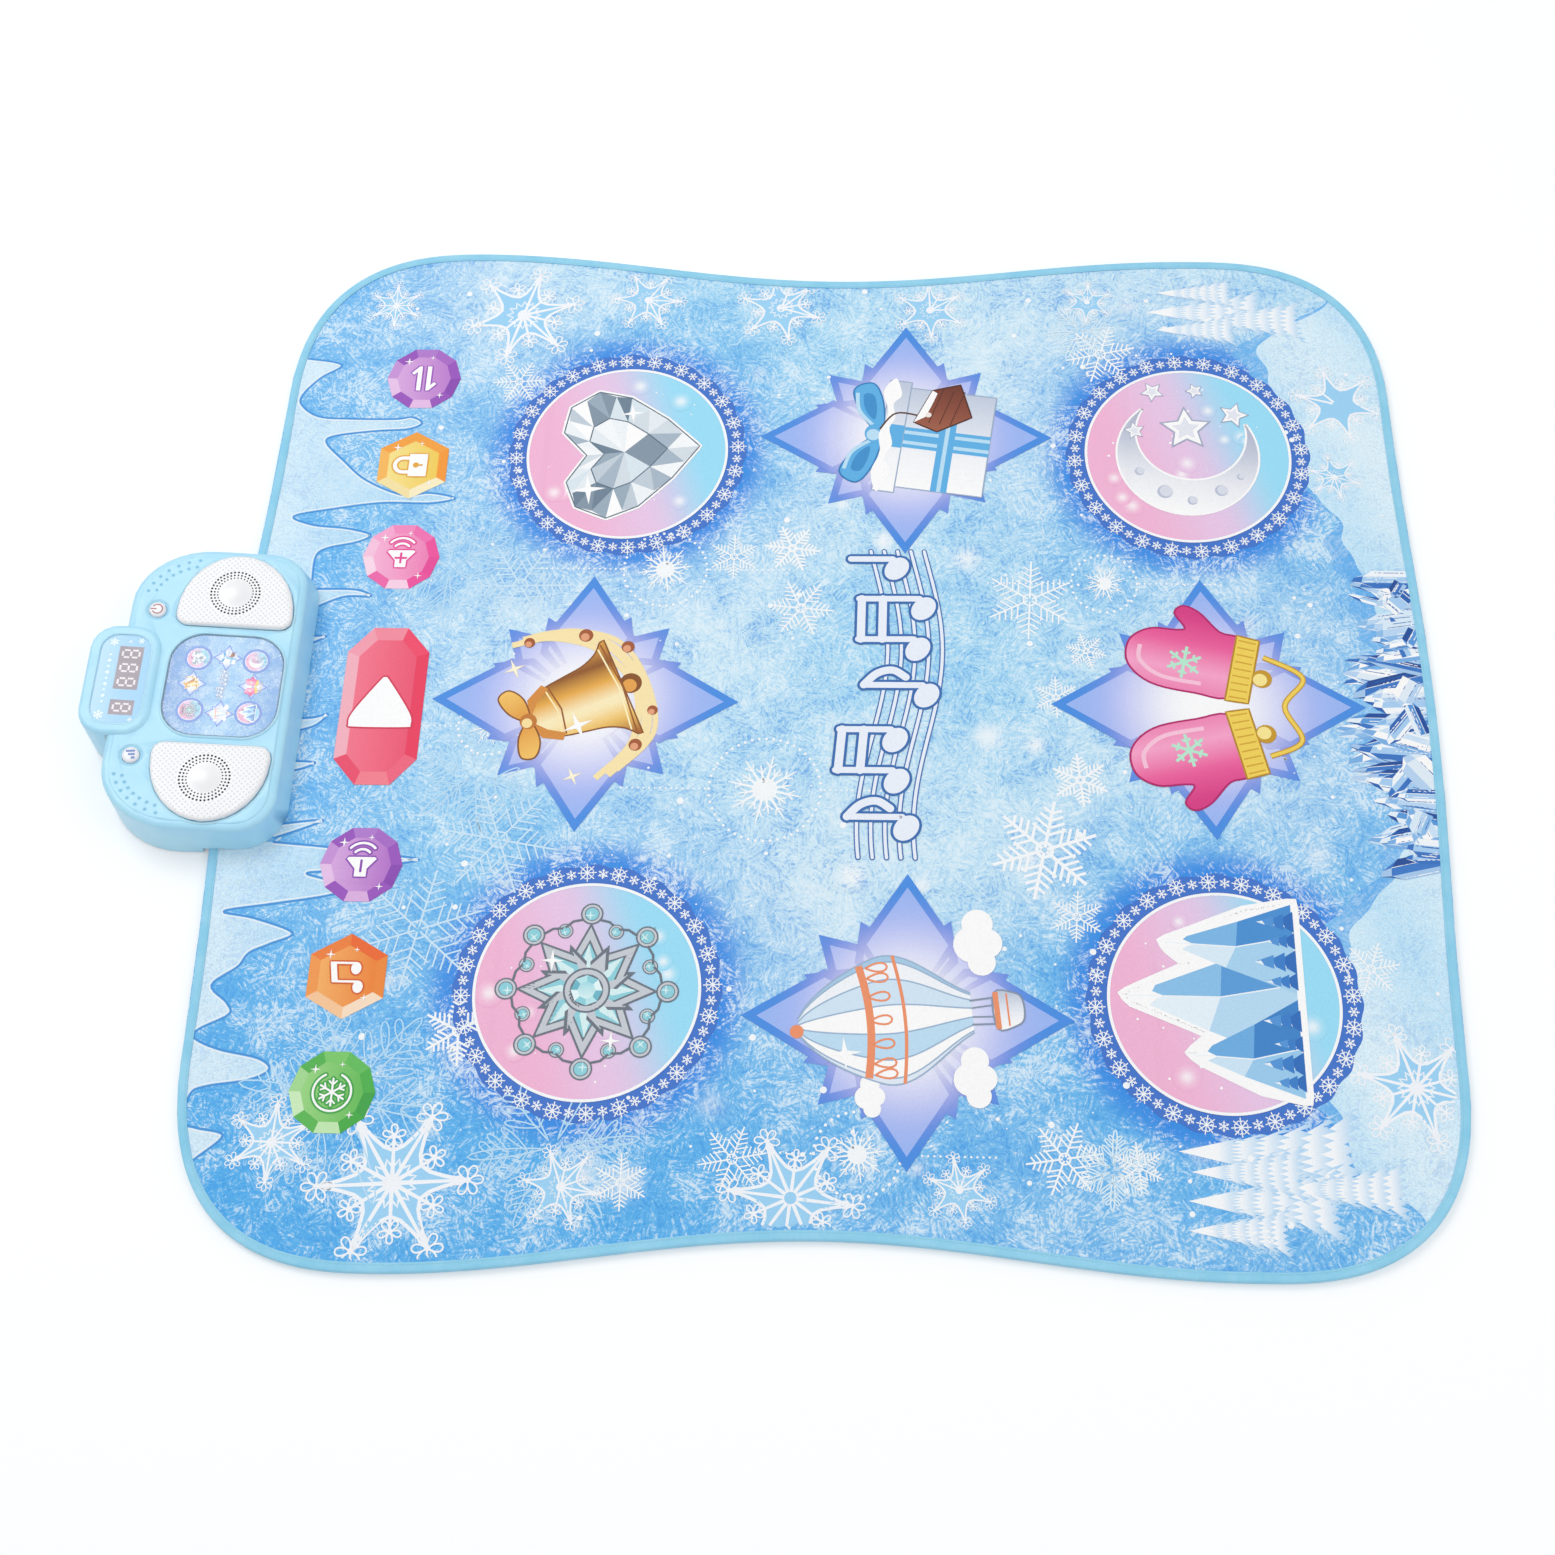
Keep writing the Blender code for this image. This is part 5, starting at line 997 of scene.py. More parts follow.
def keptInside(patches, room=0.009):
    # Leaves out triangles that would run under the binding
    kept = []
    for points, triangles, colours in patches:
        inside = edgeDistance(points[:, 0], points[:, 1]) > room
        if abs(points[:, 0]).max() > 0.43 or abs(points[:, 1]).max() > 0.37:
            inside &= withinOutline(points)
        triangles = triangles[inside[triangles].all(1)]
        if len(triangles):
            kept.append((points, triangles, colours))
    return kept


def withinOutline(points):
    # A place is inside where its angle from the middle meets the outline further out
    angle = np.arctan2(outlinePoints[:, 1], outlinePoints[:, 0])
    order = np.argsort(angle)
    reach = np.interp(np.arctan2(points[:, 1], points[:, 0]), angle[order],
                      np.linalg.norm(outlinePoints, axis=1)[order], period=2 * math.pi)
    return np.linalg.norm(points, axis=1) < reach


makeIcicles()
makeDrift()
makeShards()
makeFlakes()
print("ornament made")


# Round pads

discInks = {"rim": "#FBFDFF", "pink": "#F5B7D8", "sky": "#9CE0FA", "soft": "#EBC9EA", "ring": "#4377CF",
            "flake": "#F4F9FF"}


def discInk(centre):
    # Pink on the control unit's side, sky blue on the other, paler where they meet
    pink, sky, soft = (ink(discInks[k]) for k in ("pink", "sky", "soft"))

    def colour(x, y):
        share = ((x - centre[0]) + 0.35 * (y - centre[1])) / padPlaces["discRadius"]
        first = smoothStep(-0.75, 0.05, share)[:, None]
        second = smoothStep(-0.05, 0.75, share)[:, None]
        return (pink * (1 - first) + soft * first) * (1 - second) + sky * second
    return colour


def discGlints(centre, radius):
    # Nine soft round glints that fade into the disc's own ink, and small white specks
    under, white = discInk(centre), ink("#FFFFFF")
    patches = []
    for index in range(26):
        angle, away = chance.uniform(0, 2 * math.pi), radius * 0.86 * math.sqrt(chance.random())
        x, y = centre + away * direction(angle)
        if index > 8:
            patches.append(dot(x, y, chance.uniform(0.0004, 0.0012), white, 8))
            continue
        reach = chance.uniform(0.006, 0.011)

        def colour(px, py):
            light = 0.75 * np.exp(-(np.hypot(px - x, py - y) / (0.5 * reach)) ** 2)
            return under(px, py) + (white - under(px, py)) * light[:, None]
        patches.append(dot(x, y, reach, colour, 20, 0.0015))
    return patches


def makeDiscs():
    # Each disc: a wavy edged blue ring, large and small snow crystals in it by turns, a face and a rim
    radius, halo = padPlaces["discRadius"], padPlaces["haloRadius"]
    for name, centre in zip(("far_left", "far_right", "near_left", "near_right"), discCentres):
        ring = ringPoints(centre, radius, 144)
        turn = np.arctan2(ring[:, 1] - centre[1], ring[:, 0] - centre[0])
        wavy = centre + (ring - centre) * ((halo - 0.0012 + 0.0012 * np.cos(24 * turn)) / radius)[:, None]
        printOnCloth("disc_ring_" + name, [band(ring, wavy, discInks["ring"], 4)], 1)
        flakes = []
        for index in range(24):
            angle = 2 * math.pi * (index + 0.25) / 24
            for size, arms, width, out in ((0.0070, 8, 0.00085, 0.0083), (0.0040, 6, 0.0008, 0.0077)):
                flake = smallFlake(size, arms, width, discInks["flake"])
                flakes += placed(flake, centre + (radius + out) * direction(angle), angle)
                angle += math.pi / 24
        printOnCloth("disc_flakes_" + name, flakes, 2)
        printOnCloth("disc_face_" + name, [dot(*centre, radius, discInk(centre), 144, 0.004)], 2)
        printOnCloth("disc_glints_" + name, discGlints(centre, radius), 2.6)
        rim = band(ringPoints(centre, radius - 0.0022, 144), ring, discInks["rim"])
        printOnCloth("disc_rim_" + name, [rim], 3)


# Pointed pads

starShape = {"longX": 0.118, "longY": 0.110, "longWidth": 0.036, "rim": 0.0058, "glowReach": 0.082,
             "rimInk": "#4A90E6", "rimSoft": "#8E97E8", "faceInk": "#9DB9F6", "faceSoft": "#BCC3F8",
             "glow": "#FFFFFF",
             # degrees from a long point, length, half width and widest place of the short points
             "shortPoints": {"middle": (46, 0.089, 0.020, 0.62), "first": (25, 0.080, 0.017, 0.66),
                             "second": (67, 0.080, 0.017, 0.66)}}


def kite(length, width, waist, inset=0.0):
    # A long diamond from the middle: its widest place is at waist of its length
    slant = width / (length * (1 - waist))
    tip = inset * math.sqrt(1 + 1 / slant ** 2)
    return np.array([(length - tip, 0), (length * waist, width - inset * 1.15), (0.006, 0),
                     (length * waist, inset * 1.15 - width)])


def starInk(centre, edge, soft):
    # Strong blue at the points, lilac nearer in, and a white glow in the middle
    first, second, glow = ink(edge), ink(soft), ink(starShape["glow"])
    reach = starShape["glowReach"]

    def colour(x, y):
        away = np.hypot(x - centre[0], y - centre[1])
        out = smoothStep(0.05, 0.10, away)[:, None]
        white = (0.97 * smoothStep(reach, reach * 0.16, away))[:, None]
        return (second + (first - second) * out) * (1 - white) + glow * white
    return colour


def makeStars():
    # Four sets of four points, the long ones last and on top, each point with a rim and a paler face
    s = starShape
    sets = [(part, [(degrees + 90 * quarter, *size) for quarter in range(4)])
            for part, (degrees, *size) in s["shortPoints"].items()]
    sets.append(("long", [(90 * quarter, s["longX"] if quarter % 2 == 0 else s["longY"], s["longWidth"], 0.50)
                          for quarter in range(4)]))
    for name in starNames:
        centre = np.array(padPlaces[name])
        label = name.replace("star", "star_").lower()
        face = starInk(centre, s["faceInk"], s["faceSoft"])
        inks = (("rim", 0.0, starInk(centre, s["rimInk"], s["rimSoft"])), ("face", s["rim"], face))
        for index, (part, points) in enumerate(sets):
            for lift, (kind, inset, colour) in enumerate(inks):
                patches = []
                for degrees, length, width, waist in points:
                    blank = fan(kite(length, width, waist, inset), "#FFFFFF", (length * waist, 0))
                    patches += placed([blank], centre, math.radians(degrees))
                patches = [(p, t, colour(p[:, 0], p[:, 1])) for p, t, _ in patches]
                printOnCloth(f"{label}_{part}_{kind}", patches, 1.0 + 0.4 * index + 0.2 * lift)
        printOnCloth(f"{label}_glow", [dot(*centre, 0.036, face, 64, 0.004)], 2.7)


# Gem keys

def gemFacets(outer, inner, inks, tableInks):
    # Flat facets between two outlines with as many corners, each its own ink, round a glowing table
    patches = []
    count = len(outer)
    for index in range(count):
        after = (index + 1) % count
        patches.append(fan([inner[index], outer[index], outer[after], inner[after]], inks[index % len(inks)]))
    low = inner[:, 0].min()
    patches.append(fan(inner, across(low, low + np.ptp(inner[:, 0]), *tableInks), inner.mean(0)))
    return patches


gemShapes = {
    # corners, first corner in degrees, outer and table radius
    "round": (10, 0, 0.0310, 0.0225),
    "long": (6, 30, 0.0325, 0.0235),
}
gemLooks = {
    # row, shape, facet inks from the far side round, table inks
    "play": (3, "round",
             ("#9A54BE", "#A96AC8", "#B27BCF", "#9A54BE", "#C893D8", "#E9C2EA", "#9A54BE", "#E7BDE8",
              "#9A54BE", "#8C48B4"), ("#D9A9E2", "#BD7CCF")),
    "lock": (2, "long", ("#F6A23C", "#F6A23C", "#F9B95A", "#F7E3A6", "#FBEFC6", "#F79A34"),
             ("#F9E48E", "#F3CE55")),
    "volume_up": (1, "round", ("#EF4F9F", "#F172B3", "#F58BC1", "#F9A9D2", "#F9C4E0", "#FBD8EA", "#EF67AB",
                               "#FAD1E7", "#EF4F9F", "#E9479A"), ("#F9B4D8", "#F07FB7")),
    "volume_down": (-1, "round", ("#9A54BE", "#A96AC8", "#B27BCF", "#9A54BE", "#C893D8", "#E9C2EA", "#9A54BE",
                                  "#DDB0E2", "#9A54BE", "#8C48B4"), ("#D9A9E2", "#B571CA")),
    "game": (-2, "long", ("#EE6A2C", "#F0813A", "#F49A4E", "#F9C79A", "#FBE0C4", "#F08A3A"),
             ("#F7B063", "#F08432")),
    "music": (-3, "round",
              ("#4DB34C", "#63BF5C", "#7CCB6B", "#55B551", "#A5DB94", "#CDEFBF", "#5DB955", "#C4EAB4",
               "#46AD46", "#3FA648"), ("#9BD884", "#63BD57")),
}
startKey = {
    # one quarter of the outer and the table outline in mm, and the inks
    "outer": mm((32, 46), (13.5, 67.5)), "table": mm((22.5, 42), (10, 56.5)),
    "inks": ("#F2486A", "#F58CA0", "#F7A0B1", "#F8B3C0", "#EE4C6C", "#F6808F", "#F26480", "#EC3A5E"),
    "tableInks": ("#F7768E", "#EE5574"),
}


def keyPlace(row):
    # Rows count from the middle of the column, up to the far end and down to the near one
    along = math.copysign(padPlaces["keyRows"][abs(row) - 1], row) if row else 0.0
    return np.array([padPlaces["keyX"], padPlaces["keyMiddle"] + along])


def makeKeys():
    # Six round or long gems, and the start key: one quarter of its outline, mirrored and turned half round
    for name, (row, shape, inks, tableInks) in gemLooks.items():
        corners, first, outer, table = gemShapes[shape]
        outlines = [ringPoints(keyPlace(row), radius, corners, math.radians(first))
                    for radius in (outer, table)]
        printOnCloth("key_" + name, gemFacets(*outlines, inks, tableInks), 2)
    outlines = []
    for name in ("outer", "table"):
        half = np.concatenate([startKey[name], startKey[name][::-1] * (-1, 1)])
        outlines.append(keyPlace(0) + np.concatenate([half, -half]))
    printOnCloth("key_start", gemFacets(*outlines, startKey["inks"], startKey["tableInks"]), 2)


makeDiscs()
makeStars()
makeKeys()
print("pads and keys printed")


# Signs on the gem keys, drawn with right to +X and up to +Y and then turned to face the far side.
# A shape is its kind, its points and its line width; each sign has white shapes and inked marks.

upwards = math.pi / 2


def grown(shapes, room, colour):
    # The same shapes, wider all round by room, in one ink: laid below them they give an outline
    patches = []
    for kind, points, width in shapes:
        if kind == "line":
            patches += rod(points, width + 2 * room, colour)
        else:
            patches.append(filled(points, colour))
            if room:
                patches.append(stroke(points, 2 * room, colour, closed=True))
    return patches


def speakerSign(sign):
    # A loudspeaker cone with two arcs of sound, and a plus or a minus in the cone
    cone = mm((-7, -3.2), (-2.5, -3.2), (3.2, -8), (4.2, -7), (4.2, 7), (3.2, 8), (-2.5, 3.2), (-7, 3.2))
    sound = [("line", arc(0.0035, 0, reach, -48, 48), 0.0014) for reach in (0.0052, 0.0088)]
    marks = [("line", mm((-4.0, 0), (2.2, 0)), 0.0013)]
    if sign > 0:
        marks.append(("line", mm((-0.9, -3.1), (-0.9, 3.1)), 0.0013))
    return [("area", cone, 0)] + sound, marks


def padlockSign():
    # A shackle of half a circle over a plain body with a keyhole
    shackle = np.concatenate([mm((-5, 2)), arc(0, 0.006, 0.005, 180, 0), mm((5, 2))])
    shapes = [("area", mm((-8, -8.5), (8, -8.5), (8, 2.5), (-8, 2.5)), 0), ("line", shackle, 0.0024)]
    keyhole = [("area", ringPoints((0, -0.0018), 0.0019, 12), 0), ("line", mm((0, -2.0), (0, -5.5)), 0.0012)]
    return shapes, keyhole


def swapSign():
    # Two bars with half arrowheads that point opposite ways
    bar = mm((-9, 1.6), (9, 1.6), (9, 3.4), (4.2, 8.0), (2.6, 6.6), (5.0, 4.3), (-9, 4.3))
    return [("area", bar, 0), ("area", -bar, 0)], []


def noteSign():
    # Beamed quavers
    heads = [("area", ringPoints(place, 0.0036, 18, stretch=0.8), 0)
             for place in mm((-6.2, -6.8), (4.6, -4.8))]
    stems = [("line", mm((-3.2, -6.5), (-3.2, 7.0)), 0.0013), ("line", mm((7.6, -4.5), (7.6, 9.0)), 0.0013)]
    return heads + stems + [("area", mm((-3.8, 4.6), (8.2, 6.6), (8.2, 10.0), (-3.8, 8.0)), 0)], []


def snowSign():
    # A six armed snow crystal inside an open ring
    shapes = [("line", arc(0, 0, 0.0105, 25, 335, 30), 0.0012)]
    for arm in range(6):
        out = direction(arm * math.pi / 3)
        shapes.append(("line", [out * 0, out * 0.0075], 0.0011))
        for sign in (-1, 1):
            shapes.append(("line", [out * 0.0042, out * 0.0062 + leftOf(out) * sign * 0.0021], 0.0009))
    return shapes, []


def triangleSign():
    # The round cornered triangle that means start, on the long red key
    corners = mm((-11, -16), (-4, -14.5), (14, -2.5), (16, 0), (14, 2.5), (-4, 14.5), (-11, 16), (-12.5, 13),
                 (-12.5, -13))
    return [("area", curved(corners, 5), 0)], []


signLooks = {
    # the drawing, its row on the column, its outline ink and its size
    "play": (swapSign(), 3, "#9A54BE", 1.35), "lock": (padlockSign(), 2, "#E9A93A", 1.35),
    "volume_up": (speakerSign(1), 1, "#E9479A", 1.40), "start": (triangleSign(), 0, "#D9395A", 1.5),
    "volume_down": (speakerSign(-1), -1, "#8C48B4", 1.40), "game": (noteSign(), -2, "#D9622A", 1.30),
    "music": (snowSign(), -3, "#3FA648", 1.30),
}


def makeSigns():
    # White shapes over wider ones in the key's ink, with inked marks, and glints on all but the start key
    for name, ((shapes, marks), row, outline, size) in signLooks.items():
        patches = grown(shapes, 0.0009, outline) + grown(shapes, 0.0, "#FFFFFF") + grown(marks, 0.0, outline)
        if name != "start":
            patches += [sparkle(0.0125, 0.0105, 0.0030), sparkle(0.0155, -0.0040, 0.0018),
                        sparkle(-0.0125, -0.0110, 0.0024)]
        patches = placed(patches, keyPlace(row), upwards, size)
        printOnCloth("sign_" + name, patches, 3.2, stack=max(16, len(patches)))


makeSigns()
print("signs made")


# Pictures on the pads: plain winter things, each a list of patches in its own frame, a later one over an
# earlier one. Corners in mm(...) are in millimetres, other numbers in metres.

def heartGem():
    # A cut crystal heart in clear and grey facets
    right = mm((0, -54), (26, -32), (48, -6), (56, 18), (44, 40), (22, 46))
    outer = np.concatenate([right, mm((0, 30)), right[:0:-1] * (-1, 1)])
    small = right[1:] * 0.56 + (0, 0.0015)
    inner = np.concatenate([mm((0, -30)), small, mm((0, 17)), small[::-1] * (-1, 1)])
    tones = ("#F8FBFD", "#C3D0DB", "#8597A8", "#E9F0F5", "#A9B9C8", "#FFFFFF", "#6F8497", "#D6E0E8",
             "#F1F6FA", "#9BADBD", "#DCE9F1")
    patches = [stroke(outer, 0.0040, "#FFFFFF", closed=True)]
    for index in range(len(outer)):
        after = (index + 1) % len(outer)
        between = (outer[index] + outer[after]) / 2 * 0.97
        facets = ((inner[index], outer[index], between), (inner[index], between, inner[after]),
                  (inner[after], between, outer[after]), ((0, 0.002), inner[index], inner[after]))
        for corners, step in zip(facets, (0, 4, 7, 2)):
            patches.append(fan(corners, tones[(index * 3 + step) % len(tones)]))
    patches += [stroke(line, 0.0009, "#5E7386", closed=True) for line in (inner, outer)]
    return patches + [sparkle(-0.030, 0.030, 0.013), sparkle(0.034, -0.006, 0.009)]


def brooch():
    # A round silver brooch with aqua stones
    silver, dark, aqua, pale = "#C9CED6", "#6E7783", "#8FD3DF", "#D9F3F5"

    def stone(x, radius):
        parts = ((1, dark), (0.86, silver), (0.66, dark), (0.58, aqua))
        return [dot(x, 0, radius * share, tone) for share, tone in parts] + [
            sparkle(x - radius * 0.15, radius * 0.15, radius * 0.5, pale)]

    leaf, small = kite(0.046, 0.0105, 0.52), kite(0.034, 0.0065, 0.55)
    petal = [fan(leaf * scale + (0.001, 0), tone, (0.024 * scale, 0))
             for tone, scale in ((dark, 1.0), (silver, 0.93), (dark, 0.74), (aqua, 0.68))]
    petal.append(fan(kite(0.030, 0.004, 0.5) + (0.002, 0.0006), pale, (0.016, 0)))
    spike = [fan(small * scale, tone, (0.018 * scale, 0)) for tone, scale in ((dark, 1.0), (silver, 0.84))]
    links = [stroke(mm((49, 5), (47.5, 12), (43, 17)) * (1, sign), 0.0016, dark) for sign in (1, -1)]
    patches = []
    for arm in range(8):
        angle = arm * math.pi / 4
        for parts, turn in ((petal, 0), (spike, math.pi / 8), (stone(0.053, 0.0075), 0),
                            (stone(0.044, 0.0052), math.pi / 8), (links, 0)):
            patches += placed(parts, (0, 0), angle + turn)
    patches += [dot(0, 0, 0.0155, dark, 32), dot(0, 0, 0.0142, silver, 32), dot(0, 0, 0.0110, dark)]
    patches += gemFacets(ringPoints((0, 0), 0.0104, 8), ringPoints((0, 0), 0.006, 8),
                         ("#BDEBF1", "#6FB9CB", "#E8FBFC", "#8FD3DF"), ("#DDF6F8", "#A4DFE8"))
    return patches + [sparkle(0.020, 0.024, 0.008), sparkle(-0.034, -0.018, 0.007)]


def moonAndStars():
    # A crescent moon, white with a lilac grey shade, and five plump stars
    outer, inner = arc(0, 0, 0.050, 48, 312, 44), arc(0.0185, 0, 0.0402, 67.6, 292.4, 44)
    shade = across(-0.050, 0.034, "#FFFFFF", "#EEF0F6", "#C9CFDF", "#AFB6CB")
    patches = [stroke(np.concatenate([outer, inner[::-1]]), 0.0030, "#FFFFFF", closed=True),
               band(outer, inner, shade, 6, closed=False)]
    for x, y, radius in mm((-34, 12, 5.5), (-38, -8, 3.6), (-26, -27, 4.6), (-20, 32, 3.4), (-12, -39, 2.6)):
        patches += [dot(x, y, radius, "#BFC6DA"), dot(x + 0.0007, y - 0.0007, radius * 0.82, "#DCE0EC")]
    stars = mm((22, 4, 17), (50, 32, 8), (40, -28, 10), (14, 40, 7), (56, 2, 6))
    for (x, y, reach), degrees in zip(stars, (12, 40, -8, 20, 30)):
        for scale, tone in ((1.16, "#A9B2C9"), (1.0, "#FFFFFF"), (0.62, "#E7EAF3")):
            far = reach * scale
            patches.append(fan(starOutline((x, y), far, far * 0.48, 5, math.radians(degrees)), tone, (x, y)))
    return patches


def icePeaks():
    # Three faceted ice mountains with snow caps and a row of firs, in a white outline
    edge = mm((-64, -48), (-58, -20), (-40, 16), (-34, 24), (-22, 10), (-2, 58), (4, 64), (10, 52), (24, 22),
              (34, 34), (40, 38), (48, 18), (62, -16), (68, -48))
    patches = edged(edge, "#FFFFFF", 0.0060, "#FFFFFF")
    mountains = (
        # top, foot to the left and right, place of the ridge's foot, and tones
        ((3, 61), -42, 46, 12, ("#E8F5FD", "#B9DDF6", "#8CC3EC", "#5C9FDC")),
        ((-35, 21), -62, 2, -30, ("#CFE8F9", "#9CCDF0", "#6FAFE4", "#3F86CC")),
        ((39, 35), 6, 66, 44, ("#DCEFFB", "#A9D5F3", "#7DB9E9", "#4A92D6")),
    )
    for top, left, right, ridge, tones in mountains:
        top, foot = np.array(top), -46
        bend = top * 0.45 + (ridge * 0.55 - 5, foot * 0.55)
        leftSide = top * 0.5 + (left * 0.5, foot * 0.5 + 3)
        rightSide = top * 0.45 + (right * 0.55, foot * 0.55 - 2)
        faces = ((top, leftSide, bend), (leftSide, (left, foot), (ridge, foot), bend), (top, bend, rightSide),
                 (bend, (ridge, foot), (right, foot), rightSide))
        patches += [fan(mm(*corners), tone) for corners, tone in zip(faces, tones)]
        cap = [top, top * 0.72 + leftSide * 0.28, top * 0.62 + bend * 0.38 + (-2, 4),
               top * 0.60 + bend * 0.40, top * 0.66 + bend * 0.34 + (3, 4), top * 0.70 + rightSide * 0.30]
        patches += [filled(mm(*cap), "#FFFFFF"), stroke(mm(top, bend, (ridge, foot)), 0.0008, "#F4FAFF")]
    for x, tall in ((-52, 20), (-40, 26), (-27, 18), (-12, 24), (14, 20), (27, 27), (41, 19), (54, 24)):
        for tier, tone in enumerate(("#2F6FBE", "#3B80CC", "#5597DA")):
            low, wide = -47 + tall * 0.26 * tier, tall * (0.30 - 0.065 * tier)
            tip = (x, low + tall * 0.46)
            patches += [fan(mm((x - wide, low), (x + wide, low), tip), tone),
                        fan(mm((x - wide * 0.5, low + tall * 0.23), tip, (x + wide * 0.2, low + tall * 0.30)),
                            "#EAF5FD")]
    return patches


def goldBell():
    # A hand bell with a bow, in polished gold tones, with a swirl of pale gold dust and copper beads
    gold = across(-0.040, 0.040, "#A8622B", "#F3C666", "#FFF4C9", "#EDB04A", "#8E5423", "#D99A45")
    dark = "#8A5120"
    patches = []
    for shift, width in ((0, 0.0080), (9, 0.0050), (-8, 0.0040)):
        path = openCurve((-64, 6 + shift), (-46, -30 + shift), (-6, -44 + shift * 0.6), (36, -34 + shift),
                         (60, -4 + shift), (66, 26 + shift), steps=8)
        patches.append(stroke(path, width, "#FBE6AE"))
    half = openCurve((0, 44), (9, 43), (17, 36), (22, 24), (25, 8), (28, -8), (34, -20), (42, -27))
    body = np.concatenate([half, mm((43, -31), (-43, -31)), half[::-1] * (-1, 1)])
    patches += [dot(0, -0.037, 0.0085, dark), dot(-0.0015, -0.0355, 0.0055, "#E8A24A"),
                *edged(body, gold, 0.0012, dark)]
    for y, wide, tone in ((-24, 37, "#FFF2C2"), (-27, 40, "#9C5C26"), (22, 21, "#9C5C26"),
                          (25, 20, "#FFEDB8")):
        patches.append(stroke(mm((-wide, y), (0, y - 3.5), (wide, y)), 0.0013, tone))
    for sign in (-1, 1):
        bow = curved(mm((0, 44), (10, 56), (26, 60), (30, 50), (18, 42)) * (sign, 1))
        tail = mm((0, 44), (12, 34), (20, 22), (25, 26), (17, 40)) * (sign, 1)
        patches += [filled(tail, "#D98E3E"),
                    *edged(bow, across(-0.03, 0.03, "#F7C766", "#E49A3E", "#F7C766"), 0.0012, dark)]
    patches += [dot(0, 0.045, 0.0065, "#C67A32"), dot(-0.001, 0.0465, 0.004, "#FCE2A0")]
    for x, y, radius in mm((-50, -22, 5.0), (52, -20, 5.5), (30, -46, 5.0), (-28, -44, 4.0), (63, 22, 4.2)):
        patches += [dot(x, y, radius, "#A65A34"), dot(x - 0.001, y + 0.0012, radius * 0.6, "#E7A27A")]
    return patches + [sparkle(-0.018, 0.012, 0.012), sparkle(0.046, 0.040, 0.009, "#FFF6D8"),
                      sparkle(-0.056, 0.030, 0.008, "#FFF6D8")]


def mittens():
    # A pair of rose mittens on a gold cord, each with a pale green snow crystal
    rose = across(-0.030, 0.034, "#F07BB0", "#F9A5CB", "#EE5F9E", "#D93D86")
    gold = "#F3D35A"
    cord = openCurve((-38, -40), (-26, -62), (0, -52), (22, -66), (38, -40), steps=8)
    patches = [stroke(cord, 0.0040, "#C99A2C"), stroke(cord, 0.0024, gold)]
    shape = curved(mm((-21, -32), (-25, -6), (-24, 24), (-12, 42), (6, 44), (18, 32), (21, 14), (24, 8),
                      (34, 17), (41, 12), (38, 0), (26, -16), (21, -32)), 5)
    hand = edged(shape, rose, 0.0014, "#B5246C")
    hand.append(stroke(openCurve((-17, -10), (-17, 18), (-8, 34), (4, 36)), 0.0030, "#FBC6DD"))
    hand += edged(mm((-25, -44), (25, -44), (26, -28), (-26, -28)), gold, 0.0013, "#B98A24")
    hand += [stroke(mm((rib * 5.5, -42), (rib * 5.6, -30)), 0.0011, "#D6A838") for rib in range(-4, 5)]
    hand += placed(smallFlake(0.0125, 6, 0.0022, "#B9EBD2"), (-0.003, 0.004))
    hand += [dot(-0.004, -0.050, 0.0070, "#C99A2C"), dot(-0.005, -0.049, 0.0048, "#FBE896")]
    for sign in (1, -1):
        mirrored = [(points * (sign, 1), triangles[:, ::sign], colours)
                    for points, triangles, colours in hand]
        patches += placed(mirrored, (0.036 * sign, 0.010), -0.22 * sign)
    return patches


def block(left, right, near, far):
    # The corners of a rectangle given in mm
    return mm((left, near), (right, near), (right, far), (left, far))


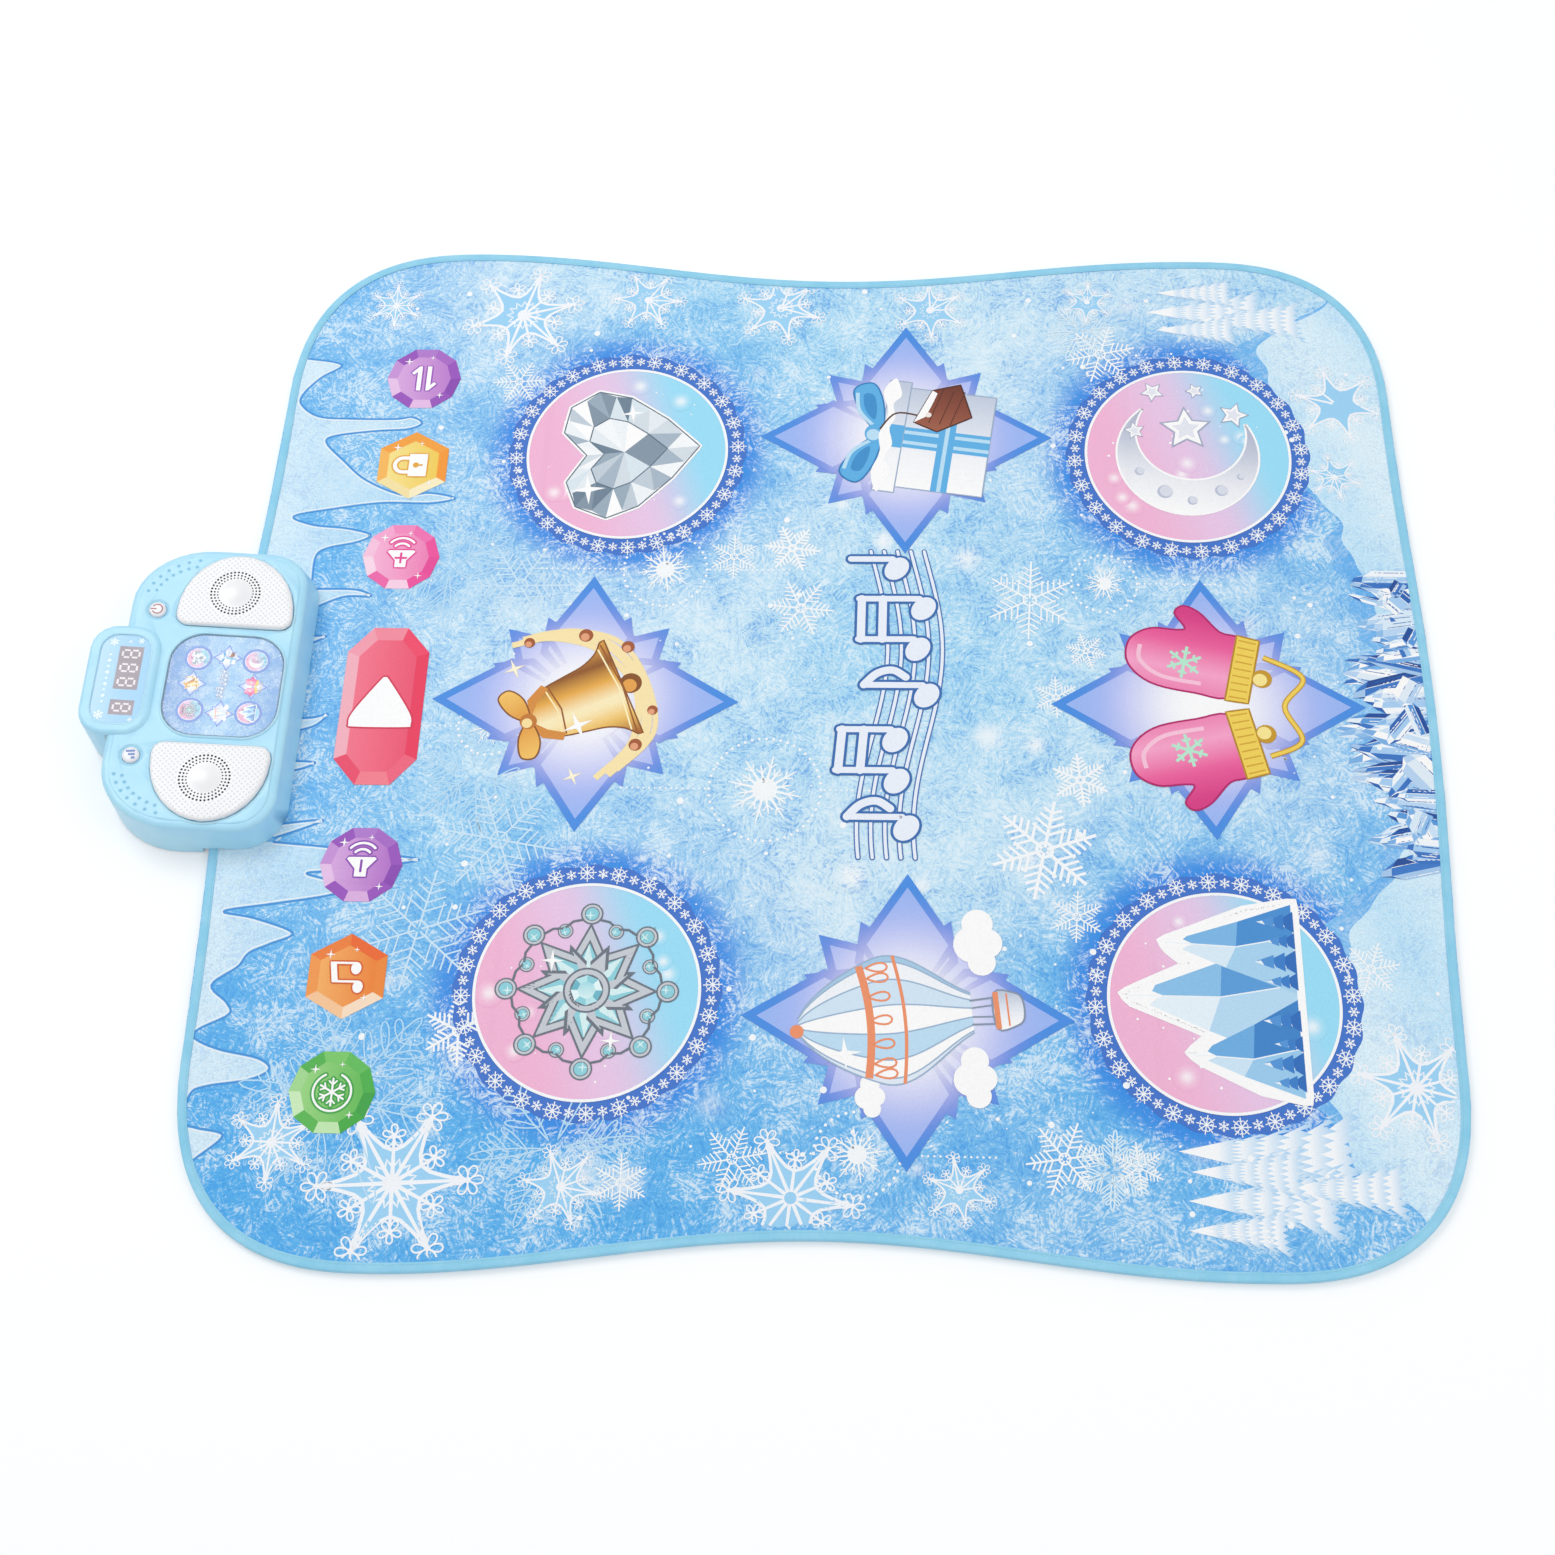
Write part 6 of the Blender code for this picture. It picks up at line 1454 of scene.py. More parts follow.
def giftBox():
    # A white parcel with blue ribbon and a brown tag, under a heap of snow
    shade = across(-0.045, 0.045, "#FFFFFF", "#F6F8FC", "#DDE4F0", "#C3CDE0")
    blue, light, dark, grey = "#5FB2E8", "#BDE2F8", "#2F7FBE", "#9FB2CC"
    patches = edged(block(-44, 44, -62, 2), shade, 0.0010, grey)
    patches += [filled(block(*sides), tone) for *sides, tone in (
        (-9, 9, -62, 2, blue), (-6, -3, -62, 2, light), (3, 6, -62, 2, light), (-44, 44, -36, -24, blue),
        (-44, 44, -31.5, -28.5, light))]
    patches += edged(block(-49, 49, 2, 18), shade, 0.0010, grey) + [filled(block(-10, 10, 2, 18), blue)]
    for sign in (-1, 1):
        bow = curved(mm((0, 18), (14, 34), (36, 44), (44, 30), (26, 20)) * (sign, 1))
        hole = curved(mm((12, 25), (20, 33), (33, 36), (34, 29), (24, 25)) * (sign, 1), 5)
        shine = openCurve((4, 22), (18, 37), (34, 41)) * (sign, 1)
        patches += edged(bow, blue, 0.0012, dark) + [filled(hole, "#3F92CF"), stroke(shine, 0.0028, light)]
    patches += [dot(0, 0.022, 0.0085, blue), dot(-0.0015, 0.024, 0.005, light)]
    snow = curved(mm((-50, 15), (-34, 21), (-16, 17), (0, 20), (20, 16), (38, 22), (51, 15), (46, 11),
                     (36, 8), (28, 13), (16, 10), (6, 13), (-8, 9), (-20, 13), (-32, 7), (-42, 11)), 4)
    tag = mm((14, -4), (44, -14), (52, -34), (24, -46), (8, -22))
    patches += [filled(snow, "#FFFFFF", 0.003),
                stroke(openCurve((4, 20), (20, 10), (20, -10)), 0.0014, "#5B3A2E"),
                *edged(tag, across(0.008, 0.052, "#A4614A", "#8A4A38", "#6E3629"), 0.0012, "#54291F")]
    patches += [stroke(mm((15, y + 3), (46, y - 4)), 0.0008, "#5F3024") for y in (-18, -26, -34)]
    drift = mm((14, -4), (44, -14), (42, -18), (30, -15), (20, -12))
    return patches + [filled(drift, "#FFFFFF", 0.003), dot(0.022, -0.014, 0.0022, "#F3E9E4"),
                      sparkle(-0.030, -0.046, 0.009)]


def balloon():
    # A hot air balloon in white and pale blue panels with orange trim, between two clouds
    orange, grey = "#F0946A", "#8A97AC"
    patches = []
    puffs = mm((-11, 0, 8), (0, 4, 11), (12, 0, 9), (0, -4, 9))
    for (x, y), size in zip(mm((-44, -40), (46, -52), (-50, 28)), (1.0, 1.15, 0.7)):
        patches += [dot(x + right, y + up, radius, "#FFFFFF") for right, up, radius in puffs * size]
    share = np.linspace(0, 1, 26)
    height = 0.070 - 0.112 * share
    wide = 0.050 * np.sin(np.clip(share * 1.16 + 0.02, 0, 1) * math.pi * 0.5) ** 0.62
    wide = wide * (1 - 0.80 * smoothStep(0.45, 1.12, share))
    places = np.sin(np.linspace(-1, 1, 8) * math.pi / 2)
    seams = [np.stack([wide * place, height], 1) for place in places]
    tones = ("#E3EDF8", "#FFFFFF", "#BFE0F6", "#FFFFFF", "#D3E8F8", "#F4F8FD", "#A9CDE9")
    patches += [band(seams[i], seams[i + 1], tone, 4, closed=False) for i, tone in enumerate(tones)]
    patches += [stroke(seam, 0.0010, "#9DB7D3") for seam in seams]
    for level, thick in ((9, 0.0050), (14, 0.0022)):
        row = np.stack([wide[level] * places, height[level] - 0.006 * np.cos(places * 1.3)], 1)
        patches.append(stroke(curved(row, 4, closed=False), thick, orange))
    for x in wide[9] * (places[:-1] + places[1:]) / 2:
        tassel = loopPath((x, height[9] - 0.006), -math.pi / 2, 0.014, 0.004)
        patches.append(stroke(tassel, 0.0014, orange, closed=True))
    for sign in (-1, 1):
        patches += [stroke(mm((8, -41), (9, -58)) * (sign, 1), 0.0012, grey),
                    stroke(mm((3, -42), (4, -58)) * (sign, 1), 0.0010, grey)]
    basket = curved(mm((-12, -57), (12, -57), (11, -70), (6, -75), (-6, -75), (-11, -70)), 4)
    patches += edged(basket, across(-0.012, 0.012, "#FFFFFF", "#E8EDF6", "#BCC8DC"), 0.0012, grey)
    return patches + [stroke(mm((-12.5, -58), (12.5, -58)), 0.0035, orange),
                      stroke(mm((-11, -65), (11, -65)), 0.0012, orange),
                      dot(-0.003, 0.0715, 0.0045, orange), sparkle(-0.020, 0.042, 0.011)]


pictures = {
    # the drawing, the pad it belongs to, turn in degrees and size
    "heart_gem": (heartGem, discCentres[0], 6, 1.10), "moon": (moonAndStars, discCentres[1], -10, 1.12),
    "brooch": (brooch, discCentres[2], 0, 1.10), "ice_peaks": (icePeaks, discCentres[3], 0, 1.12),
    "bell": (goldBell, padPlaces["starLeft"], 24, 1.02),
    "mittens": (mittens, padPlaces["starRight"], 0, 1.10),
    "gift": (giftBox, padPlaces["starTop"], -8, 1.10), "balloon": (balloon, padPlaces["starBottom"], 6, 1.10),
}


def makePictures():
    # Each picture on its own pad, turned and scaled as the table says
    for name, (draw, centre, degrees, size) in pictures.items():
        patches = placed(draw(), centre, upwards + math.radians(degrees), size)
        printOnCloth("picture_" + name, patches, 3.4, stack=len(patches))


tuneNotes = (
    # place along the stave, step up the stave, stem length, flag or beam to the next
    (-0.104, -1.5, 0.044, "flag"), (-0.066, -0.5, 0.046, "beam"), (-0.032, 0.3, 0.042, ""),
    (0.006, -1.2, 0.048, "flag"), (0.046, -0.2, 0.046, "beam"), (0.082, -0.9, 0.050, ""),
    (0.118, 0.4, 0.036, ""),
)


def tunePatches():
    # A waving stave with notes, white with a blue outline, about the middle of the pads
    def wave(y, step):
        return 0.011 * np.sin(y * 21 + 0.6) + 0.0105 * step

    along = np.linspace(-0.128, 0.134, 60)
    shapes = [("line", np.stack([wave(along, step), along], 1), 0.0024) for step in (-2, -1, 0, 1, 2)]
    tips = [np.array([wave(y, -step) - stem, y + 0.0086]) for y, step, stem, kind in tuneNotes]
    oval = ringPoints((0, 0), 0.0112, 24, stretch=0.76)
    heads = []
    for index, (y, step, stem, kind) in enumerate(tuneNotes):
        tip, x = tips[index], wave(y, -step)
        head = placed([(oval, None, None)], (x, y), 0.9)[0][0]
        heads += [("area", head, 0), ("line", [(x - 0.003, y + 0.0088), tip], 0.0050)]
        if kind == "flag":
            flag = curved(tip + mm((0, 0), (10, 10), (22, 13), (32, 7)), closed=False)
            heads.append(("line", flag, 0.0062))
        if kind == "beam":
            for drop in (0.0020, 0.0185):
                heads.append(("line", [tip + (drop, 0), tips[index + 1] + (drop, 0)], 0.0064))
    blue, white = "#3A6FB4", "#EDF3FE"
    patches = grown(shapes, 0.0009, blue) + grown(shapes, 0, white)
    return placed(patches + grown(heads, 0.0020, blue) + grown(heads, 0, white), (-0.003, 0.004))


def makeTune():
    # The stave and its notes in the mat's middle
    patches = placed(tunePatches(), (padPlaces["middleX"], 0.0))
    printOnCloth("tune", patches, 2.4, stack=len(patches))


makePictures()
makeTune()
print("pictures made")


# Control unit

faceShape = {
    # on the sloping face, from its own middle; a box is its left, right, half length and corner radius
    "panel": (-0.043, 0.043, 0.04275, 0.025), "window": (-0.0945, -0.0580, 0.0370, 0.0125),
    "printScale": 0.0965,
    "speakerX": -0.0016, "speakerY": 0.0787,
    "buttonX": -0.059, "buttonY": 0.062, "buttonTop": 0.00142,
    "digitsX": -0.072, "digitHeight": 0.018,
    "digitOpenings": ((-0.03025, -0.01775), (-0.00875, 0.02775)),
    "digitRows": (-0.024, -0.0025, 0.0095, 0.0215),
}
plastics = {
    # common ABS and acrylic, moulded: colours, roughness and the size of the grain
    "upper_case": {"light": "#B4E8FD", "dark": "#ABE2FC", "roughness": 0.34, "grainMm": 0.8, "relief": 0.05,
                   "coat": 0.05},
    "lower_case": {"light": "#9BD2F0", "dark": "#92CBEB", "roughness": 0.45, "grainMm": 0.8},
    # the rims' plastic is paler than the case as a painted highlight
    "painted_highlight_rim": {"light": "#C9F0FF", "dark": "#C0ECFE", "roughness": 0.3, "grainMm": 0.8, "relief": 0.05},
    "white_cap": {"light": "#F4F5FA", "dark": "#EDEFF6", "roughness": 0.25, "grainMm": 1.0, "relief": 0.03},
    "inner_white": {"light": "#E8E9E8", "dark": "#DFE1E2", "roughness": 0.5, "grainMm": 1.0},
    "digit_block": {"light": "#A79DA8", "dark": "#9C929E", "roughness": 0.3, "grainMm": 1.0},
    "black_switch": {"light": "#2B2B2D", "dark": "#232325", "roughness": 0.4, "grainMm": 0.6},
    "film": {"light": "#C9CCCE", "dark": "#B9BDC0", "roughness": 0.3, "grainMm": 2.0},
    "foam": {"light": "#F0F0EC", "dark": "#DEDED8", "roughness": 0.95, "grainMm": 0.7, "relief": 0.6},
    "carbon_pad": {"light": "#2E2E30", "dark": "#222224", "roughness": 0.85, "grainMm": 0.5, "relief": 0.4},
    "board": {"light": "#1F6B3A", "dark": "#195C31", "roughness": 0.35, "grainMm": 1.5},
    "paper_cone": {"light": "#26262A", "dark": "#1B1B1E", "roughness": 0.9, "grainMm": 0.6, "relief": 0.5},
    "ferrite": {"light": "#55555A", "dark": "#45454A", "roughness": 0.6, "grainMm": 0.5, "relief": 0.3},
    "cell_wrap": {"light": "#3E6A97", "dark": "#345C86", "roughness": 0.25, "grainMm": 1.2},
    "nickel": {"light": "#D9D6CF", "dark": "#C9C6C0", "roughness": 0.25, "grainMm": 0.4, "metal": 1.0},
    "zinc": {"light": "#C9CCD0", "dark": "#B4B8BE", "roughness": 0.35, "grainMm": 0.4, "metal": 1.0},
    "black_steel": {"light": "#3A3A3E", "dark": "#2E2E32", "roughness": 0.4, "grainMm": 0.5, "metal": 0.6},
    "red_lead": {"light": "#C8322B", "dark": "#B22A24", "roughness": 0.45, "grainMm": 0.5},
    "black_lead": {"light": "#29292B", "dark": "#202022", "roughness": 0.45, "grainMm": 0.5},
}


def moulded(name, look):
    # Injection moulded plastic: one even colour with slow drifts of tone, and a fine spark eroded grain.
    # An inked piece takes its colour from its own points and the drift only shades it. The metals use
    # the same drift and grain, and keep the default IOR.
    settings = {"Roughness": look["roughness"], "Coat Weight": look.get("coat", 0.0)}
    settings.update({"Metallic": look["metal"]} if "metal" in look else {"IOR": 1.53})
    made, tree, shader = newMaterial(name, settings)
    place = addNode(tree, "TexCoord").outputs["Object"]
    drift = addNode(tree, "TexNoise", {"Vector": place, "Scale": 40.0, "Detail": 3.0})
    share = addNode(tree, "MapRange", [drift, 0.35, 0.65, 0.0, 1.0])
    colour = addNode(tree, "Mix", {0: share, 6: look["dark"], 7: look["light"]}, data_type="RGBA")
    # an inked piece's points carry painted shade: the dimples are darker towards their middles
    if look.get("inked"):
        dye = addNode(tree, "Attribute", attribute_name="ink").outputs["Color"]
        colour = addNode(tree, "Mix", {0: 1.0, 6: dye, 7: colour}, data_type="RGBA", blend_type="MULTIPLY")
    grain = addNode(tree, "TexNoise", {"Vector": place, "Scale": 1000 / look["grainMm"], "Detail": 3.0})
    bump = addNode(tree, "Bump", {"Strength": look.get("relief", 0.08), "Distance": look["grainMm"] / 4000,
                                  "Height": grain})
    setInputs(tree, shader, {"Base Color": colour, "Normal": bump})
    return made


looks = {name: moulded(name, look) for name, look in plastics.items()}


def pearlGrille():
    # Pearl white ABS: bright, with a moulded field of small pimples and a polished dome. The pimples are 2.4
    # mm apart on the real grille and are drawn 3 mm apart so that they show, and each pimple is also darkened
    # in the colour as painted shade.
    made, tree, shader = newMaterial("pearl_white_grille", {"Roughness": 0.3, "IOR": 1.53, "Coat Weight": 0.1,
                                                            "Coat Roughness": 0.1})
    domeEdge, pimplePitch = 0.020, 0.0030
    place = addNode(tree, "TexCoord").outputs["Object"]
    drift = addNode(tree, "TexNoise", {"Vector": place, "Scale": 30.0, "Detail": 2.0})
    colour = addNode(tree, "Mix", {0: drift, 6: "#EFF1F5", 7: "#FAFAFB"}, data_type="RGBA")
    # how far each place is from the middle of its own dome: none of the pimples lie on that
    middle = addNode(tree, "Mapping", {"Vector": place, "Location": (-unitPlace["x"] - faceShape["speakerX"],
                                                                     -unitPlace["y"], 0)})
    parts = addNode(tree, "SeparateXYZ", [middle])
    side = addNode(tree, "Math", [parts.outputs[1]], operation="ABSOLUTE")
    fromY = addNode(tree, "Math", [side, faceShape["speakerY"]], operation="SUBTRACT")
    flat = addNode(tree, "CombineXYZ", [parts.outputs[0], fromY, 0.0])
    away = addNode(tree, "VectorMath", [flat], operation="LENGTH").outputs["Value"]
    field = addNode(tree, "MapRange", [away, domeEdge - 0.0005, domeEdge + 0.0005, 0.0, 1.0])
    grid = addNode(tree, "Mapping", {"Vector": place, "Rotation": (0, 0, math.radians(45)),
                                     "Scale": (1 / pimplePitch,) * 3})
    pimple = addNode(tree, "TexVoronoi", {"Vector": grid, "Scale": 1.0, "Randomness": 0.0},
                     voronoi_dimensions="2D")
    knob = addNode(tree, "MapRange", [pimple, 0.34, 0.12, 0.0, 1.0], interpolation_type="SMOOTHSTEP")
    # nor on the rolled rim, where the surface turns away from level
    facing = addNode(tree, "SeparateXYZ", [addNode(tree, "TexCoord").outputs["Normal"]])
    level = addNode(tree, "MapRange", [facing.outputs[2], 0.93, 0.98, 0.0, 1.0])
    height = addNode(tree, "Math", [knob, field], operation="MULTIPLY")
    height = addNode(tree, "Math", [height, level], operation="MULTIPLY")
    # painted shade: the colour darkens six tenths of the way to grey blue on top of each pimple
    share = addNode(tree, "Math", [height, 0.6], operation="MULTIPLY")
    shade = addNode(tree, "Mix", {0: share, 6: colour, 7: "#CDD0DB"}, data_type="RGBA")
    bump = addNode(tree, "Bump", {"Strength": 0.5, "Distance": 0.0003, "Height": height})
    setInputs(tree, shader, {"Base Color": shade, "Normal": bump})
    return made


def clearAcrylic(name, tint):
    # Cast acrylic, polished: clear with a faint tint, and a sharp highlight
    made, tree, shader = newMaterial(name, {"Roughness": 0.06, "IOR": 1.49, "Transmission Weight": 0.85})
    place = addNode(tree, "TexCoord").outputs["Object"]
    drift = addNode(tree, "TexNoise", {"Vector": place, "Scale": 25.0})
    colour = addNode(tree, "Mix", {0: drift, 6: tint, 7: "#E4F4FD"}, data_type="RGBA")
    setInputs(tree, shader, {"Base Color": colour})
    return made


def backingCloth():
    # Non woven polyester with rows of soft grip dots, 5 mm apart
    made, tree, shader = newMaterial("dotted_grip_cloth", {"Roughness": 0.9, "Sheen Weight": 0.1})
    place = addNode(tree, "TexCoord").outputs["Object"]
    fibres = addNode(tree, "TexNoise", {"Vector": place, "Scale": 500.0, "Detail": 4.0})
    cloth = addNode(tree, "Mix", {0: fibres, 6: "#C4CCD2", 7: "#DDE3E7"}, data_type="RGBA")
    grid = addNode(tree, "Mapping",
                   {"Vector": place, "Rotation": (0, 0, math.radians(45)), "Scale": (200.0,) * 3})
    cells = addNode(tree, "TexVoronoi", {"Vector": grid, "Scale": 1.0, "Randomness": 0.0},
                    voronoi_dimensions="2D")
    grip = addNode(tree, "MapRange", [cells, 0.24, 0.20, 0.0, 1.0])
    colour = addNode(tree, "Mix", {0: grip, 6: cloth, 7: "#F2F5F7"}, data_type="RGBA")
    relief = addNode(tree, "Math", [grip, 1.0, fibres], operation="MULTIPLY_ADD")
    bump = addNode(tree, "Bump", {"Strength": 0.5, "Distance": 0.0004, "Height": relief})
    setInputs(tree, shader, {"Base Color": colour, "Normal": bump})
    return made


def smoothCopy(node, material, body=root):
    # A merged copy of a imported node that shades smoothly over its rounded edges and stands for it
    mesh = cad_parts[node].data.copy()
    mesh.name = node + "_smooth"
    work = bmesh.new()
    work.from_mesh(mesh)
    bmesh.ops.remove_doubles(work, verts=work.verts, dist=0.000004)
    work.to_mesh(mesh)
    work.free()
    mesh.materials.clear()
    mesh.materials.append(material)
    mesh.shade_smooth()
    mesh.set_sharp_from_angle(angle=math.radians(32))
    piece = addPiece(node + "_finish", mesh)
    weigh = piece.modifiers.new("even shading", "WEIGHTED_NORMAL")
    weigh.keep_sharp = True
    weigh.weight = 80
    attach(piece, body)
    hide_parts(node)


def dressNodes():
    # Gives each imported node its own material, by its name or the start of it, and the shells a smooth
    # shaded copy
    grille, lens = pearlGrille(), clearAcrylic("clear_panel_lens", "#BFE3F8")
    window = clearAcrylic("clear_display_window", "#EAF2F6")
    smoothCopy("upper_case", looks["upper_case"])
    for side in ("far", "near"):
        smoothCopy("speaker_grille_" + side, grille)
    for button in ("power_button", "mode_button"):
        smoothCopy(button, looks["white_cap"], button)
    byStart = {
        "anti_slip_backing": backingCloth(), "display_window": window, "panel_lens": lens,
        "lower_circuit_film": "film", "upper_circuit_film": "film", "circuit_tail": "film",
        "spacer_foam": "foam", "lower_case": "lower_case", "battery_door": "lower_case",
        "battery_door_screw": "zinc", "case_screw": "zinc",
        "display_three_digit": "digit_block", "display_one_digit": "digit_block",
        "panel_light_frame": "inner_white", "tail_clamp_bar": "inner_white", "main_circuit_board": "board",
        "power_switch": "black_switch", "mode_switch": "black_switch", "step_pad": "carbon_pad",
        "key_pad": "carbon_pad", "battery_cell": "cell_wrap", "battery_contact": "nickel",
        "battery_leads": "red_lead", "speaker_leads": "black_lead", "speaker_basket": "black_steel",
        "speaker_cone": "paper_cone", "speaker_magnet": "ferrite",
    }
    for name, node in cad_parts.items():
        starts = [start for start in byStart if name.startswith(start)]
        if starts:
            look = byStart[max(starts, key=len)]
            for slot in node.material_slots:
                slot.material = looks.get(look, look) if isinstance(look, str) else look


dressNodes()
print("control unit dressed")


# Print and fine marks on the control unit's sloping face

def tilted(points, up):
    # From the face's own x, y and height to the model's axes
    cos, sin = math.cos(unitPlace["tilt"]), math.sin(unitPlace["tilt"])
    return np.stack([unitPlace["x"] + points[:, 0] * cos + up * sin, unitPlace["y"] + points[:, 1],
                     unitPlace["faceHeight"] - points[:, 0] * sin + up * cos], 1)


def nodeTop(name):
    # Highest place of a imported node, measured square to the sloping face
    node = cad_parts[name]
    corners = np.zeros(len(node.data.vertices) * 3)
    node.data.vertices.foreach_get("co", corners)
    turn = np.array(node.matrix_world)
    world = corners.reshape(-1, 3) @ turn[:3, :3].T + turn[:3, 3]
    tilt = unitPlace["tilt"]
    along, above = world[:, 0] - unitPlace["x"], world[:, 2] - unitPlace["faceHeight"]
    return float((along * math.sin(tilt) + above * math.cos(tilt)).max())


def onFace(name, patches, height, material, body=root):
    # Lays patches on the sloping face: x and y are the face's own, and height is measured square to it
    points, triangles, colours = joined(patches)
    order = np.repeat(np.arange(len(patches)), [len(patch[0]) for patch in patches])
    up = height + 0.00009 * order / len(patches)
    makePiece(name, tilted(points, up), triangles, material, body, colours=colours)


def roundedBox(left, right, near, far, corner, steps=8):
    # A rectangle with round corners, counterclockwise from the right far corner
    runs = [arc(x, y, corner, first, first + 90, steps) for x, y, first in (
        (right - corner, far - corner, 0), (left + corner, far - corner, 90),
        (left + corner, near + corner, 180), (right - corner, near + corner, 270))]
    return np.concatenate(runs)


def grownBox(box, outside=0.0, steps=8):
    # One of the face's boxes, wider all round
    left, right, reach, corner = box
    reach += outside
    return roundedBox(left - outside, right + outside, -reach, reach, corner + outside, steps)


def makePanelPrint():
    # The panel repeats the mat's print at about a tenth of its size, behind clear acrylic
    box, scale = faceShape["panel"], faceShape["printScale"]
    film, inkFilm = printedFilm("frost_printed_panel_film", 0.75), printedFilm("printed_panel_film")
    edge = 0.0008
    shade = across(box[0] + edge, box[1] - edge, "#4E8ACD", "#93C5E9", "#5F9AD6")
    onFace("panel_print_ground", [fan(grownBox(box, -edge), shade, (0, 0))], 0.00003, film)

    def small(patches, centre, turn=0.0, size=1.0):
        # Patches drawn at the mat's scale, at their place on the panel
        return placed(patches, (np.array(centre) - (padPlaces["middleX"], 0.0)) * scale, turn, size * scale)

    radius = padPlaces["discRadius"]
    disc = [dot(0, 0, 0.108, "#5B86D8", 40, 0.04), dot(0, 0, 0.088, "#F4F7FE", 40, 0.04),
            dot(0, 0, radius, discInk((0, 0)), 40, 0.02)]
    star = []
    for grow, tones in ((1.0, ("#8E97E8", "#5C86DC")), (0.86, ("#FFFFFF", starShape["faceInk"]))):
        for index in range(8):
            outline = kite(0.118 * grow, 0.036 * grow, 0.5) * (1 if index % 2 == 0 else 0.74)
            point = fan(outline, across(0.02, 0.10, *tones), (0.05, 0), 0.012)
            star += placed([point], (0, 0), index * math.pi / 4)
    patches = []
    for centre in discCentres:
        patches += small(disc, centre)
    for name in starNames:
        patches += small(star, padPlaces[name])
    for draw, centre, degrees, size in pictures.values():
        patches += small(draw(), centre, upwards + math.radians(degrees), size)
    patches += placed(tunePatches(), (0, 0), 0, scale)
    onFace("panel_print_pictures", patches, 0.00014, inkFilm)
    # painted shade: a dark blue band over the gap round the lens
    onFace("panel_gap_shade", [band(grownBox(box, -0.0006), grownBox(box), "#3F6E9C")], 0.00006, inkFilm)


def makeWindowPrint():
    # A pale film on the display window, with clear places over the digit blocks, and the digits' segments
    s = faceShape
    top = nodeTop("display_window")
    film, white = printedFilm("printed_window_film"), "#F2FBFF"
    left, right, reach = s["window"][:3]
    digitLeft, digitRight = s["digitsX"] - s["digitHeight"] / 2, s["digitsX"] + s["digitHeight"] / 2
    shade = across(left, right, "#A5D3EE", "#8AC5EA", "#7FC0EA")
    edge = evenly(grownBox(s["window"]), 0.001)
    gaps = np.concatenate([[-reach], np.ravel(s["digitOpenings"]), [reach]]).reshape(-1, 2)
    parts = [(left, digitLeft, -reach, reach), (digitRight, right, -reach, reach)]
    parts += [(digitLeft, digitRight, low, high) for low, high in gaps]
    patches = [filled(np.clip(edge, (lowX, lowY), (highX, highY)), shade, 0.004)
               for lowX, highX, lowY, highY in parts]
    for x, y, size in mm((-66, 33, 2.4), (-86, 31, 3.4), (-88, -31, 4.0), (-64, -34, 2.2), (-74, 32, 1.6)):
        patches += placed(smallFlake(size, 6, size * 0.16, white), (x, y), 30 * x)
    for index in range(9):
        patches.append(dot(-0.0872, -0.020 + 0.0050 * index, 0.0010 + 0.0004 * (index % 2), "#DDF4FE", 8))
    # a thin band of darker blue covers the gap round the window, as painted shade of the gap
    patches.append(band(grownBox(s["window"]), grownBox(s["window"], 0.00075), "#7CBFE2"))
    onFace("window_print", patches, top + 0.00003, film)
    # the dark faces of the digit blocks are drawn on the window too, where they render without noise
    faces = [fan(roundedBox(digitLeft, digitRight, low, high, 0.0008), white,
                 (s["digitsX"], (low + high) / 2)) for low, high in s["digitOpenings"]]
    onFace("digit_faces", faces, top + 0.00001, looks["digit_block"])
    segments = moulded("lit_segment_plastic", {"light": "#FBF6F8", "dark": "#F1EAEE", "roughness": 0.4,
                                               "grainMm": 0.5})
    # seven bars of a digit that reads from the far side of the mat
    wide, tall, trim = 0.0030, 0.0062, 0.0010
    bars = [((x, -wide), (x, wide)) for x in (-tall, 0, tall)]
    bars += [((x, y), (x + tall, y)) for y in (-wide, wide) for x in (-tall, 0)]
    shapes = []
    for middle in s["digitRows"]:
        for start, end in np.array(bars) + (s["digitsX"], middle):
            run = unitLength(end - start) * trim
            shapes.append(stroke([start + run, end - run], 0.0016, white, step=0.01))
    onFace("digit_segments", shapes, top + 0.00004, segments)


def makeButtonSigns():
    # The sign for power in dark red, and three level bars in blue on the other button
    x, y, top = (faceShape[key] for key in ("buttonX", "buttonY", "buttonTop"))
    film = printedFilm("printed_button_ink")
    lines = (arc(0, 0, 0.0032, 35, 325, 24), mm((0.8, 0), (4.0, 0)))
    power = [patch for line in lines for patch in rod(line, 0.0009, "#9A4650")]
    onFace("power_sign", placed(power, (x, y), math.pi, 1.2), top, film, "power_button")
    bars = [stroke(mm((2.7 - length, up), (2.7, up)), 0.0015, "#1F62B4")
            for length, up in ((5.4, 2.3), (4.0, 0.0), (2.2, -2.3))]
    onFace("mode_sign", placed(bars, (x, -y), 0.1, 1.2), top, film, "mode_button")


soundHoles = ((0.0184, 0.00084, 40), (0.0158, 0.00074, 36), (0.0134, 0.00060, 32))  # ring, hole and number
dimpleShape = {
    "shoulderX": 0.058, "shoulderY": 0.050,
    # inset from the shoulder's edge and the first and last angle of each row
    "rows": ((0.0095, 104, 166), (0.0150, 108, 162)),
    # a shallow bowl: its rings' reach and height, and its inks from the middle out, darker inside as painted
    # shade of the hollow
    "bowl": ((0.00052, -0.00034), (0.00100, -0.00011), (0.00135, 0.00002), (0.00185, 0.00003)),
    "middle": -0.00050, "inks": ("#86C6E6", "#8DCBEA", "#98D3F0", "#A5DDF7", "#AEE4FB"), "sides": 14,
}


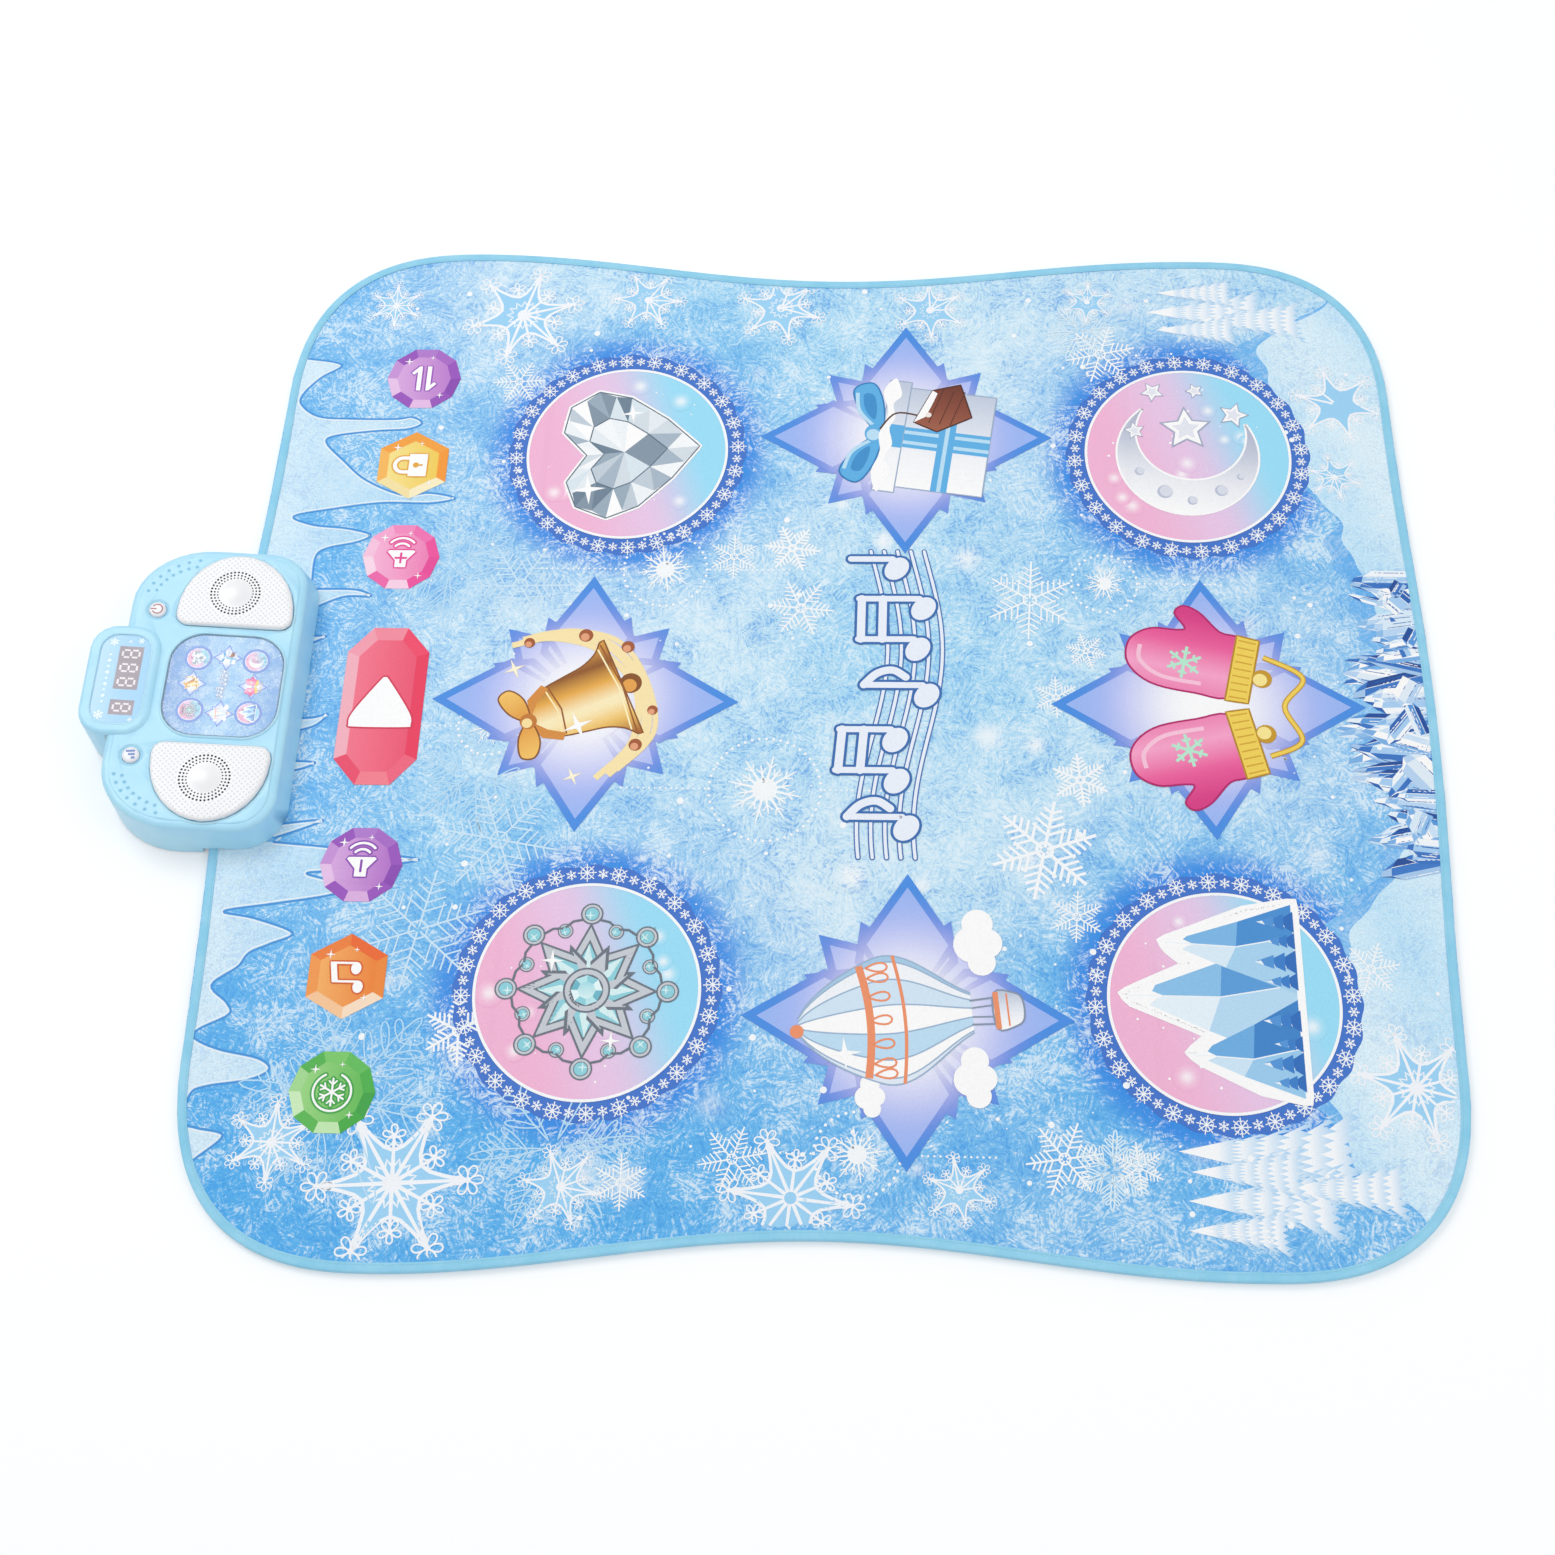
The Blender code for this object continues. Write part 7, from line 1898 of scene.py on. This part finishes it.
def dimplePlaces(side):
    # Two rows along the outer shoulder of one lobe, on arcs of an ellipse
    shoulder = np.array([dimpleShape["shoulderX"], dimpleShape["shoulderY"]])
    centre = np.array([shoulder[0] - unitPlace["left"], unitPlace["reach"] - shoulder[1]])
    rows = [centre + (shoulder - inset) * direction(np.radians(np.linspace(first, last, 7)))
            for inset, first, last in dimpleShape["rows"]]
    return np.concatenate(rows) * (1, side)


def makeFaceMarks():
    # Painted shade: dark discs over the mouths of the sound holes in three rings, and the dished dimples on
    # the shoulders, darker towards their middles
    holeShade = moulded("painted_sound_hole_shade",
                   {"light": "#2C2C31", "dark": "#1D1D21", "roughness": 0.95, "grainMm": 0.5})
    for side, name in ((1, "far"), (-1, "near")):
        middle = (faceShape["speakerX"], side * faceShape["speakerY"])
        # painted shade: near black discs on the grille's face over each hole stand for the shade inside it
        mouths = [dot(*place, hole, "#333338", 12)
                  for reach, hole, count in soundHoles for place in ringPoints(middle, reach, count)]
        onFace("sound_hole_shade_" + name, mouths, 0.00353, holeShade)
    s = dimpleShape
    sides = s["sides"]
    # the bowl's inks are painted shade: darker in the middle of each dimple, up to the case's colour at its
    # rim
    tones = np.array([ink(tone) for tone in s["inks"]])
    colours = np.concatenate([tones[:1], np.repeat(tones[1:], sides, 0)])
    height = np.concatenate([[s["middle"]], np.repeat([level for reach, level in s["bowl"]], sides)])
    patches = []
    for place in np.concatenate([dimplePlaces(1), dimplePlaces(-1)]):
        points = np.concatenate([[place], *(ringPoints(place, reach, sides) for reach, level in s["bowl"])])
        patches.append(inked(points, ringedTriangles(len(s["bowl"]), sides), lambda x, y: colours))
    points, triangles, colours = joined(patches)
    dimple = moulded("dished_case_plastic", {"inked": True, "light": "#FFFFFF", "dark": "#F4F8FA",
                                             "roughness": 0.35, "grainMm": 0.8})
    places = tilted(points, np.tile(height, len(patches)))
    makePiece("face_dimples", places, triangles, dimple, colours=colours)


grilleShape = {"half": 0.044, "corner": 0.009, "low": 0.050, "arcMiddle": 0.062, "arcReach": 0.0505}
rimRise, rimFoot = 0.0004, 0.0004  # how far a rim stands over the case, and how far its feet lie in it


def grilleEdge(side, outside):
    # The D of a speaker grille: half an ellipse over a short straight side with round corners
    s = grilleShape
    half, corner, low = s["half"] + outside, s["corner"] + outside, s["low"] - outside
    bow = direction(np.radians(np.linspace(0, 180, 49))) * (half, s["arcReach"] + outside)
    bow += (0, s["arcMiddle"])
    points = np.concatenate([bow, arc(corner - half, low + corner, corner, 180, 270, 7),
                             arc(half - corner, low + corner, corner, 270, 360, 7)])
    return points if side > 0 else points[::-1] * (1, -1)


def bead(name, edge, first, width, base):
    # A slim half round rim on the sloping face, a little paler than the case as a painted highlight, as half
    # a sine across.
    # Edge gives the outline at any distance outside it.
    share = np.linspace(0, 1, 7)
    lines = [edge(first + width * part) for part in share]
    up = base - rimFoot + (rimRise + rimFoot) * np.sin(share * math.pi)
    triangles = gridTriangles(len(share), len(lines[0]), closed=True)[:, ::-1]
    makePiece(name, tilted(np.concatenate(lines), np.repeat(up, len(lines[0]))), triangles, looks["painted_highlight_rim"])


def makeRims():
    # Raised rims round the grilles, the light panel and the display window, in a paler plastic that is their
    # painted highlight
    bead("grille_rim_far", lambda outside: grilleEdge(1, outside), 0.0007, 0.0014, 0.0)
    bead("grille_rim_near", lambda outside: grilleEdge(-1, outside), 0.0007, 0.0014, 0.0)
    bead("panel_rim", lambda outside: grownBox(faceShape["panel"], outside, 16), 0.0004, 0.0014, 0.0009)
    bead("window_rim", lambda outside: grownBox(faceShape["window"], outside, 16), 0.0009, 0.0013,
         nodeTop("display_window") + 0.0006)


makePanelPrint()
makeWindowPrint()
makeButtonSigns()
makeFaceMarks()
makeRims()
print("control unit printed")


# Camera, lamps and floor

cameraPlace = {"place": (0.0356, -0.6815, 1.3457), "turn": (24.93, 2.130, 1.790), "lens": 45.67}
roomLight = 0.66
lamps = {
    # place, size in metres and power in watts: large and soft over the far left, weaker over the right
    "key_lamp": ((-1.3, 1.1, 2.3), 1.6, 23.0),
    "fill_lamp": ((1.6, -0.6, 2.0), 1.8, 8.0),
}
floorShape = {"reach": 6.0, "drop": 0.0002, "glow": 0.2}


def makeStage():
    # A wide pale floor that shows white to the camera and still takes the object's shadow
    s = floorShape
    made, tree, shader = newMaterial("pale_studio_floor",
                                     {"Roughness": 0.9, "Base Color": (0.86, 0.87, 0.88, 1)})
    seen = addNode(tree, "LightPath").outputs
    some = addNode(tree, "Math", [seen["Is Camera Ray"], seen["Is Glossy Ray"]], operation="MAXIMUM")
    most = addNode(tree, "Math", [some, seen["Is Transmission Ray"]], operation="MAXIMUM")
    amount = addNode(tree, "Math", [most, s["glow"]], operation="MULTIPLY")
    glow = addNode(tree, "Emission", {"Strength": amount})
    both = addNode(tree, "AddShader", [shader, glow])
    # far from the object the floor is plain white to the camera, so that it has no horizon
    place = addNode(tree, "TexCoord").outputs["Object"]
    away = addNode(tree, "VectorMath", [place], operation="LENGTH").outputs["Value"]
    far = addNode(tree, "MapRange", [away, 1.0, 2.0, 0.0, 1.0], interpolation_type="SMOOTHSTEP")
    share = addNode(tree, "Math", [far, most], operation="MULTIPLY")
    white = addNode(tree, "Emission", {"Strength": 1.0})
    mixed = addNode(tree, "MixShader", {0: share, 1: both, 2: white})
    setInputs(tree, tree.nodes["Material Output"], {"Surface": mixed})
    mesh = bpy.data.meshes.new("studio_floor")
    corners = [(x * s["reach"], y * s["reach"], -s["drop"]) for x, y in ((-1, -1), (1, -1), (1, 1), (-1, 1))]
    mesh.from_pydata(corners, [], [(0, 1, 2, 3)])
    mesh.materials.append(made)
    addPiece("studio_floor", mesh)


def makeLights():
    # An even white room with two soft lamps that point at the object
    world = bpy.data.worlds.new("studio")
    bpy.context.scene.world = world
    world.use_nodes = True
    tree = world.node_tree
    seen = addNode(tree, "LightPath").outputs["Is Camera Ray"]
    level = addNode(tree, "MapRange", [seen, 0.0, 1.0, roomLight, 1.0])
    setInputs(tree, tree.nodes["Background"], {"Strength": level, "Color": (1, 1, 1, 1)})
    for name, (place, size, power) in lamps.items():
        lamp = bpy.data.lights.new(name, "AREA")
        lamp.shape = "DISK"
        lamp.size = size
        lamp.energy = power
        holder = bpy.data.objects.new(name, lamp)
        holder.location = place
        holder.rotation_euler = (-holder.location).to_track_quat("-Z", "Y").to_euler()
        bpy.context.scene.collection.objects.link(holder)


def makeCamera():
    # The place, turn and lens that were fitted to the photograph
    camera = bpy.data.cameras.new("camera")
    camera.lens = cameraPlace["lens"]
    camera.sensor_width = 36.0
    camera.clip_start = 0.02
    holder = bpy.data.objects.new("camera", camera)
    holder.location = cameraPlace["place"]
    holder.rotation_euler = [math.radians(a) for a in cameraPlace["turn"]]
    bpy.context.scene.collection.objects.link(holder)
    bpy.context.scene.camera = holder


makeStage()
makeLights()
makeCamera()
bpy.context.scene.view_settings.view_transform = "Standard"
print("stage, lamps and camera set")
